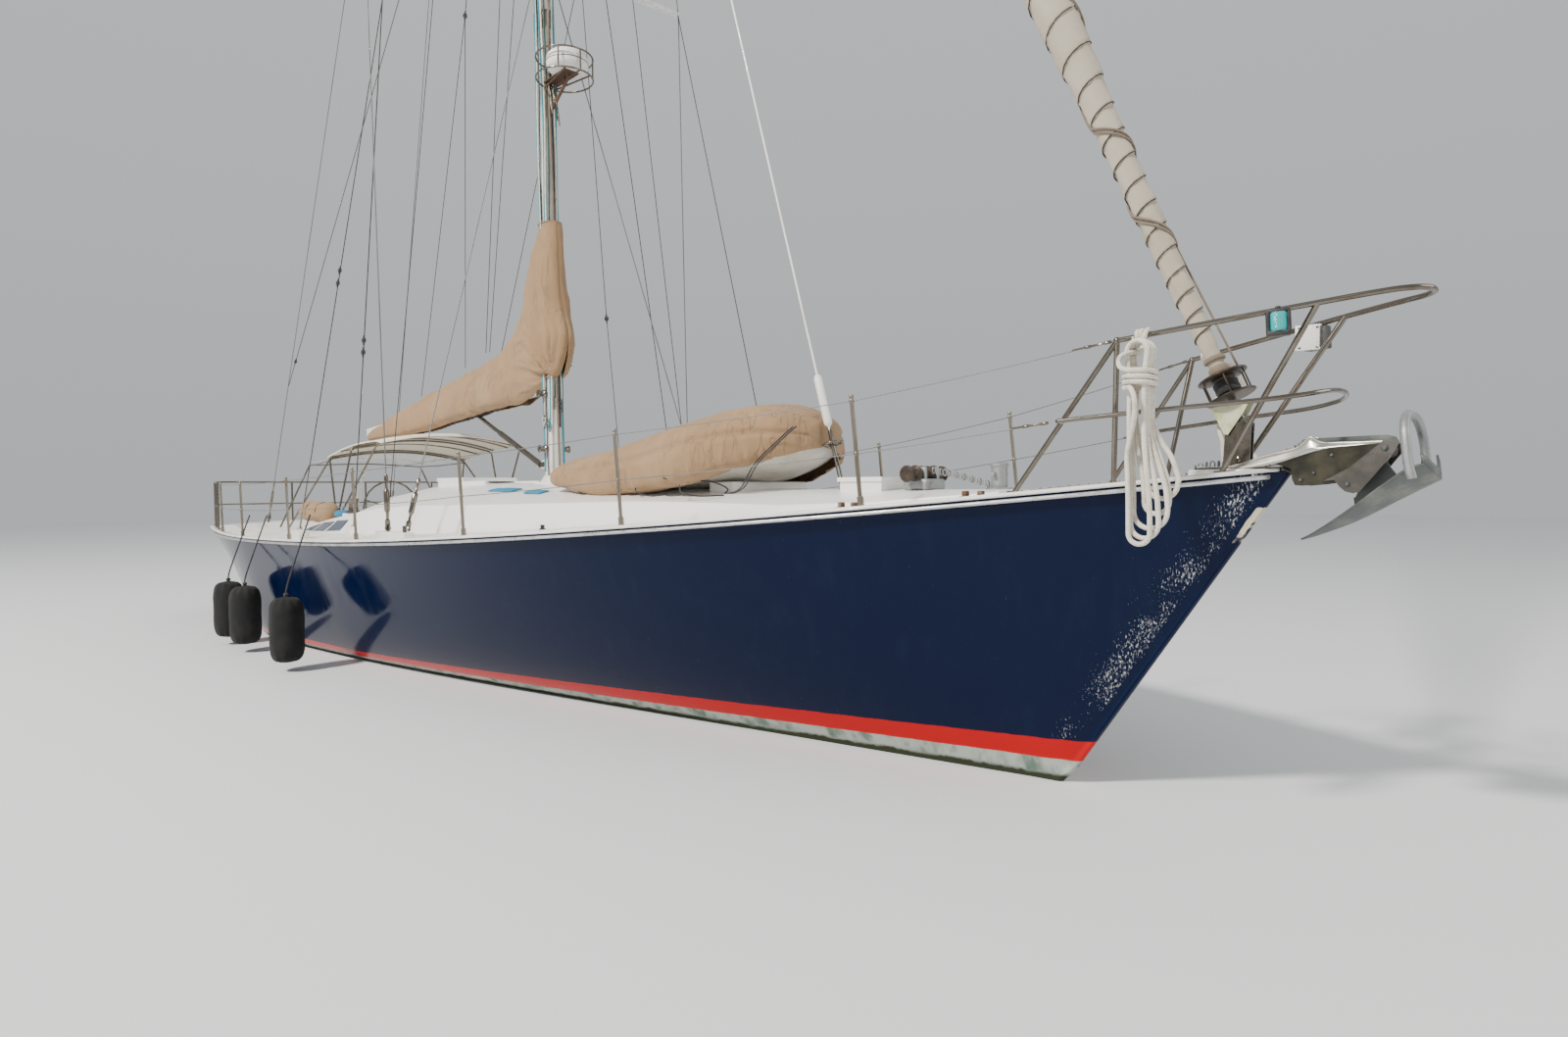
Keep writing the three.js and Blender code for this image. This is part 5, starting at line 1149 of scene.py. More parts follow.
def on_roll(share, angle, out=0.0):
    radius = table_at(ROLL_TABLE, share)[0] + out
    return (TACK + STAY_WAY * STAY_LENGTH * share + STAY_SIDE * radius * math.cos(angle)
            + STAY_OUT * radius * math.sin(angle))


ROLL_ROWS, ROLL_SIDES, SEAM_SLOPE = 760, 48, 0.36
roll_shares = [mix(0.0185, 0.955, (i / ROLL_ROWS) ** 1.9) for i in range(ROLL_ROWS + 1)]
turns = [0.0]
for a, b in zip(roll_shares, roll_shares[1:]):
    radius = table_at(ROLL_TABLE, (a + b) / 2)[0]
    turns.append(turns[-1] + (b - a) * STAY_LENGTH / (math.tau * radius * SEAM_SLOPE))
rings = []
for share, wound in zip(roll_shares, turns):
    far = STAY_LENGTH * share
    grown = clamp01((share - 0.024) * 60)
    ring = []
    for j in range(ROLL_SIDES):
        angle = math.tau * j / ROLL_SIDES
        phase = (wound - angle / (math.tau)) % 1.0
        rumple = 0.005 * noise.noise(Vector((math.cos(angle) * 1.4, math.sin(angle) * 1.4, far * 2.1)))
        pull = 0.0022 * math.sin(5 * angle + far * 19)
        ring.append(on_roll(share, angle, grown * (0.011 * (0.5 - phase) + rumple + pull)))
    rings.append(ring)
roll = lofted("headsail_roll_cloth", rings, sailcloth, "sailcloth", body="headsail_body",
              stands_for=("headsail_roll",))
print("headsail roll:", len(roll.data.polygons), "faces,", round(turns[-1], 1), "turns")

# %% [markdown]
# ## Tube and wire
# Rails, hoops and stays are all one thing: a round section led along a path. A geometry tree does it. It
# turns the edges of a guide mesh into curves, sweeps a circle along them and closes the ends. The guide
# only holds points, so a rail is written as the few places where its tube bends.

# %% A tree that sweeps tube along a path
pipe_tree, given, result = new_tree("tube_along_path", GEOMETRY_TREE, [
    ("Path", MESH, None), ("Radius", NUMBER, 0.015), ("Sides", "NodeSocketInt", 14), ("Finish", FINISH, None),
], [("Mesh", MESH)])
line = add_node(pipe_tree, "GeometryNodeMeshToCurve", i0=given.outputs["Path"])
circle = add_node(pipe_tree, "GeometryNodeCurvePrimitiveCircle", Resolution=given.outputs["Sides"],
                  Radius=given.outputs["Radius"])
swept = add_node(pipe_tree, "GeometryNodeCurveToMesh", [("Fill Caps", True)], i0=line.outputs[0],
                 i1=circle.outputs[0])
soft = add_node(pipe_tree, "GeometryNodeSetShadeSmooth", [("domain", "FACE")], i0=swept.outputs[0])
real = add_node(pipe_tree, "GeometryNodeRealizeInstances", i0=soft.outputs[0])
dressed = add_node(pipe_tree, "GeometryNodeSetMaterial", Geometry=real.outputs[0],
                   Material=given.outputs["Finish"])
pipe_tree.links.new(dressed.outputs[0], result.inputs[0])


# %% Pieces from a tree
def baked(name, guide, tree, slot, body="boat", stands_for=(), **values):
    """Runs a geometry tree on a guide mesh and keeps the plain mesh that comes out."""
    thing = put(name, guide)
    modifier = thing.modifiers.new("tree", "NODES")
    modifier.node_group = tree
    for item in tree.interface.items_tree:
        if item.in_out == "INPUT" and item.name in values:
            modifier[item.identifier] = values[item.name]
    mesh = bpy.data.meshes.new_from_object(thing.evaluated_get(bpy.context.evaluated_depsgraph_get()))
    thing.modifiers.clear()
    thing.data = mesh
    mesh.name = name
    return fasten(thing, body, stands_for)


def guide_mesh(name, paths):
    """A mesh of edges alone, which a tree follows."""
    guide = bpy.data.meshes.new(name + "_guide")
    points, edges = [], []
    for path in paths:
        start = len(points)
        points += [tuple(p) for p in path]
        edges += [(start + k, start + k + 1) for k in range(len(path) - 1)]
    guide.from_pydata(points, edges, [])
    return guide


def tubes(name, paths, radius, finish, slot, sides=14, **kw):
    return baked(name, guide_mesh(name, paths), pipe_tree, slot, Radius=radius, Sides=sides, Finish=finish,
                 **kw)


def mirrored(paths):
    return paths + [[Vector((p[0], -p[1], p[2])) for p in path] for path in paths]


def whole(half):
    """A path on both sides of the middle, from its starboard half that ends in the middle."""
    return half + [(x, -y, z) for x, y, z in half[-2::-1]]


def bent(points, radius=0.06, steps=6):
    """A path of straight runs with rounded corners, as a tube bender makes it."""
    stops = [Vector(p) for p in points]
    path = [stops[0]]
    for before, corner, after in zip(stops, stops[1:], stops[2:]):
        back, on = (before - corner), (after - corner)
        cut_back = min(radius, back.length * 0.45, on.length * 0.45)
        a, b = corner + back.normalized() * cut_back, corner + on.normalized() * cut_back
        path += [a.lerp(corner, t).lerp(corner.lerp(b, t), t) for t in (k / steps for k in range(steps + 1))]
    path.append(stops[-1])
    return path


# %% Solid bits: turned, blocked and plated
def turned_bits(profile, at, way=(0, 0, 1), sides=28):
    """A turned piece: its profile is (radius, height) pairs."""
    way = Vector(way).normalized()
    across = way.orthogonal().normalized()
    third = way.cross(across)
    at = Vector(at)
    vertices = []
    for radius, height in profile:
        for k in range(sides):
            angle = math.tau * k / sides
            out = across * math.cos(angle) + third * math.sin(angle)
            vertices.append(at + way * height + out * max(radius, 1e-5))
    return vertices, [face[::-1] for face in capped_faces(len(profile), sides)]


def block_bits(low, high, bevel=0.0):
    low, high = Vector(low), Vector(high)
    shape = bmesh.new()
    bmesh.ops.create_cube(shape, size=1.0)
    for v in shape.verts:
        v.co = Vector([mix(low[k], high[k], v.co[k] + 0.5) for k in range(3)])
    if bevel:
        bmesh.ops.bevel(shape, geom=shape.edges[:] + shape.verts[:], offset=bevel, segments=3, affect="EDGES",
                        profile=0.5)
    shape.verts.index_update()
    bits = [v.co.copy() for v in shape.verts], [tuple(v.index for v in f.verts) for f in shape.faces]
    shape.free()
    return bits


def plate_bits(outline, origin, u, v, thickness):
    """A flat plate: its outline is in the plane of u and v, and it is as thick on both sides."""
    origin, u, v = Vector(origin), Vector(u), Vector(v)
    normal = u.cross(v).normalized() * thickness / 2
    flat = [origin + u * a + v * b for a, b in outline]
    count = len(flat)
    vertices = [p - normal for p in flat] + [p + normal for p in flat]
    faces = [tuple(range(count))[::-1], tuple(range(count, 2 * count))]
    faces += [(k, (k + 1) % count, count + (k + 1) % count, count + k) for k in range(count)]
    return vertices, faces


def upright_plate(outline, y, thickness):
    """A plate that stands fore and aft: its outline is (x, z) pairs."""
    return plate_bits(outline, (0, y, 0), (1, 0, 0), (0, 0, 1), thickness)


def rod_bits(a, b, radius, sides=16):
    a, b = Vector(a), Vector(b)
    return turned_bits([(radius, 0), (radius, (b - a).length)], a, b - a, sides)


def moved_bits(bits, matrix):
    return [matrix @ Vector(v) for v in bits[0]], bits[1]


# %% One piece from several solid bits
def made_of(name, bits, material, slot, limit=40, **kw):
    """One piece from several solid bits, crisp at edges sharper than the limit."""
    vertices, faces = [], []
    for some_vertices, some_faces in bits:
        start = len(vertices)
        vertices += some_vertices
        faces += [tuple(start + k for k in face) for face in some_faces]
    thing = piece(name, vertices, faces, material, slot, **kw)
    shape = bmesh.new()
    shape.from_mesh(thing.data)
    bmesh.ops.dissolve_degenerate(shape, edges=shape.edges, dist=2e-5)
    bmesh.ops.recalc_face_normals(shape, faces=shape.faces)
    for edge in shape.edges:
        edge.smooth = len(edge.link_faces) == 2 and edge.calc_face_angle(0) < math.radians(limit)
    shape.to_mesh(thing.data)
    shape.free()
    return thing


# %% [markdown]
# ## The bow rail
# A stainless tube frame round the bow: the top rail ends in a tight nose over the anchor, a lighter middle
# rail hangs inside it, and pairs of raked legs carry both. Salt air leaves brown tea staining on it,
# mostly at the welds.

# %% Bow rail
TUBE = 0.015
RAIL_CORNER, RAIL_KNEE, MIDDLE_END = (6.956, -0.536, 2.690), (7.851, -0.260, 2.799), (6.684, -0.680, 2.262)
BALL = [(0, -0.02), (0.012, -0.0165), (0.0185, -0.008), (0.02, 0), (0.0185, 0.008), (0.012, 0.0165),
        (0, 0.02)]


def deck_foot(x, side=1, inset=0.06, up=-0.005):
    return Vector((x, side * (deck_half(x) - inset), sheer(x) + up))


top_rail = smooth_run(whole([RAIL_CORNER, (7.40, -0.40, 2.745), RAIL_KNEE, (8.11, -0.182, 2.827),
                             (8.215, -0.135, 2.834), (8.268, -0.065, 2.837), (8.278, 0, 2.837)]), 10)
middle_rail = smooth_run(whole([MIDDLE_END, (7.20, -0.53, 2.30), (7.611, -0.40, 2.325), (7.80, -0.30, 2.348),
                                (7.872, -0.20, 2.366), (7.896, -0.09, 2.377), (7.90, 0, 2.38)]), 10)
legs = [[RAIL_CORNER, deck_foot(6.34, -1)], [RAIL_CORNER, deck_foot(6.86, -1)],
        [RAIL_KNEE, deck_foot(7.34, -1)]]
tubes("bow_rail_tubes", [top_rail, *mirrored(legs)], TUBE, *STEEL, sides=16, stands_for=("pulpit",))
tubes("bow_rail_middle", [middle_rail, *mirrored([[MIDDLE_END, (6.660, -0.576, 2.262)]])], TUBE * 0.85,
      *STEEL)
knuckles = []
for side in (-1, 1):
    corner = (RAIL_CORNER[0], -side * RAIL_CORNER[1], RAIL_CORNER[2])
    knuckles.append(turned_bits(BALL, corner, (1, 0, 0), 20))
    for x in (6.34, 6.86, 7.34):
        knuckles.append(turned_bits([(0.040, 0), (0.040, 0.006), (0.024, 0.010), (0.020, 0.032),
                                     (0.016, 0.034)],
                                    deck_foot(x, side, up=0.006)))
made_of("bow_rail_flanges", knuckles, *STEEL)

# %% [markdown]
# ## Guardrails
# Stanchions rake a little aft and carry two wires a side. Each has a socket on the deck and an eye at half
# height. The wires are seven-strand rope, tight enough to look straight between the posts.

# %% Posts, fittings and sagging wires
STANCHIONS = (5.488, 3.693, 1.915, -0.017, -2.033, -4.050, -5.700)
RAIL_HEIGHT, RAKE, WIRE_SAG, PUSHPIT_X = 0.72, -0.08, 0.018, -6.35
SOCKET = [(0.044, 0.004), (0.044, 0.010), (0.028, 0.014), (0.021, 0.022), (0.021, 0.088), (0.0135, 0.092)]
CAP = [(0.0128, -0.004), (0.0155, 0.0), (0.0155, 0.010), (0.011, 0.017), (0, 0.019)]
EYE_BAND = [(0.0142, -0.012), (0.0165, -0.008), (0.0165, 0.008), (0.0142, 0.012)]
WIRE_SCREW = [(0.006, 0.0), (0.010, 0.01), (0.010, 0.035), (0.0065, 0.045), (0.0065, 0.11), (0.0095, 0.115),
              (0.0095, 0.145), (0.006, 0.15), (0.006, 0.21), (0.0035, 0.215)]


def on_stanchion(x, side, share):
    foot = deck_foot(x, side, up=0.0)
    return foot + Vector((RAKE * share, 0, RAIL_HEIGHT * share))


def hung(stops):
    """A wire that sags a little between its stops."""
    path = [stops[0]]
    for a, b in zip(stops, stops[1:]):
        for t in (k / 6 for k in range(1, 7)):
            path.append(a.lerp(b, t) - Vector((0, 0, WIRE_SAG * (b - a).length * t * (1 - t))))
    return path


# %% Stanchions and their wires
for name, side in SIDES:
    posts = [[deck_foot(x, side, up=-0.01), on_stanchion(x, side, 1.0)] for x in STANCHIONS]
    tubes(f"stanchions_{name}", posts, 0.0135, *POSTS, stands_for=(f"guardrail_{name}",))
    bits = []
    for x in STANCHIONS:
        foot, top, eye = (on_stanchion(x, side, s) for s in (0.0, 1.0, 0.5))
        way = top - foot
        bits += [turned_bits(SOCKET, foot, way, 20), turned_bits(CAP, top, way, 18),
                 turned_bits(EYE_BAND, eye, way, 18),
                 turned_bits(EYE_BAND, top - way.normalized() * 0.024, way, 18)]
    made_of(f"stanchion_fittings_{name}", bits, *POSTS)
    stern = deck_foot(PUSHPIT_X, side, up=0.0)
    wires, screws = [], []
    for share, top, start in ((1.0, 0.966, (6.930, side * 0.542, 2.688)),
                              (0.5, 0.5, (6.634, side * 0.690, 2.255))):
        stops = [Vector(start)] + [on_stanchion(x, side, top) for x in STANCHIONS]
        stops.append(stern + Vector((0.016, 0, RAIL_HEIGHT * share)))
        wires.append(hung(stops))
        for a, b in ((stops[0], stops[1]), (stops[-1], stops[-2])):
            screws.append(turned_bits(WIRE_SCREW, a, (b - a).normalized(), 14))
    tubes(f"guard_wires_{name}", wires, 0.0032, wire_steel, "stainless_steel", sides=8)
    made_of(f"guard_wire_screws_{name}", screws, *STEEL)

# %% Stern rail
CORNER_X, STERN_X = (PUSHPIT_X, -6.9, -7.33), -7.44


def stern_ring(up):
    port = [deck_foot(x, up=up) for x in CORNER_X]
    port += [Vector((STERN_X, y, sheer(STERN_X) + up)) for y in (1.5, 0)]
    return bent(port + [Vector((p.x, -p.y, p.z)) for p in port[-2::-1]], 0.10)


stern_posts = [[deck_foot(x, side, up=up) for up in (-0.02, RAIL_HEIGHT)] for x in CORNER_X
               for side in (-1, 1)]
stern_posts += [[Vector((STERN_X, y, sheer(STERN_X) + up)) for up in (-0.02, RAIL_HEIGHT)]
                for y in (-0.6, 0.6)]
tubes("stern_rail_tubes", [stern_ring(RAIL_HEIGHT), *stern_posts], TUBE, *STEEL, stands_for=("pushpit",))
tubes("stern_rail_middle", [stern_ring(RAIL_HEIGHT / 2)], TUBE * 0.8, *STEEL)
made_of("stern_rail_flanges", [
    turned_bits([(0.042, 0), (0.042, 0.006), (0.024, 0.010), (0.020, 0.030), (0.016, 0.032)],
                post[0] + Vector((0, 0, 0.024))) for post in stern_posts
], *STEEL)

# %% [markdown]
# ## Standing rigging
# The mast is held by wire: cap shrouds over the spreader tips, lower shrouds, two backstays and an inner
# forestay. Each ends in a swaged terminal and a bottle screw that sets its tension, pinned to a plate on
# the hull's side.

# %% Bottle screws and forks
MAST_X, MAST_RAKE = 0.130, 0.0186
WIRE = (0.006, wire_steel, "stainless_steel")
PLATES_X, PLATE_Y, PIN_Z, CHEEK_GAP = (0.200, 0.610), 1.890, 1.43, 0.018


def mast_x(z):
    return MAST_X - (z - 1.985) * MAST_RAKE


def bottle_screw(foot, way, length, thick):
    """Terminal, threaded rods and barrel from a pin at the foot, along a stay."""
    terminal = [(0.010, 0.0), (0.016, 0.012), (0.016, 0.05), (0.009, 0.058)]
    barrel = [(0.009, 0.24), (0.013, 0.26), (0.0175, 0.29), (0.0175, 0.66), (0.013, 0.69), (0.0085, 0.71),
              (0.0085, 0.86), (0.012, 0.87), (0.012, 0.97), (0.0065, 1.0)]
    profile = [(radius * thick, height) for radius, height in terminal]
    profile += [(radius * thick, length * share) for radius, share in barrel]
    return turned_bits(profile, foot, way, 18)


def fork(at, way):
    """Two cheeks and a pin athwart that join a screw to its plate."""
    way, across = Vector(way).normalized(), Vector((0, 1, 0))
    third = way.cross(across).normalized()
    outline = [(-0.016, -0.02), (0.016, -0.02), (0.016, 0.05), (-0.016, 0.05)]
    bits = [plate_bits(outline, at + across * s * CHEEK_GAP, third, way, 0.005) for s in (-1, 1)]
    bits.append(rod_bits(at - across * (CHEEK_GAP + 0.012), at + across * (CHEEK_GAP + 0.012), 0.0065))
    bits.append(turned_bits([(0.012, 0), (0.012, 0.004), (0.006, 0.006)], at + across * (CHEEK_GAP + 0.003),
                            across, 14))
    return bits


# %% Shrouds and backstays
for name, side in SIDES:
    tips = [Vector((mast_x(at), side * (half + 0.0078), at + rise)) for at, half, rise in
            ((7.870, 1.925, 0.085), (13.500, 1.250, 0.060))]
    cap_foot, lower_foot = (Vector((x, side * PLATE_Y, PIN_Z)) for x in PLATES_X)
    head = Vector((mast_x(19.49), side * 0.074, 19.49))
    way = (tips[0] - cap_foot).normalized()
    tubes(f"cap_shroud_wire_{name}", [[cap_foot + way * 0.62, *tips, head]], *WIRE, sides=12,
          stands_for=(f"cap_shroud_{name}",))
    bits = [bottle_screw(cap_foot + way * 0.13, way, 0.50, 1.55)] + fork(cap_foot + way * 0.10, way)
    for tip in tips:
        bits.append(rod_bits(tip - way * 0.06, tip + (head - tip).normalized() * 0.05, 0.0085))
    for x in PLATES_X:
        bits.append(block_bits((x - 0.034, side * PLATE_Y - 0.009, 1.36),
                               (x + 0.034, side * PLATE_Y + 0.009, 1.562), 0.004))
    made_of(f"cap_shroud_fittings_{name}", bits, *STEEL)
    lower_head = Vector((mast_x(7.71) + 0.040, side * 0.096, 7.71))
    way = (lower_head - lower_foot).normalized()
    tubes(f"lower_shroud_wire_{name}", [[lower_foot + way * 0.60, lower_head]], *WIRE, sides=12,
          stands_for=(f"lower_shroud_{name}",))
    made_of(f"lower_shroud_fittings_{name}", [
        bottle_screw(lower_foot + way * 0.13, way, 0.48, 1.5), *fork(lower_foot + way * 0.10, way),
        rod_bits(lower_head - way * 0.22, lower_head - way * 0.02, 0.010),
    ], *STEEL)
    stay_foot = Vector((-7.350, side * 1.000, 1.340))
    stay_head = Vector((mast_x(19.64) - 0.200, side * 0.022, 19.620))
    way = (stay_head - stay_foot).normalized()
    tubes(f"backstay_wire_{name}", [[stay_foot + way * 0.75, stay_head]], *WIRE, sides=12,
          stands_for=(f"backstay_{name}",))
    made_of(f"backstay_fittings_{name}", [
        bottle_screw(stay_foot + way * 0.16, way, 0.62, 1.1),
        rod_bits(stay_foot, stay_foot + way * 0.16, 0.016),
        *fork(stay_foot + way * 0.13, way),
    ], *STEEL)

# %% Inner forestay with its lever wheel and sleeve
INNER_FOOT, INNER_HEAD = Vector((4.526, 0, 1.790)), Vector((mast_x(17.265) + 0.060, 0, 17.265))
inner_way = (INNER_HEAD - INNER_FOOT).normalized()


def on_inner(z):
    return INNER_FOOT.lerp(INNER_HEAD, (z - INNER_FOOT.z) / (INNER_HEAD.z - INNER_FOOT.z))


tubes("inner_stay_wire", [[on_inner(2.30), INNER_HEAD]], 0.009, white_gel, "stainless_steel", sides=12,
      stands_for=("inner_forestay",))
made_of("inner_stay_sleeve", [turned_bits([(0.006, -0.02), (0.030, 0.0), (0.034, 0.02), (0.034, 0.39),
                                           (0.028, 0.41), (0.007, 0.43)], on_inner(2.405), inner_way, 24)],
        *WHITE)
across = inner_way.orthogonal().normalized()
third = inner_way.cross(across)
hub, athwart = on_inner(2.25), Vector((0, 1, 0))
bits = [rod_bits(on_inner(1.885) + athwart * y, on_inner(2.235) + athwart * y, 0.008)
        for y in (-0.018, 0.018)]
bits += [rod_bits(on_inner(z) - athwart * 0.034, on_inner(z) + athwart * 0.034, 0.014)
         for z in (1.885, 2.235)]
bits.append(turned_bits([(0.016, -0.10), (0.018, -0.02), (0.018, 0.10), (0.010, 0.13)], hub, inner_way, 18))
for angle in (math.pi * k / 2 for k in range(4)):
    out = across * math.cos(angle) + third * math.sin(angle)
    bits.append(rod_bits(hub, hub + out * 0.076, 0.006, sides=10))
bits.append(block_bits((4.482, -0.055, 1.76), (4.578, 0.055, 1.800), 0.006))
bits += [plate_bits([(-0.03, 0), (0.03, 0), (0.022, 0.10), (-0.022, 0.10)], (4.526, y, 1.795), (1, 0, 0),
                    (0, 0, 1), 0.008)
         for y in (-0.026, 0.026)]
made_of("inner_stay_lever", bits, *STEEL)
wheel_rim = [hub + (across * math.cos(math.tau * k / 32) + third * math.sin(math.tau * k / 32)) * 0.078
             for k in range(33)]
tubes("inner_stay_wheel", [wheel_rim], 0.0075, *STEEL, sides=10)

# %% [markdown]
# ## The radar on the mast
# A white radome stands on a bracket and wears two guard rings, so that the headsail can't catch it when it
# passes. The plastic shell has a seam at its widest part, and the bracket's arms have gone brown.

# %% Radome and guard rings
RADAR = Vector((0.520, 0, 6.550))
RING_X, RING_LONG, RING_WIDE, RING_LOW, RING_HIGH = 0.460, 0.320, 0.300, 6.390, 6.610


def on_ring(angle, z):
    return Vector((RING_X + RING_LONG * math.cos(angle), RING_WIDE * math.sin(angle), z))


made_of("radome_shell", [turned_bits([
    (0.150, -0.1115), (0.172, -0.108), (0.205, -0.085), (0.220, -0.062), (0.225, -0.040), (0.2255, -0.012),
    (0.2255, 0.016), (0.222, 0.036), (0.212, 0.060), (0.192, 0.083), (0.160, 0.101), (0.110, 0.114),
    (0.055, 0.1195), (0.0, 0.120),
], RADAR, sides=64)], *WHITE, limit=60, stands_for=("radome",))
made_of("radome_seam", [turned_bits([(0.2250, -0.020), (0.2268, -0.019), (0.2268, -0.011), (0.2250, -0.010)],
                                    RADAR, sides=64)], *PLASTIC)
rings = [[on_ring(math.tau * k / 48, z) for k in range(49)] for z in (RING_HIGH, RING_LOW)]
posts = [[on_ring(math.pi * k / 4, z) for z in (RING_HIGH, RING_LOW)] for k in (0, 1, 7)]
tubes("radar_rings", rings + posts, 0.0095, mirror_plate, "stainless_steel", stands_for=("radar_bracket",))

# %% Bracket of the radar
mast_front = mast_x(6.55) + 0.135
bits = [
    rod_bits((mast_front - 0.02, 0, 6.130), (0.560, 0, 6.405), 0.018),
    block_bits((mast_front - 0.02, -0.09, 6.426), (0.610, 0.09, 6.438), 0.003),
    rod_bits((0.460, 0, 6.39), (0.460, 0, 6.432), 0.012),
    block_bits((mast_front - 0.012, -0.07, 6.05), (mast_front + 0.004, 0.07, 6.50), 0.003),
]
bits += [rod_bits((mast_front, s * 0.060, RING_LOW), (0.735, s * 0.150, RING_LOW), 0.009) for s in (-1, 1)]
bits.append(rod_bits((mast_front, 0, RING_LOW), (0.775, 0, RING_LOW), 0.009))
brown_bracket = finish("brown_bracket", (0.10, 0.065, 0.045), (0.22, 0.10, 0.045), 0.6, 0.5,
                       patches=(14.0, 0.7))
made_of("radar_bracket_arms", bits, brown_bracket, "stainless_steel")

# %% Awning frame
HOOP_FOOT_X, HOOP_FOOT_Y, HOOP_INSET, DROP = -3.45, 1.18, 0.985, 0.0361
AFT_CORNER = (-5.65, -0.85, 2.294)
hoops = []
for x, edge, half, crown_up in AWNING[1:4]:
    bow = [(x, f * half * HOOP_INSET, edge - DROP + crown_up * (1 - f * f)) for f in
           (-1, -0.92, -0.8, -0.6, -0.4, -0.2, 0, 0.2, 0.4, 0.6, 0.8, 0.92, 1)]
    hoops.append(bent([(HOOP_FOOT_X, -HOOP_FOOT_Y, 1.5), *bow, (HOOP_FOOT_X, HOOP_FOOT_Y, 1.5)], 0.07))
x, edge, half, _ = AWNING[3]
hoops += mirrored([[(x, -half * HOOP_INSET, edge - DROP), (-5.25, -1.3, 1.3)]])
hoops += mirrored([[AFT_CORNER, (-5.65, -1.3, 1.3)]])
tubes("awning_hoops", hoops, 0.0125, *STEEL, stands_for=("awning_frame",))
tubes("awning_aft_tubes", [bent(whole([AFT_CORNER, (-5.65, 0, 2.334)]), 0.3),
                           *mirrored([[(-4.3, -0.98, 2.33), (-5.0, -0.915, 2.30), AFT_CORNER]])], 0.010,
      *STEEL)
made_of("awning_pivots", [
    turned_bits([(0.022, -0.012), (0.022, 0.02), (0.016, 0.026)], (HOOP_FOOT_X, s * HOOP_FOOT_Y, 1.497),
                sides=18)
    for s in (-1, 1)
], *STEEL)

# %% [markdown]
# ## The drum, its line and the sheets wound round the roll
# The foot of the roll turns on a drum. Hauling the line that is wound on the drum furls the sail, and the
# sail's own sheets take a few turns the other way round to hold it shut. The shadow under the leech's step
# climbs between the turns; it is painted as one long thin dark tube that follows the step in the cloth.

# %% Painted shadow of the leech's step, and sheets on the roll
def along_roll(stops, out, step=10):
    """A path on the roll through (degrees, share) stops, from the top down."""
    path = []
    for (a, s), (b, t) in zip(stops, stops[1:]):
        count = max(int(abs(b - a) / step), 1)
        path += [on_roll(mix(s, t, k / count), math.radians(mix(a, b, k / count)), out) for k in range(count)]
    path.append(on_roll(stops[-1][1], math.radians(stops[-1][0]), out))
    return path


dense = []
for k in range(len(roll_shares) - 1):
    if roll_shares[k] > 0.029:
        pieces = max(int((turns[k + 1] - turns[k]) * 26), 1)
        for t in (n / pieces for n in range(pieces)):
            dense.append(on_roll(mix(roll_shares[k], roll_shares[k + 1], t),
                                 math.tau * mix(turns[k], turns[k + 1], t), 0.0035))
# A thin dark tube along the step of the leech: painted shadow under the overlapping cloth.
painted_step_shadow = finish("painted_step_shadow", (0.050, 0.038, 0.026), (0.14, 0.11, 0.08), 0.9, patches=(3.0, 0.8))
tubes("headsail_seam", [dense], 0.0042, painted_step_shadow, "sailcloth", sides=6, body="headsail_body")
SHEET_STOPS = [(-1307, 0.262), (-947, 0.238), (-587, 0.204), (-227, 0.166), (-47, 0.1445), (133, 0.107),
               (313, 0.0955), (493, 0.0735), (673, 0.0605)]
DRUM_LOW, DRUM_HIGH, DRUM_RADIUS = 0.0105 * STAY_LENGTH, 0.0180 * STAY_LENGTH, 0.132
for number, offset in enumerate((0.0, 0.0016)):
    stops = [(a, s + offset) for a, s in SHEET_STOPS]
    path = along_roll(stops, 0.0085)
    if number == 0:
        edge = TACK + STAY_WAY * (DRUM_HIGH + 0.012) + STAY_SIDE * 0.085 - STAY_OUT * 0.075
        path += [path[-1].lerp(edge, t) for t in (0.25, 0.5, 0.75, 1.0)]
    rope(f"headsail_sheet_{'ab'[number]}", smooth_run(path, 2), 0.0068, tan_rope, "rope", sides=8,
         body="headsail_body")

# %% Drum and foot ring
def on_stay(height, y=0.0, out=0.0):
    return TACK + STAY_WAY * height + STAY_SIDE * y + STAY_OUT * out


drum_brown = finish("drum_brown", (0.035, 0.026, 0.020), (0.16, 0.10, 0.06), 0.38, 0.3, patches=(9.0, 0.7))
low, high, r = DRUM_LOW, DRUM_HIGH, DRUM_RADIUS
flanges = turned_bits([(0.0, low), (r - 0.004, low), (r, low + 0.003), (r, low + 0.009),
                       (r - 0.006, low + 0.013), (0.070, low + 0.022), (0.058, low + 0.032),
                       (0.056, high - 0.040), (0.066, high - 0.026), (r - 0.006, high - 0.018),
                       (r, high - 0.014), (r, high - 0.007), (r - 0.004, high - 0.003), (0.050, high - 0.002),
                       (0.044, high + 0.010), (0.0, high + 0.010)], TACK, STAY_WAY, 56)
rods = [rod_bits(on_stay(low + 0.01, (r - 0.012) * math.cos(a), (r - 0.012) * math.sin(a)),
                 on_stay(high - 0.01, (r - 0.012) * math.cos(a), (r - 0.012) * math.sin(a)), 0.0045, sides=10)
        for a in (math.radians(d) for d in (20, 80, 140, 200, 260, 320))]
made_of("furler_drum_body", [flanges, *rods], drum_brown, "black_plastic", limit=30, body="headsail_body",
        stands_for=("furler_drum",))
spool = [on_stay(mix(low + 0.036, high - 0.046, k / 260), 0.0625 * math.cos(k * 0.52),
                 0.0625 * math.sin(k * 0.52))
         for k in range(261)]
rope("furler_line_on_drum", spool, 0.0046, *DARK_LINE, sides=8, body="headsail_body")
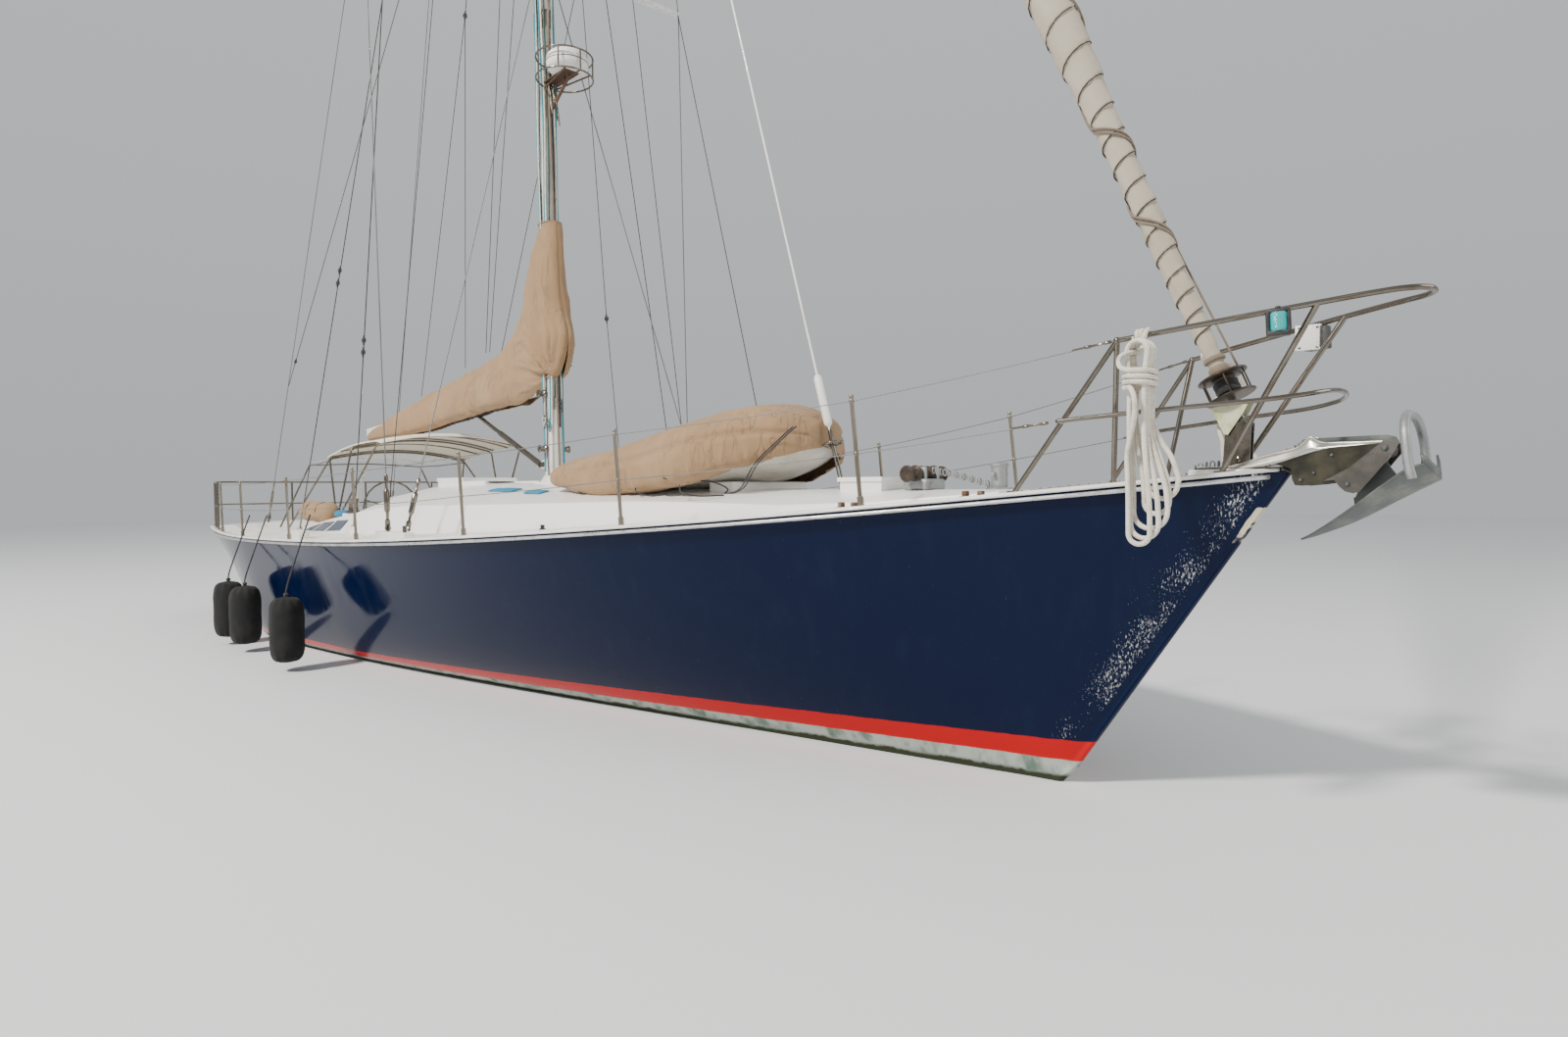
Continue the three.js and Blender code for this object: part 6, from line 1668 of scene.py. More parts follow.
made_of("headsail_foot_ring", [
    turned_bits([(0.040, high + 0.010), (0.053, high + 0.012), (0.056, high + 0.022), (0.056, high + 0.044),
                 (0.052, high + 0.050), (0.046, high + 0.056)], TACK, STAY_WAY, 36),
    turned_bits([(0.050, high + 0.085), (0.058, high + 0.088), (0.060, high + 0.098), (0.058, high + 0.108),
                 (0.050, high + 0.112)], TACK, STAY_WAY, 36),
], tan_rope, "rope", body="headsail_body")

# %% Tack of the headsail
tack_web = finish("tack_web", (0.60, 0.60, 0.42), (0.35, 0.38, 0.10), 0.8, patches=(16.0, 0.9))
TACK_WEB = [(7.276, 2.330), (7.350, 2.344), (7.470, 2.350), (7.446, 2.300), (7.366, 2.178), (7.345, 2.182)]
made_of("tack_webs", [upright_plate(TACK_WEB, y, 0.004) for y in (-0.044, 0.044)], tack_web, "sailcloth")
pin_parts = [rod_bits((7.429, -0.060, 2.225), (7.429, 0.060, 2.225), 0.013)]
for y in (-0.055, 0.049):
    pin_parts.append(turned_bits([(0.022, 0), (0.022, 0.008), (0.014, 0.010)], (7.429, y, 2.225), (0, 1, 0),
                                 20))
for x, z in ((7.385, 1.985), (7.415, 2.040)):
    for y, way in ((0.031, 1), (-0.031, -1)):
        pin_parts.append(turned_bits([(0.016, 0), (0.016, 0.007), (0.009, 0.010), (0.009, 0.016)], (x, y, z),
                                     (0, way, 0), 6))
made_of("tack_pins", pin_parts, *STEEL)

# %% [markdown]
# ## Repeating small shapes along a line
# Chain links, lacing hooks and the bolts of a strake all repeat one shape at an even pitch. Here one geometry
# tree makes the anchor chain so: it resamples a curve, stands a copy on every point, turns it to the curve
# and then realises the copies, so that plain mesh comes out.

# %% A tree that repeats a shape along a path
repeat_tree, given, result = new_tree("shape_along_path", GEOMETRY_TREE, [
    ("Path", MESH, None), ("Shape", "NodeSocketObject", None), ("Pitch", NUMBER, 0.1), ("Turn", NUMBER, 0.0),
    ("Finish", FINISH, None),
], [("Mesh", MESH)])
line = add_node(repeat_tree, "GeometryNodeMeshToCurve", i0=given.outputs["Path"])
even = add_node(repeat_tree, "GeometryNodeResampleCurve", [("mode", "LENGTH")], Curve=line.outputs[0],
                Length=given.outputs["Pitch"])
along = add_node(repeat_tree, "GeometryNodeInputTangent")
faced = add_node(repeat_tree, "FunctionNodeAlignRotationToVector", [("axis", "Z")], Vector=along.outputs[0])
count = add_node(repeat_tree, "GeometryNodeInputIndex")
spin = add_node(repeat_tree, "ShaderNodeMath", [("operation", "MULTIPLY")], i0=count.outputs[0],
                i1=given.outputs["Turn"])
spin_axes = add_node(repeat_tree, "ShaderNodeCombineXYZ", Z=spin.outputs[0])
spun = add_node(repeat_tree, "FunctionNodeEulerToRotation", i0=spin_axes.outputs[0])
turned = add_node(repeat_tree, "FunctionNodeRotateRotation", [("rotation_space", "LOCAL")],
                  i0=faced.outputs[0], i1=spun.outputs[0])
shape_in = add_node(repeat_tree, "GeometryNodeObjectInfo", Object=given.outputs["Shape"])
points = add_node(repeat_tree, "GeometryNodeCurveToPoints", [("mode", "EVALUATED")], i0=even.outputs[0])
copies = add_node(repeat_tree, "GeometryNodeInstanceOnPoints", Points=points.outputs[0],
                  Instance=shape_in.outputs["Geometry"], Rotation=turned.outputs[0])
plain = add_node(repeat_tree, "GeometryNodeRealizeInstances", i0=copies.outputs[0])
painted = add_node(repeat_tree, "GeometryNodeSetMaterial", Geometry=plain.outputs[0],
                   Material=given.outputs["Finish"])
repeat_tree.links.new(painted.outputs[0], result.inputs[0])


# %% Chain links along a path
def repeated(name, paths, bits, pitch, finish, slot, turn):
    mesh = bpy.data.meshes.new(name + "_shape")
    mesh.from_pydata([tuple(v) for v in bits[0]], [], bits[1])
    mesh.polygons.foreach_set("use_smooth", [True] * len(mesh.polygons))
    shape = put(name + "_shape", mesh)
    thing = baked(name, guide_mesh(name, paths), repeat_tree, slot, Shape=shape, Pitch=pitch, Turn=turn,
                  Finish=finish)
    bpy.data.objects.remove(shape)
    return thing


def link_bits(half_length, half_width, thick, around=18, sides=7):
    """One chain link, in the plane of y and z, long in z."""
    straight = half_length - half_width
    vertices, faces = [], []
    for k in range(around):
        angle = math.tau * k / around
        out = Vector((0, math.cos(angle), math.sin(angle)))
        shift = math.copysign(straight, math.sin(angle + 1e-6))
        centre = Vector((0, half_width * math.cos(angle), half_width * math.sin(angle) + shift))
        for j in range(sides):
            b = math.tau * j / sides
            vertices.append(centre + out * thick * math.cos(b) + Vector((thick * math.sin(b), 0, 0)))
            start, after = k * sides, ((k + 1) % around) * sides
            next_j = (j + 1) % sides
            faces.append((start + j, start + next_j, after + next_j, after + j))
    return vertices, faces


# %% Plate finishes
# The cheeks get a dark, barely metallic colour: a painted dark reflection in place of the steel's mirror
# shine.
painted_dark_reflection, tree, shader, place, _ = new_finish("painted_dark_reflection", (0.022, 0.021, 0.014), 0.30, 0.35)
grime(tree, shader, place, (0.022, 0.021, 0.014), (0.085, 0.075, 0.045), 7.0, 0.7)
bump(tree, shader, clouds(tree, place, 60.0, 5.0), 0.1, 0.002)
bright_plate = finish("bright_plate", (0.60, 0.585, 0.54), (0.36, 0.32, 0.25), 0.30, 0.75, patches=(8.0, 0.6))
anchor_zinc = finish("anchor_zinc", (0.105, 0.118, 0.112), (0.26, 0.26, 0.23), 0.5, 0.5, patches=(6.0, 0.7),
                     grain=(55.0, 0.15, 0.002))

# %% [markdown]
# ## Stem platform, anchor and chain
# The anchor lives in a folded steel trough that reaches over the stem. Its cheeks are cut to a hooked
# outline, a bright bead is welded along their tops, and two guard plates keep the anchor off the paint. The
# anchor is a roll-bar type: a dished blade, a shank cut from plate and a hoop that rights it on the seabed.

# %% Stem platform
CHEEK = [(7.614, 2.010), (7.730, 2.048), (7.850, 2.083), (7.970, 2.094), (8.090, 2.102), (8.098, 2.086),
         (8.068, 2.045), (8.035, 2.012), (7.985, 1.950), (7.945, 1.922), (7.870, 1.908), (7.822, 1.901),
         (7.745, 1.894), (7.712, 1.898), (7.700, 1.925), (7.690, 1.985)]
parts = [upright_plate(CHEEK, y, 0.010) for y in (-0.081, 0.081)]
trough = [(7.205, 1.992), (7.640, 1.992), (7.712, 1.950), (7.745, 1.912), (7.945, 1.928), (8.030, 2.030)]
for (a, za), (b, zb) in zip(trough, trough[1:]):
    way = Vector((b - a, 0, zb - za))
    parts.append(plate_bits([(-0.003, -0.076), (way.length + 0.003, -0.076), (way.length + 0.003, 0.076),
                             (-0.003, 0.076)],
                            (a, 0, za), way.normalized(), (0, 1, 0), 0.008))
made_of("stem_platform", parts, painted_dark_reflection, "galvanised_steel", limit=24, stands_for=("bow_platform",))
FLANGE_LOW = [(7.215, 1.985), (7.394, 1.987), (7.614, 2.012), (7.730, 2.050), (7.850, 2.085), (7.970, 2.096),
              (8.090, 2.104)]
FLANGE_TOP = [(7.215, 2.000), (7.394, 2.004), (7.551, 2.052), (7.651, 2.076), (7.702, 2.088), (7.734, 2.106),
              (7.757, 2.134), (7.774, 2.147), (7.792, 2.137), (7.812, 2.122), (7.840, 2.114), (7.912, 2.112),
              (8.000, 2.111), (8.090, 2.111)]
flange_stops = sorted({x for x, _ in FLANGE_TOP} | {7.25, 7.32, 7.45, 7.5, 7.6, 7.68, 7.72, 7.765, 7.783, 7.8,
                                                    7.87, 7.95})
for name, side in SIDES:
    rows = []
    for x in flange_stops:
        low, high = table_at(FLANGE_LOW, x)[0], table_at(FLANGE_TOP, x)[0]
        rows.append([Vector((x, side * mix(0.086, 0.060, t), mix(low, high, t)))
                     for t in (0, 0.35, 0.7, 1.0)])
    thin_skin(f"platform_flange_{name}", rows, 0.006, bright_plate, "galvanised_steel")
    tubes(f"platform_bead_{name}", [[row[-1] for row in rows]], 0.0045, bright_plate, "stainless_steel",
          sides=10)
GUARD = [(7.846, 1.918), (7.894, 1.922), (7.916, 1.889), (7.942, 1.864), (7.976, 1.855), (8.004, 1.862),
         (8.074, 1.955), (8.148, 2.060), (8.158, 2.082), (8.150, 2.102), (8.120, 2.110), (8.090, 2.104),
         (7.960, 1.985)]
made_of("platform_guards", [upright_plate(GUARD, y, 0.008) for y in (-0.092, 0.092)], mirror_plate,
        "stainless_steel", limit=24)

# %% Bolts, rollers and pad of the platform
bolts = []
for x, z, size, face in ((8.108, 2.078, 0.017, 0.096), (7.952, 1.900, 0.013, 0.096),
                         (7.740, 1.925, 0.011, 0.086), (7.880, 2.050, 0.009, 0.086),
                         (7.800, 1.960, 0.009, 0.086)):
    for side in (-1, 1):
        bolts.append(turned_bits([(size, 0), (size, 0.006), (size * 0.75, 0.010), (size * 0.5, 0.012)],
                                 (x, side * face, z), (0, side, 0), 6))
made_of("platform_bolts", bolts, anchor_zinc, "galvanised_steel", limit=20)
rollers = [turned_bits([(0.012, -0.066), (0.034, -0.066), (0.0335, -0.050), (0.025, -0.020), (0.022, 0),
                        (0.025, 0.020), (0.0335, 0.050), (0.034, 0.066), (0.012, 0.066)], (x, 0, z),
                       (0, 1, 0), 32)
           for x, z in ((8.100, 2.066), (7.660, 2.030))]
made_of("platform_rollers", rollers, black_rubber, "black_rubber", limit=30)
made_of("platform_pad", [block_bits((7.170, -0.095, 1.930), (7.520, 0.095, 1.988), 0.012)], *WHITE)

# %% Anchor
SHANK = [(7.722, 2.106), (7.735, 2.1013), (8.060, 2.1013), (8.075, 2.085), (8.020, 1.985), (7.968, 1.830),
         (7.980, 1.812), (8.040, 1.838), (8.077, 1.880), (8.110, 1.910), (8.148, 1.936), (8.122, 1.975),
         (8.100, 2.010), (8.140, 2.085), (8.150, 2.110), (8.135, 2.135), (8.100, 2.146), (7.740, 2.142),
         (7.722, 2.134)]
SPINE = [(0.0, 7.721, 1.615), (0.12, 7.800, 1.643), (0.40, 7.975, 1.722), (0.70, 8.160, 1.835),
         (1.0, 8.318, 1.928)]
BLADE_EDGE = [(0.0, 0.004, 0.000), (0.05, 0.028, 0.004), (0.20, 0.085, 0.022), (0.42, 0.150, 0.050),
              (0.65, 0.200, 0.072), (0.88, 0.226, 0.090), (0.95, 0.222, 0.086), (1.0, 0.205, 0.078)]
ACROSS = [k / 10 - 1 for k in range(21)]
blade_way = (Vector((8.318, 0, 1.928)) - Vector((7.721, 0, 1.615))).normalized()
blade_up = Vector((-blade_way.z, 0, blade_way.x))


def on_blade(t, s):
    half, lift = table_at(BLADE_EDGE, t)
    x, z = table_at(SPINE, t)
    return Vector((x, s * half, z)) + blade_up * (lift * abs(s) ** 1.15)


rows = [[on_blade(i / 48, s) for s in ACROSS] for i in range(49)]
_, area = thin_skin("anchor_blade", rows, 0.010, anchor_zinc, "galvanised_steel", stands_for=("anchor",))
heel = [[at, at + blade_way * 0.012 + blade_up * 0.018, at + blade_way * 0.018 + blade_up * 0.046]
        for at in (on_blade(1.0, s) for s in ACROSS)]
thin_skin("anchor_heel", heel, 0.010, anchor_zinc, "galvanised_steel")
parts = [upright_plate(SHANK, 0, 0.020),
         upright_plate([(7.975, 1.735), (8.160, 1.848), (8.150, 1.900), (8.060, 1.905), (7.960, 1.830)], 0,
                       0.014),
         rod_bits((7.752, -0.024, 2.122), (7.752, 0.024, 2.122), 0.008)]
made_of("anchor_shank", parts, anchor_zinc, "galvanised_steel", limit=28)
hoop = whole([(8.242, -0.226, 1.925), (8.228, -0.226, 1.990), (8.216, -0.223, 2.090), (8.206, -0.200, 2.165),
              (8.200, -0.150, 2.210), (8.194, -0.080, 2.236), (8.190, 0.0, 2.242)])
tubes("anchor_hoop", [smooth_run(hoop, 6)], 0.0215, galvanised, "galvanised_steel", sides=16)

# %% Anchor chain
chain_run = [(7.742, 0, 2.122), (7.70, 0, 2.092), (7.655, 0, 2.072), (7.58, 0, 2.035), (7.50, 0, 2.012),
             (7.22, 0, 2.008), (7.13, 0, deck_at(7.13, 0) + 0.022)]
chain_run += [(x, 0, deck_at(x, 0) + 0.014) for x in (7.0, 6.8, 6.6, 6.4, 6.2)]
chain_run += [(6.05, 0, deck_at(6.05, 0) + 0.016), (5.6, 0.0, 1.975), (5.36, 0.0, 2.020)]
chain = repeated("anchor_chain", [smooth_run(chain_run, 6)], link_bits(0.0225, 0.0125, 0.0045), 0.0330,
                 galvanised, "galvanised_steel", turn=math.pi / 2)
print("chain faces:", len(chain.data.polygons), "blade area:", round(area, 3))

# %% [markdown]
# ## Lamp and plate on the bow rail
# The navigation lamp is a box with a coloured, ribbed lens in a black frame, hung under the top rail so that
# nothing shades it. On the other side of the rail hangs a bare plate.

# %% Lamps and plate
CASE = [  # low corner, high corner and bevel of each block, in the lamp's own frame
    ((-0.056, -0.045, -0.066), (0.056, 0.030, 0.066), 0.010),
    ((-0.050, 0.026, 0.046), (0.050, 0.050, 0.062), 0.004),
    ((-0.050, 0.026, -0.062), (0.050, 0.050, -0.046), 0.004),
    ((-0.054, 0.026, -0.062), (-0.038, 0.048, 0.062), 0.004),
    ((0.038, 0.026, -0.062), (0.054, 0.048, 0.062), 0.004),
    ((-0.012, -0.012, 0.060), (0.012, 0.012, 0.082), 0.003),
]
for name, side in SIDES:
    along_rail = Vector((0.955, -side * 0.296, 0.05)).normalized()
    outward = Vector((0.296, side * 0.955, 0)).normalized()
    upright = along_rail.cross(outward).normalized()
    if upright.z < 0:
        upright = -upright
    turn = Matrix((along_rail, outward, upright)).transposed().to_4x4()
    place_it = Matrix.Translation((7.697, side * 0.338, 2.712)) @ turn
    made_of(f"side_lamp_{name}", [moved_bits(block_bits(*block), place_it) for block in CASE], *PLASTIC)
    lens_rows = [[place_it @ Vector((0.039 * math.cos(a), 0.028 + 0.024 * math.sin(a), z))
                  for z in (-0.047, -0.030, -0.012, 0.006, 0.024, 0.047)]
                 for a in (math.pi * i / 8 for i in range(9))]
    thin_skin(f"side_lamp_lens_{name}", lens_rows, 0.003, teal_lens if side < 0 else red_lens, "acrylic")
PLATE_X, PLATE_Z, PLATE_TURN = 7.672, 2.712, 0.18
place_it = Matrix.Translation((PLATE_X, 0.276, PLATE_Z)) @ Matrix.Rotation(PLATE_TURN, 4, "Z")
made_of("rail_plate", [moved_bits(block_bits((-0.064, -0.003, -0.070), (0.064, 0.003, 0.070), 0.002),
                                  place_it)], *WHITE)
heads = [(PLATE_X + dx, 0.2725 + dx * PLATE_TURN, PLATE_Z + dz) for dx in (-0.042, 0.042)
         for dz in (-0.054, 0.054)]
made_of("rail_plate_screws", [turned_bits([(0.007, 0), (0.007, 0.003), (0.003, 0.005)], at, (0, -1, 0), 10)
                              for at in heads], *STEEL)

# %% Lacing, hem and collar of the sail cover; the dinghy's chocks
hem_line = [line[0] for line in cover_rows if line[0].x < -1.0]
lacing = [(p.x, p.y * (1 if k % 2 else -1), p.z - 0.004) for k, p in enumerate(hem_line[:-3:3])]
tubes("sail_cover_lacing", [smooth_run(lacing, 3)], 0.004, *DARK_LINE, sides=6, body="boom_body")
edging = [[line[j] - Vector((0, 0, 0.001)) for line in cover_rows if line[0].x < -0.85] for j in (0, -1)]
tubes("sail_cover_hem", edging, 0.006, *TAN, sides=8, body="boom_body")
collar = [Vector((mix(0.262, -0.060, 0.5) + 0.163 * math.cos(q), 0.114 * math.sin(q), 4.893))
          for q in (math.pi * k / 20 for k in range(41))]
tubes("sail_cover_collar", [collar], 0.007, *TAN, sides=8)

chock_bits = [block_bits((x - 0.15, -0.44, 1.795), (x + 0.15, 0.44, top), 0.014)
              for x, top in ((3.53, 1.955), (1.80, 1.925))]
made_of("dinghy_chocks", chock_bits, *WHITE)

# %% [markdown]
# ## On the mast
# Halyards run down the mast's faces to cleats and small winches that a person can reach from the deck. Each
# line keeps its own colour, so that the crew can tell them apart. A boot of cloth seals the mast at the deck.

# %% Halyards
MAST_LONG, MAST_WIDE = 0.135, 0.095


def by_mast(z, degrees, out):
    """A point so far off the mast's face, at an angle from its front."""
    angle = math.radians(degrees)
    return Vector((mast_x(z) + (MAST_LONG + out) * math.cos(angle), (MAST_WIDE + out) * math.sin(angle), z))


def off_mast(degrees):
    return Vector((math.cos(math.radians(degrees)), math.sin(math.radians(degrees)), 0))


HALYARDS = [  # name, finish, degrees at the deck, degrees aloft, lowest, highest, radius
    ("a", blue_rope, -97, -94, 2.10, 12.9, 0.0091), ("b", white_rope, -84, -86, 2.72, 18.9, 0.0091),
    ("c", dark_rope, -70, -76, 2.06, 7.7, 0.0070), ("d", blue_rope, -56, -62, 2.68, 18.9, 0.0098),
    ("e", white_rope, -44, -50, 2.12, 13.2, 0.0105), ("f", green_rope, -31, -34, 2.93, 13.2, 0.0091),
    ("g", tan_rope, -16, -17, 2.08, 18.9, 0.0126), ("h", dark_rope, -5, -8, 2.60, 18.9, 0.0084),
    ("i", white_rope, 8, 6, 2.90, 18.9, 0.0098), ("j", blue_rope, 24, 18, 2.10, 12.9, 0.0105),
    ("k", tan_rope, 100, 97, 2.70, 18.9, 0.0098), ("l", white_rope, 86, 88, 2.10, 12.9, 0.0098),
]
for name, finish_here, low_angle, high_angle, low, high, radius in HALYARDS:
    path = []
    count = int((high - low) / 0.22)
    for t in (k / count for k in range(count + 1)):
        z = mix(low, high, t)
        slack = 0.004 * math.sin(5.1 * z + low_angle)
        path.append(by_mast(z, mix(low_angle, high_angle, clamp01(t * 2.5))
                            + 4 * math.sin(2.3 * z + low_angle), radius + 0.004 + abs(slack)))
    rope(f"halyard_{name}", smooth_run(path, 2), radius, finish_here, "rope", sides=8)

# %% Cleats and winches on the mast
UP, TURNS = Vector((0, 0, 1)), 6
fittings = []
for degrees, z in ((-84, 2.66), (-56, 2.62), (-31, 2.87), (8, 2.84), (100, 2.64)):
    out, foot = off_mast(degrees), by_mast(z, degrees, -0.004)
    for dz in (-0.022, 0.022):
        fittings.append(rod_bits(foot + UP * dz, foot + out * 0.030 + UP * dz, 0.007))
    fittings.append(rod_bits(foot + out * 0.032 - UP * 0.075, foot + out * 0.032 + UP * 0.075, 0.0075))
made_of("mast_cleats", fittings, *STEEL)
WINCH = [(0.046, 0.0), (0.050, 0.012), (0.046, 0.020), (0.033, 0.030), (0.031, 0.055), (0.036, 0.074),
         (0.043, 0.080), (0.043, 0.088), (0.030, 0.094), (0.0, 0.094)]
made_of("mast_winches", [turned_bits(WINCH, by_mast(z, degrees, 0.001), off_mast(degrees), 32)
                         for degrees, z in ((-92, 2.36), (88, 2.36), (-92, 2.98))], *STEEL, limit=30)
for name, degrees, z, finish_here in (("w", -84, 2.66, white_rope), ("b", -56, 2.62, blue_rope)):
    out, foot = off_mast(degrees), by_mast(z, degrees, 0.026)
    path = []
    for k in range(TURNS * 24 + 1):
        a = math.tau * k / 24
        path.append(foot + UP * (0.050 * math.cos(a)) + out * (0.012 * math.sin(2 * a) + 0.002 * k / 24)
                    + out.cross(UP) * 0.016 * math.sin(a))
    rope(f"cleat_turns_{name}", path, 0.0055, finish_here, "rope", sides=8)

# %% Collar, band and cables of the mast
collar_rows = []
for z, out in ((1.975, 0.050), (1.990, 0.046), (2.010, 0.036), (2.030, 0.022), (2.050, 0.012),
               (2.062, 0.006)):
    collar_rows.append([by_mast(z, 360 * k / 40, out + 0.002 * math.sin(k * 1.9)) for k in range(40)])
thin_skin("mast_collar", collar_rows, 0.004, *WHITE, wrap=True)
band_rows = [[by_mast(z, 360 * k / 40, 0.0025) for k in range(40)] for z in (7.05, 7.10, 7.20, 7.25)]
thin_skin("mast_band", band_rows, 0.002, weathered_posts, "aluminium", wrap=True)
loops = []
for number, (z, drop, y) in enumerate(((6.42, 0.34, -0.06), (6.38, 0.42, 0.02), (6.40, 0.26, -0.02))):
    x0 = mast_x(z) + 0.15
    loops.append(smooth_run([(x0 + 0.01, y, z), (x0 + 0.07, y, z - drop * 0.5),
                             (x0 + 0.06 + 0.02 * number, y + 0.02, z - drop),
                             (x0 + 0.02, y + 0.03, z - drop * 0.7), (x0 + 0.004, y + 0.03, z - drop * 0.45)],
                            8))
tubes("radar_cables", loops, 0.006, weathered_posts, "black_plastic", sides=8)

# %% [markdown]
# ## Running lines
# Beside the stays, a good many thin lines lead from aloft to the deck: topping lift, lazy jacks, spare
# halyards and flag halyards. They are taut and nearly straight, so each is one thin tube between its two
# ends, with its blocks strung on it.

# %% Lines from aloft to the deck
LIFT_END, PORT_JOINT = (-0.65, -0.60, 7.275), (0.462, 0.50, 3.853)
BLOCK = [(0.0, -0.016), (0.020, -0.016), (0.026, -0.012), (0.026, 0.012), (0.020, 0.016), (0.0, 0.016)]
RUNNING = [  # radius, ends, blocks
    (0.0050, ((-0.06, -0.08, 12.3), (-6.48, -0.88, 3.58)), ((-6.20, -0.846, 3.93),)),
    (0.0055, ((-0.146, -0.08, 16.8), (-2.274, -1.97, 1.471)),
     ((-1.859, -1.601, 4.46), (-1.879, -1.619, 4.315))),
    (0.0055, ((-0.084, -1.25, 13.56), (-0.44, -1.99, 1.547)),
     ((-0.384, -1.873, 3.442), (-0.388, -1.881, 3.319))),
    (0.0040, ((0.02, -1.16, 7.93), (0.171, -1.89, 1.500)), ()),
    (0.0045, ((0.02, -0.81, 7.92), LIFT_END), (LIFT_END,)),
    (0.0045, ((0.30, 0.05, 11.3), PORT_JOINT), (PORT_JOINT,)),
    (0.0040, (PORT_JOINT, (0.463, 0.70, 1.800)), ()),
    (0.0050, ((-0.05, 0.10, 12.6), (0.037, 1.85, 1.500)), ()),
    (0.0050, ((-0.10, 0.10, 17.0), (0.307, 1.85, 1.500)), ()),
    (0.0055, ((0.02, 1.925, 7.96), (2.00, 1.75, 1.520)), ()),
]
def led(start, end):
    """A straight line of 25 points."""
    return [start.lerp(end, k / 24) for k in range(25)]


line_paths, blocks = [], []
for radius, (start, end), on_it in RUNNING:
    start, end = Vector(start), Vector(end)
    sag = 0.004 * (end - start).length * Vector((0.3, 0.2, -1)).normalized()
    path = [p + sag * math.sin(math.pi * k / 24) * 0.3 for k, p in enumerate(led(start, end))]
    line_paths.append((radius, path))
    way = (end - start).normalized()
    for at in on_it:
        at = start + way * (Vector(at) - start).dot(way)
        blocks.append(turned_bits(BLOCK, at, way.cross(Vector((1, 0, 0))).normalized(), 20))
        blocks.append(rod_bits(at - way * 0.050, at + way * 0.050, 0.009))
for radius in sorted({radius for radius, _ in line_paths}):
    tubes(f"running_lines_{int(radius * 10000)}", [path for r, path in line_paths if r == radius], radius,
          *DARK_LINE, sides=8)
made_of("line_blocks", blocks, *PLASTIC)

# %% Lazy jacks
for name, start, end in (("a", (0.02, -0.48, 7.90), (-1.30, -0.10, 3.60)),
                         ("b", (0.02, -0.30, 7.89), (-1.20, -0.10, 3.60)),
                         ("c", (0.02, 0.48, 7.90), (-1.30, 0.10, 3.60)),
                         ("d", LIFT_END, (-1.765, -0.15, 3.459)), ("e", LIFT_END, (-3.133, -0.15, 3.20))):
    start, end = Vector(start), Vector(end)
    jack = tubes(f"lazy_jack_{name}", [led(start, end)], 0.0042, *DARK_LINE, sides=8, body=None)
    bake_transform(jack)

# %% Terminals where the lines meet the deck
ends = []
for _, (start, end), _ in RUNNING:
    end = Vector(end)
    if end.z < 2.0:
        way = (Vector(start) - end).normalized()
        ends.append(rod_bits(end, end + way * 0.16, 0.010))
        ends.append(rod_bits(end + way * 0.16, end + way * 0.30, 0.0065))
        ends.append(turned_bits([(0.0, -0.012), (0.030, -0.012), (0.024, 0.004), (0.0, 0.006)],
                                end - Vector((0, 0, 0.004)), (0, 0, 1), 20))
made_of("line_terminals", ends, *POSTS)

# %% [markdown]
# ## Deck gear
# The deck carries small things that make it read as a working boat: dark window panes let into the coamings,
# pads where the shrouds pass through the deck, pieces of bright canvas over the hatches and a cushion, and a
# windlass, a post and fairleads forward.

# %% Coaming windows
def coaming_skin(x, z, side, out):
    """A point on the outer face of a coaming, found with a ray cast from outboard."""
    names = (f"coaming_{'starboard' if side < 0 else 'port'}", "coachroof")
    faces = [nodes[name].ray_cast(Vector((x, side * 3.0, z)), Vector((0, -side, 0))) for name in names]
    reach = max([abs(at.y) for hit, at, _, _ in faces if hit] + [1.36])
    return Vector((x, side * (reach + out), z))


window_blue = finish("window_blue", (0.020, 0.045, 0.085), (0.10, 0.13, 0.16), 0.10, patches=(4.0, 0.7),
                     Coat_Weight=0.5)
PANES = [((-4.06, 1.365), (-3.74, 1.430), (-3.36, 1.480), (-3.62, 1.370)),
         ((-3.56, 1.372), (-3.29, 1.490), (-2.86, 1.515), (-3.08, 1.385)),
         ((-3.01, 1.388), (-2.78, 1.528), (-2.33, 1.545), (-2.50, 1.410))]


def pane_rows(corners, side, out, grow=0.0):
    (blx, blz), (tlx, tlz), (trx, trz), (brx, brz) = corners
    rows = []
    for i in range(9):
        t = mix(-grow, 1 + grow, i / 8)
        row = []
        for j in range(6):
            s = mix(-grow * 1.8, 1 + grow * 1.8, j / 5)
            x = mix(mix(blx, tlx, s), mix(brx, trx, s), t)
            z = mix(mix(blz, tlz, s), mix(brz, trz, s), t)
            row.append(coaming_skin(x, z, side, out))
        rows.append(row[::-1] if side > 0 else row)
    return rows


for name, side in SIDES:
    for number, corners in enumerate(PANES):
        thin_skin(f"coaming_frame_{name}_{number}", pane_rows(corners, side, 0.008, 0.04), 0.030, *WHITE)
        thin_skin(f"coaming_pane_{name}_{number}", pane_rows(corners, side, 0.012), 0.020, window_blue,
                  "tinted_glass")

# %% Pads where the shrouds pass the deck
pads = []
for side in (-1, 1):
    pads.append(block_bits((0.0, side * 1.89 - 0.055, 1.36), (0.72, side * 1.89 + 0.055, 1.50), 0.012))
    pads.append(block_bits((-2.42, side * 1.97 - 0.06, 1.30), (-2.12, side * 1.97 + 0.06, 1.44), 0.012))
made_of("chainplate_pads", pads, *WHITE)

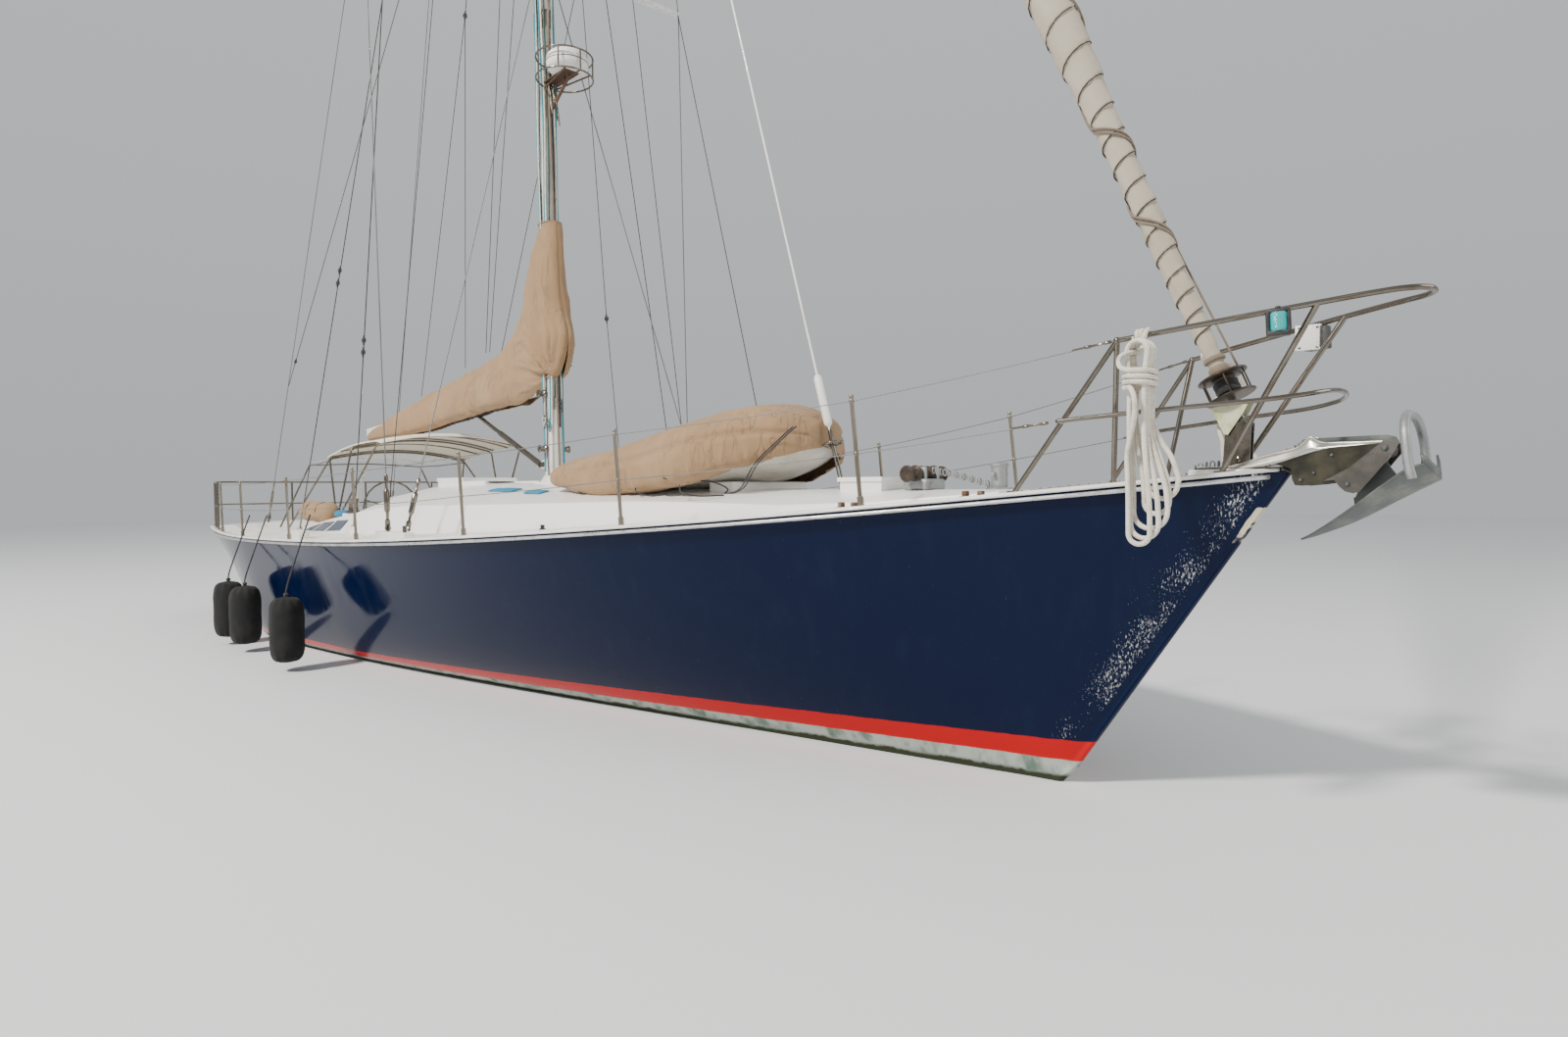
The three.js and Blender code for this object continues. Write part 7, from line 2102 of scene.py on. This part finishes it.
# %% Hatch covers and cushion
for name, low, high in (("hatch_cover_aft", (0.10, -0.80), (0.62, -0.66)),
                        ("hatch_cover_fore", (0.98, -0.86), (1.30, -0.74))):
    rows = []
    for i in range(25):
        x = mix(low[0], high[0], i / 24)
        row = []
        for j in range(17):
            y = mix(low[1], high[1], j / 16)
            edge = min(min(x - low[0], high[0] - x), min(y - low[1], high[1] - y))
            puff = 0.016 * clamp01(edge / 0.03) ** 0.5 + 0.006 * noise.noise(Vector((x * 5, y * 5, 1)))
            row.append(Vector((x, y, deck_at(x, y) + 0.004 + puff)))
        rows.append(row[::-1])
    cap, area = thin_skin(name, rows, 0.003, turquoise_canvas, "cream_canvas")
rings = []
for i in range(61):
    t = i / 60
    x = mix(-3.24, -2.94, t)
    thin = (1 - abs(2 * t - 1) ** 6) ** 0.5 * 0.98 + 0.02
    ring = []
    for k in range(40):
        a = math.tau * k / 40
        soft = 0.04 * noise.noise(Vector((x * 6, math.cos(a), math.sin(a))))
        flat = abs(math.sin(a)) ** 0.7 * math.copysign(1, math.sin(a))
        ring.append(Vector((x, -1.22 + 0.085 * thin * (1 + soft) * math.cos(a),
                            1.60 + 0.05 * thin * (1 + soft) * flat)))
    rings.append(ring)
cushion = lofted("coaming_cushion", rings, turquoise_canvas, "cream_canvas")

# %% Fairleads and vents
rusty_iron = finish("rusty_iron", (0.16, 0.085, 0.045), (0.38, 0.30, 0.22), 0.75, 0.4, patches=(24.0, 0.9))
leads = []
for x, side in ((5.35, -1), (6.10, -1), (5.35, 1), (6.10, 1)):
    at = deck_foot(x, side, 0.14, 0.020)
    leads.append(block_bits((at.x - 0.09, at.y - 0.022, at.z - 0.02),
                            (at.x + 0.09, at.y + 0.022, at.z + 0.012), 0.006))
    for dx in (-0.055, 0.055):
        leads.append(block_bits((at.x + dx - 0.018, at.y - 0.020, at.z + 0.008),
                                (at.x + dx + 0.018, at.y + 0.020, at.z + 0.045), 0.008))
made_of("deck_fairleads", leads, rusty_iron, "galvanised_steel")
vents = [turned_bits([(0.0, 0.0), (0.032, 0.0), (0.032, 0.008), (0.018, 0.014), (0.018, 0.034),
                      (0.026, 0.042), (0.0, 0.046)],
                     (x, y, deck_at(x, y) - 0.002), (0, 0, 1), 32) for x, y in ((2.05, -1.25), (2.05, 1.25))]
made_of("deck_vents", vents, *PLASTIC, limit=30)

# %% Windlass and post
gear = [block_bits((5.175, -0.120, 1.878), (5.385, 0.120, 1.960), 0.018)]
for y in (-0.075, 0.075):
    gear.append(block_bits((5.205, y - 0.012, 1.95), (5.355, y + 0.012, 2.045), 0.008))
made_of("windlass_frame", gear, galvanised, "galvanised_steel", stands_for=("windlass",))
gear = []
for side in (-1, 1):
    gear.append(turned_bits([(0.030, 0.0), (0.062, 0.004), (0.064, 0.014), (0.044, 0.030), (0.038, 0.060),
                             (0.044, 0.092), (0.060, 0.106), (0.060, 0.116), (0.034, 0.124), (0.0, 0.126)],
                            (5.28, side * 0.098, 1.995), (0, side, 0), 36))
gear.append(turned_bits([(0.0, -0.05), (0.058, -0.05), (0.060, -0.03), (0.040, -0.012), (0.040, 0.012),
                         (0.060, 0.03), (0.058, 0.05), (0.0, 0.05)], (5.28, 0, 1.995), (0, 1, 0), 36))
made_of("windlass_drums", gear, drum_brown, "black_plastic", limit=30)
post = [turned_bits([(0.0, 0.0), (0.088, 0.0), (0.088, 0.012), (0.056, 0.018), (0.054, 0.150), (0.062, 0.160),
                     (0.062, 0.172), (0.050, 0.180), (0.0, 0.182)], (5.90, 0, 1.880), (0, 0, 1), 40),
        rod_bits((5.90, -0.090, 1.985), (5.90, 0.090, 1.985), 0.014)]
made_of("mooring_post", post, galvanised, "galvanised_steel", limit=30, stands_for=("mooring_bitt",))

# %% [markdown]
# ## Fenders
# Each fender is an air-filled sausage in a knitted black sleeve that is drawn together at both ends. The
# sleeve softens its outline, and the rope that hangs it is knotted through the top.

# %% Fenders
fender_cloth = finish("fender_cloth", (0.006, 0.006, 0.0065), (0.022, 0.020, 0.017), 0.95, patches=(5.0, 0.6),
                      grain=(260.0, 0.4, 0.002), Sheen_Weight=0.05)
for name, x in (("fender_a", -1.15), ("fender_b", -2.75), ("fender_c", -3.50)):
    low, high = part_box(name)
    body_top, body_low = low[2] + 0.70, low[2] + 0.005
    centre = Vector(((low[0] + high[0]) / 2, low[1] + 0.158, 0))
    rings = []
    for i in range(41):
        t = i / 40
        s = abs(2 * t - 1)
        radius = 0.150 * (1 - s ** 5.5) ** 0.42 + 0.016
        z = mix(body_low, body_top, t)
        ring = []
        for k in range(48):
            a = math.tau * k / 48
            pleat = 0.010 * math.sin(11 * a + 2 * t) * s ** 4 + 0.004 * noise.noise(Vector((a * 2, t * 6, x)))
            ring.append(Vector((centre.x + (radius + pleat) * math.cos(a),
                                centre.y + (radius + pleat) * math.sin(a), z)))
        rings.append(ring)
    fender = lofted(f"{name}_sleeve", rings, fender_cloth, "black_rubber", stands_for=(name,))
    top = Vector((centre.x, centre.y, body_top))
    rail = Vector((centre.x, -(deck_half(centre.x) - 0.02), sheer(centre.x) + 0.30))
    hang = smooth_run([top - Vector((0, 0, 0.03)), top + Vector((0, 0.01, 0.10)),
                       top.lerp(rail, 0.5) - Vector((0, 0.015, 0)), rail], 8)
    tubes(f"{name}_line", [hang], 0.008, *DARK_LINE, sides=10)
    knot = turned_bits([(0.006, -0.02), (0.020, -0.015), (0.026, 0.0), (0.020, 0.016), (0.006, 0.022)],
                       top + Vector((0, 0, 0.02)), (0, 0, 1), 20)
    made_of(f"{name}_knot", [knot], *DARK_LINE)

# %% Rolled canvas on the coaming
rings = []
for i in range(41):
    t = i / 40
    x = mix(-4.42, -3.33, t)
    radius = 0.115 * (1 - abs(2 * t - 1) ** 9) ** 0.5 * (1 - 0.10 * math.exp(-((t - 0.33) / 0.03) ** 2)
                                                       - 0.10 * math.exp(-((t - 0.70) / 0.03) ** 2)) + 0.012
    ring = []
    for k in range(40):
        a = math.tau * k / 40
        r = radius * (1 + 0.08 * noise.noise(Vector((x * 3, math.cos(a), math.sin(a))))
                      + 0.03 * math.sin(6 * a + 9 * t))
        ring.append(Vector((x, -1.27 + r * 1.05 * math.cos(a), 1.625 - 0.02 * t + r * 1.1 * math.sin(a))))
    rings.append(ring)
bundle = lofted("rolled_canvas", rings, *TAN)
ties = [[Vector((mix(-4.42, -3.33, t), -1.27 + 0.122 * math.cos(a), 1.62 + 0.125 * math.sin(a)))
         for a in (math.tau * k / 30 for k in range(31))] for t in (0.33, 0.70)]
tubes("rolled_canvas_ties", ties, 0.006, *DARK_LINE, sides=8)

# %% Cords on the dinghy cover
cords = [[(x, -0.80, 1.93), (x + 0.05, -0.815, 1.87), (x + 0.16, -0.74, 1.84), (x + 0.32, -0.60, 1.845)]
         for x in (2.826, 3.438, 1.92)]
cords += [[(4.24 + shift, -0.30, 2.38), (4.20 + shift, -0.385, 2.30), (4.02 + shift, -0.50, 2.10),
           (3.84 + shift, -0.50, 1.90), (3.60, -0.47, 1.845)] for shift in (0.0, 0.035)]
cords.append([(3.60, -0.47, 1.845), (3.68, -0.50, 1.90), (3.52, -0.56, 1.96), (3.36, -0.72, 1.955),
              (3.22, -0.80, 1.99)])
cords = [smooth_run(cord, 6) for cord in cords]
tubes("dinghy_cords", cords, 0.006, *DARK_LINE, sides=8)

# %% Awning ribs
rib_paths = []
for x in (-2.46, -2.90, -3.35, -3.80, -4.28):
    edge, half, crown_up = table_at(AWNING, x)
    rib_paths.append([Vector((x, f * half * 0.99, edge + crown_up * (1 - f * f) - 0.016))
                      for f in (k / 16 - 1 for k in range(33))])
tubes("awning_ribs", rib_paths, 0.010, *POSTS, sides=10)
valance = []
for side in (-1, 1):
    valance.append([Vector((x, side * table_at(AWNING, x)[1], table_at(AWNING, x)[0] - 0.004))
                    for x in (mix(-2.42, -4.36, k / 40) for k in range(41))])
tubes("awning_edge", valance, 0.009, cream_canvas, "cream_canvas", sides=8)
# %% Mainsheet
SHEET_TOP, SHEET_FOOT = Vector((-5.40, 0.0, 2.69)), Vector((-6.35, 0.0, 1.42))
for number, y in enumerate((-0.025, 0.0, 0.025)):
    path = led(SHEET_TOP + Vector((0, y, 0)), SHEET_FOOT + Vector((0, y, 0)))
    fall = tubes(f"mainsheet_{number}", [path], 0.006, white_rope, "rope", sides=8, body=None)
    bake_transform(fall)
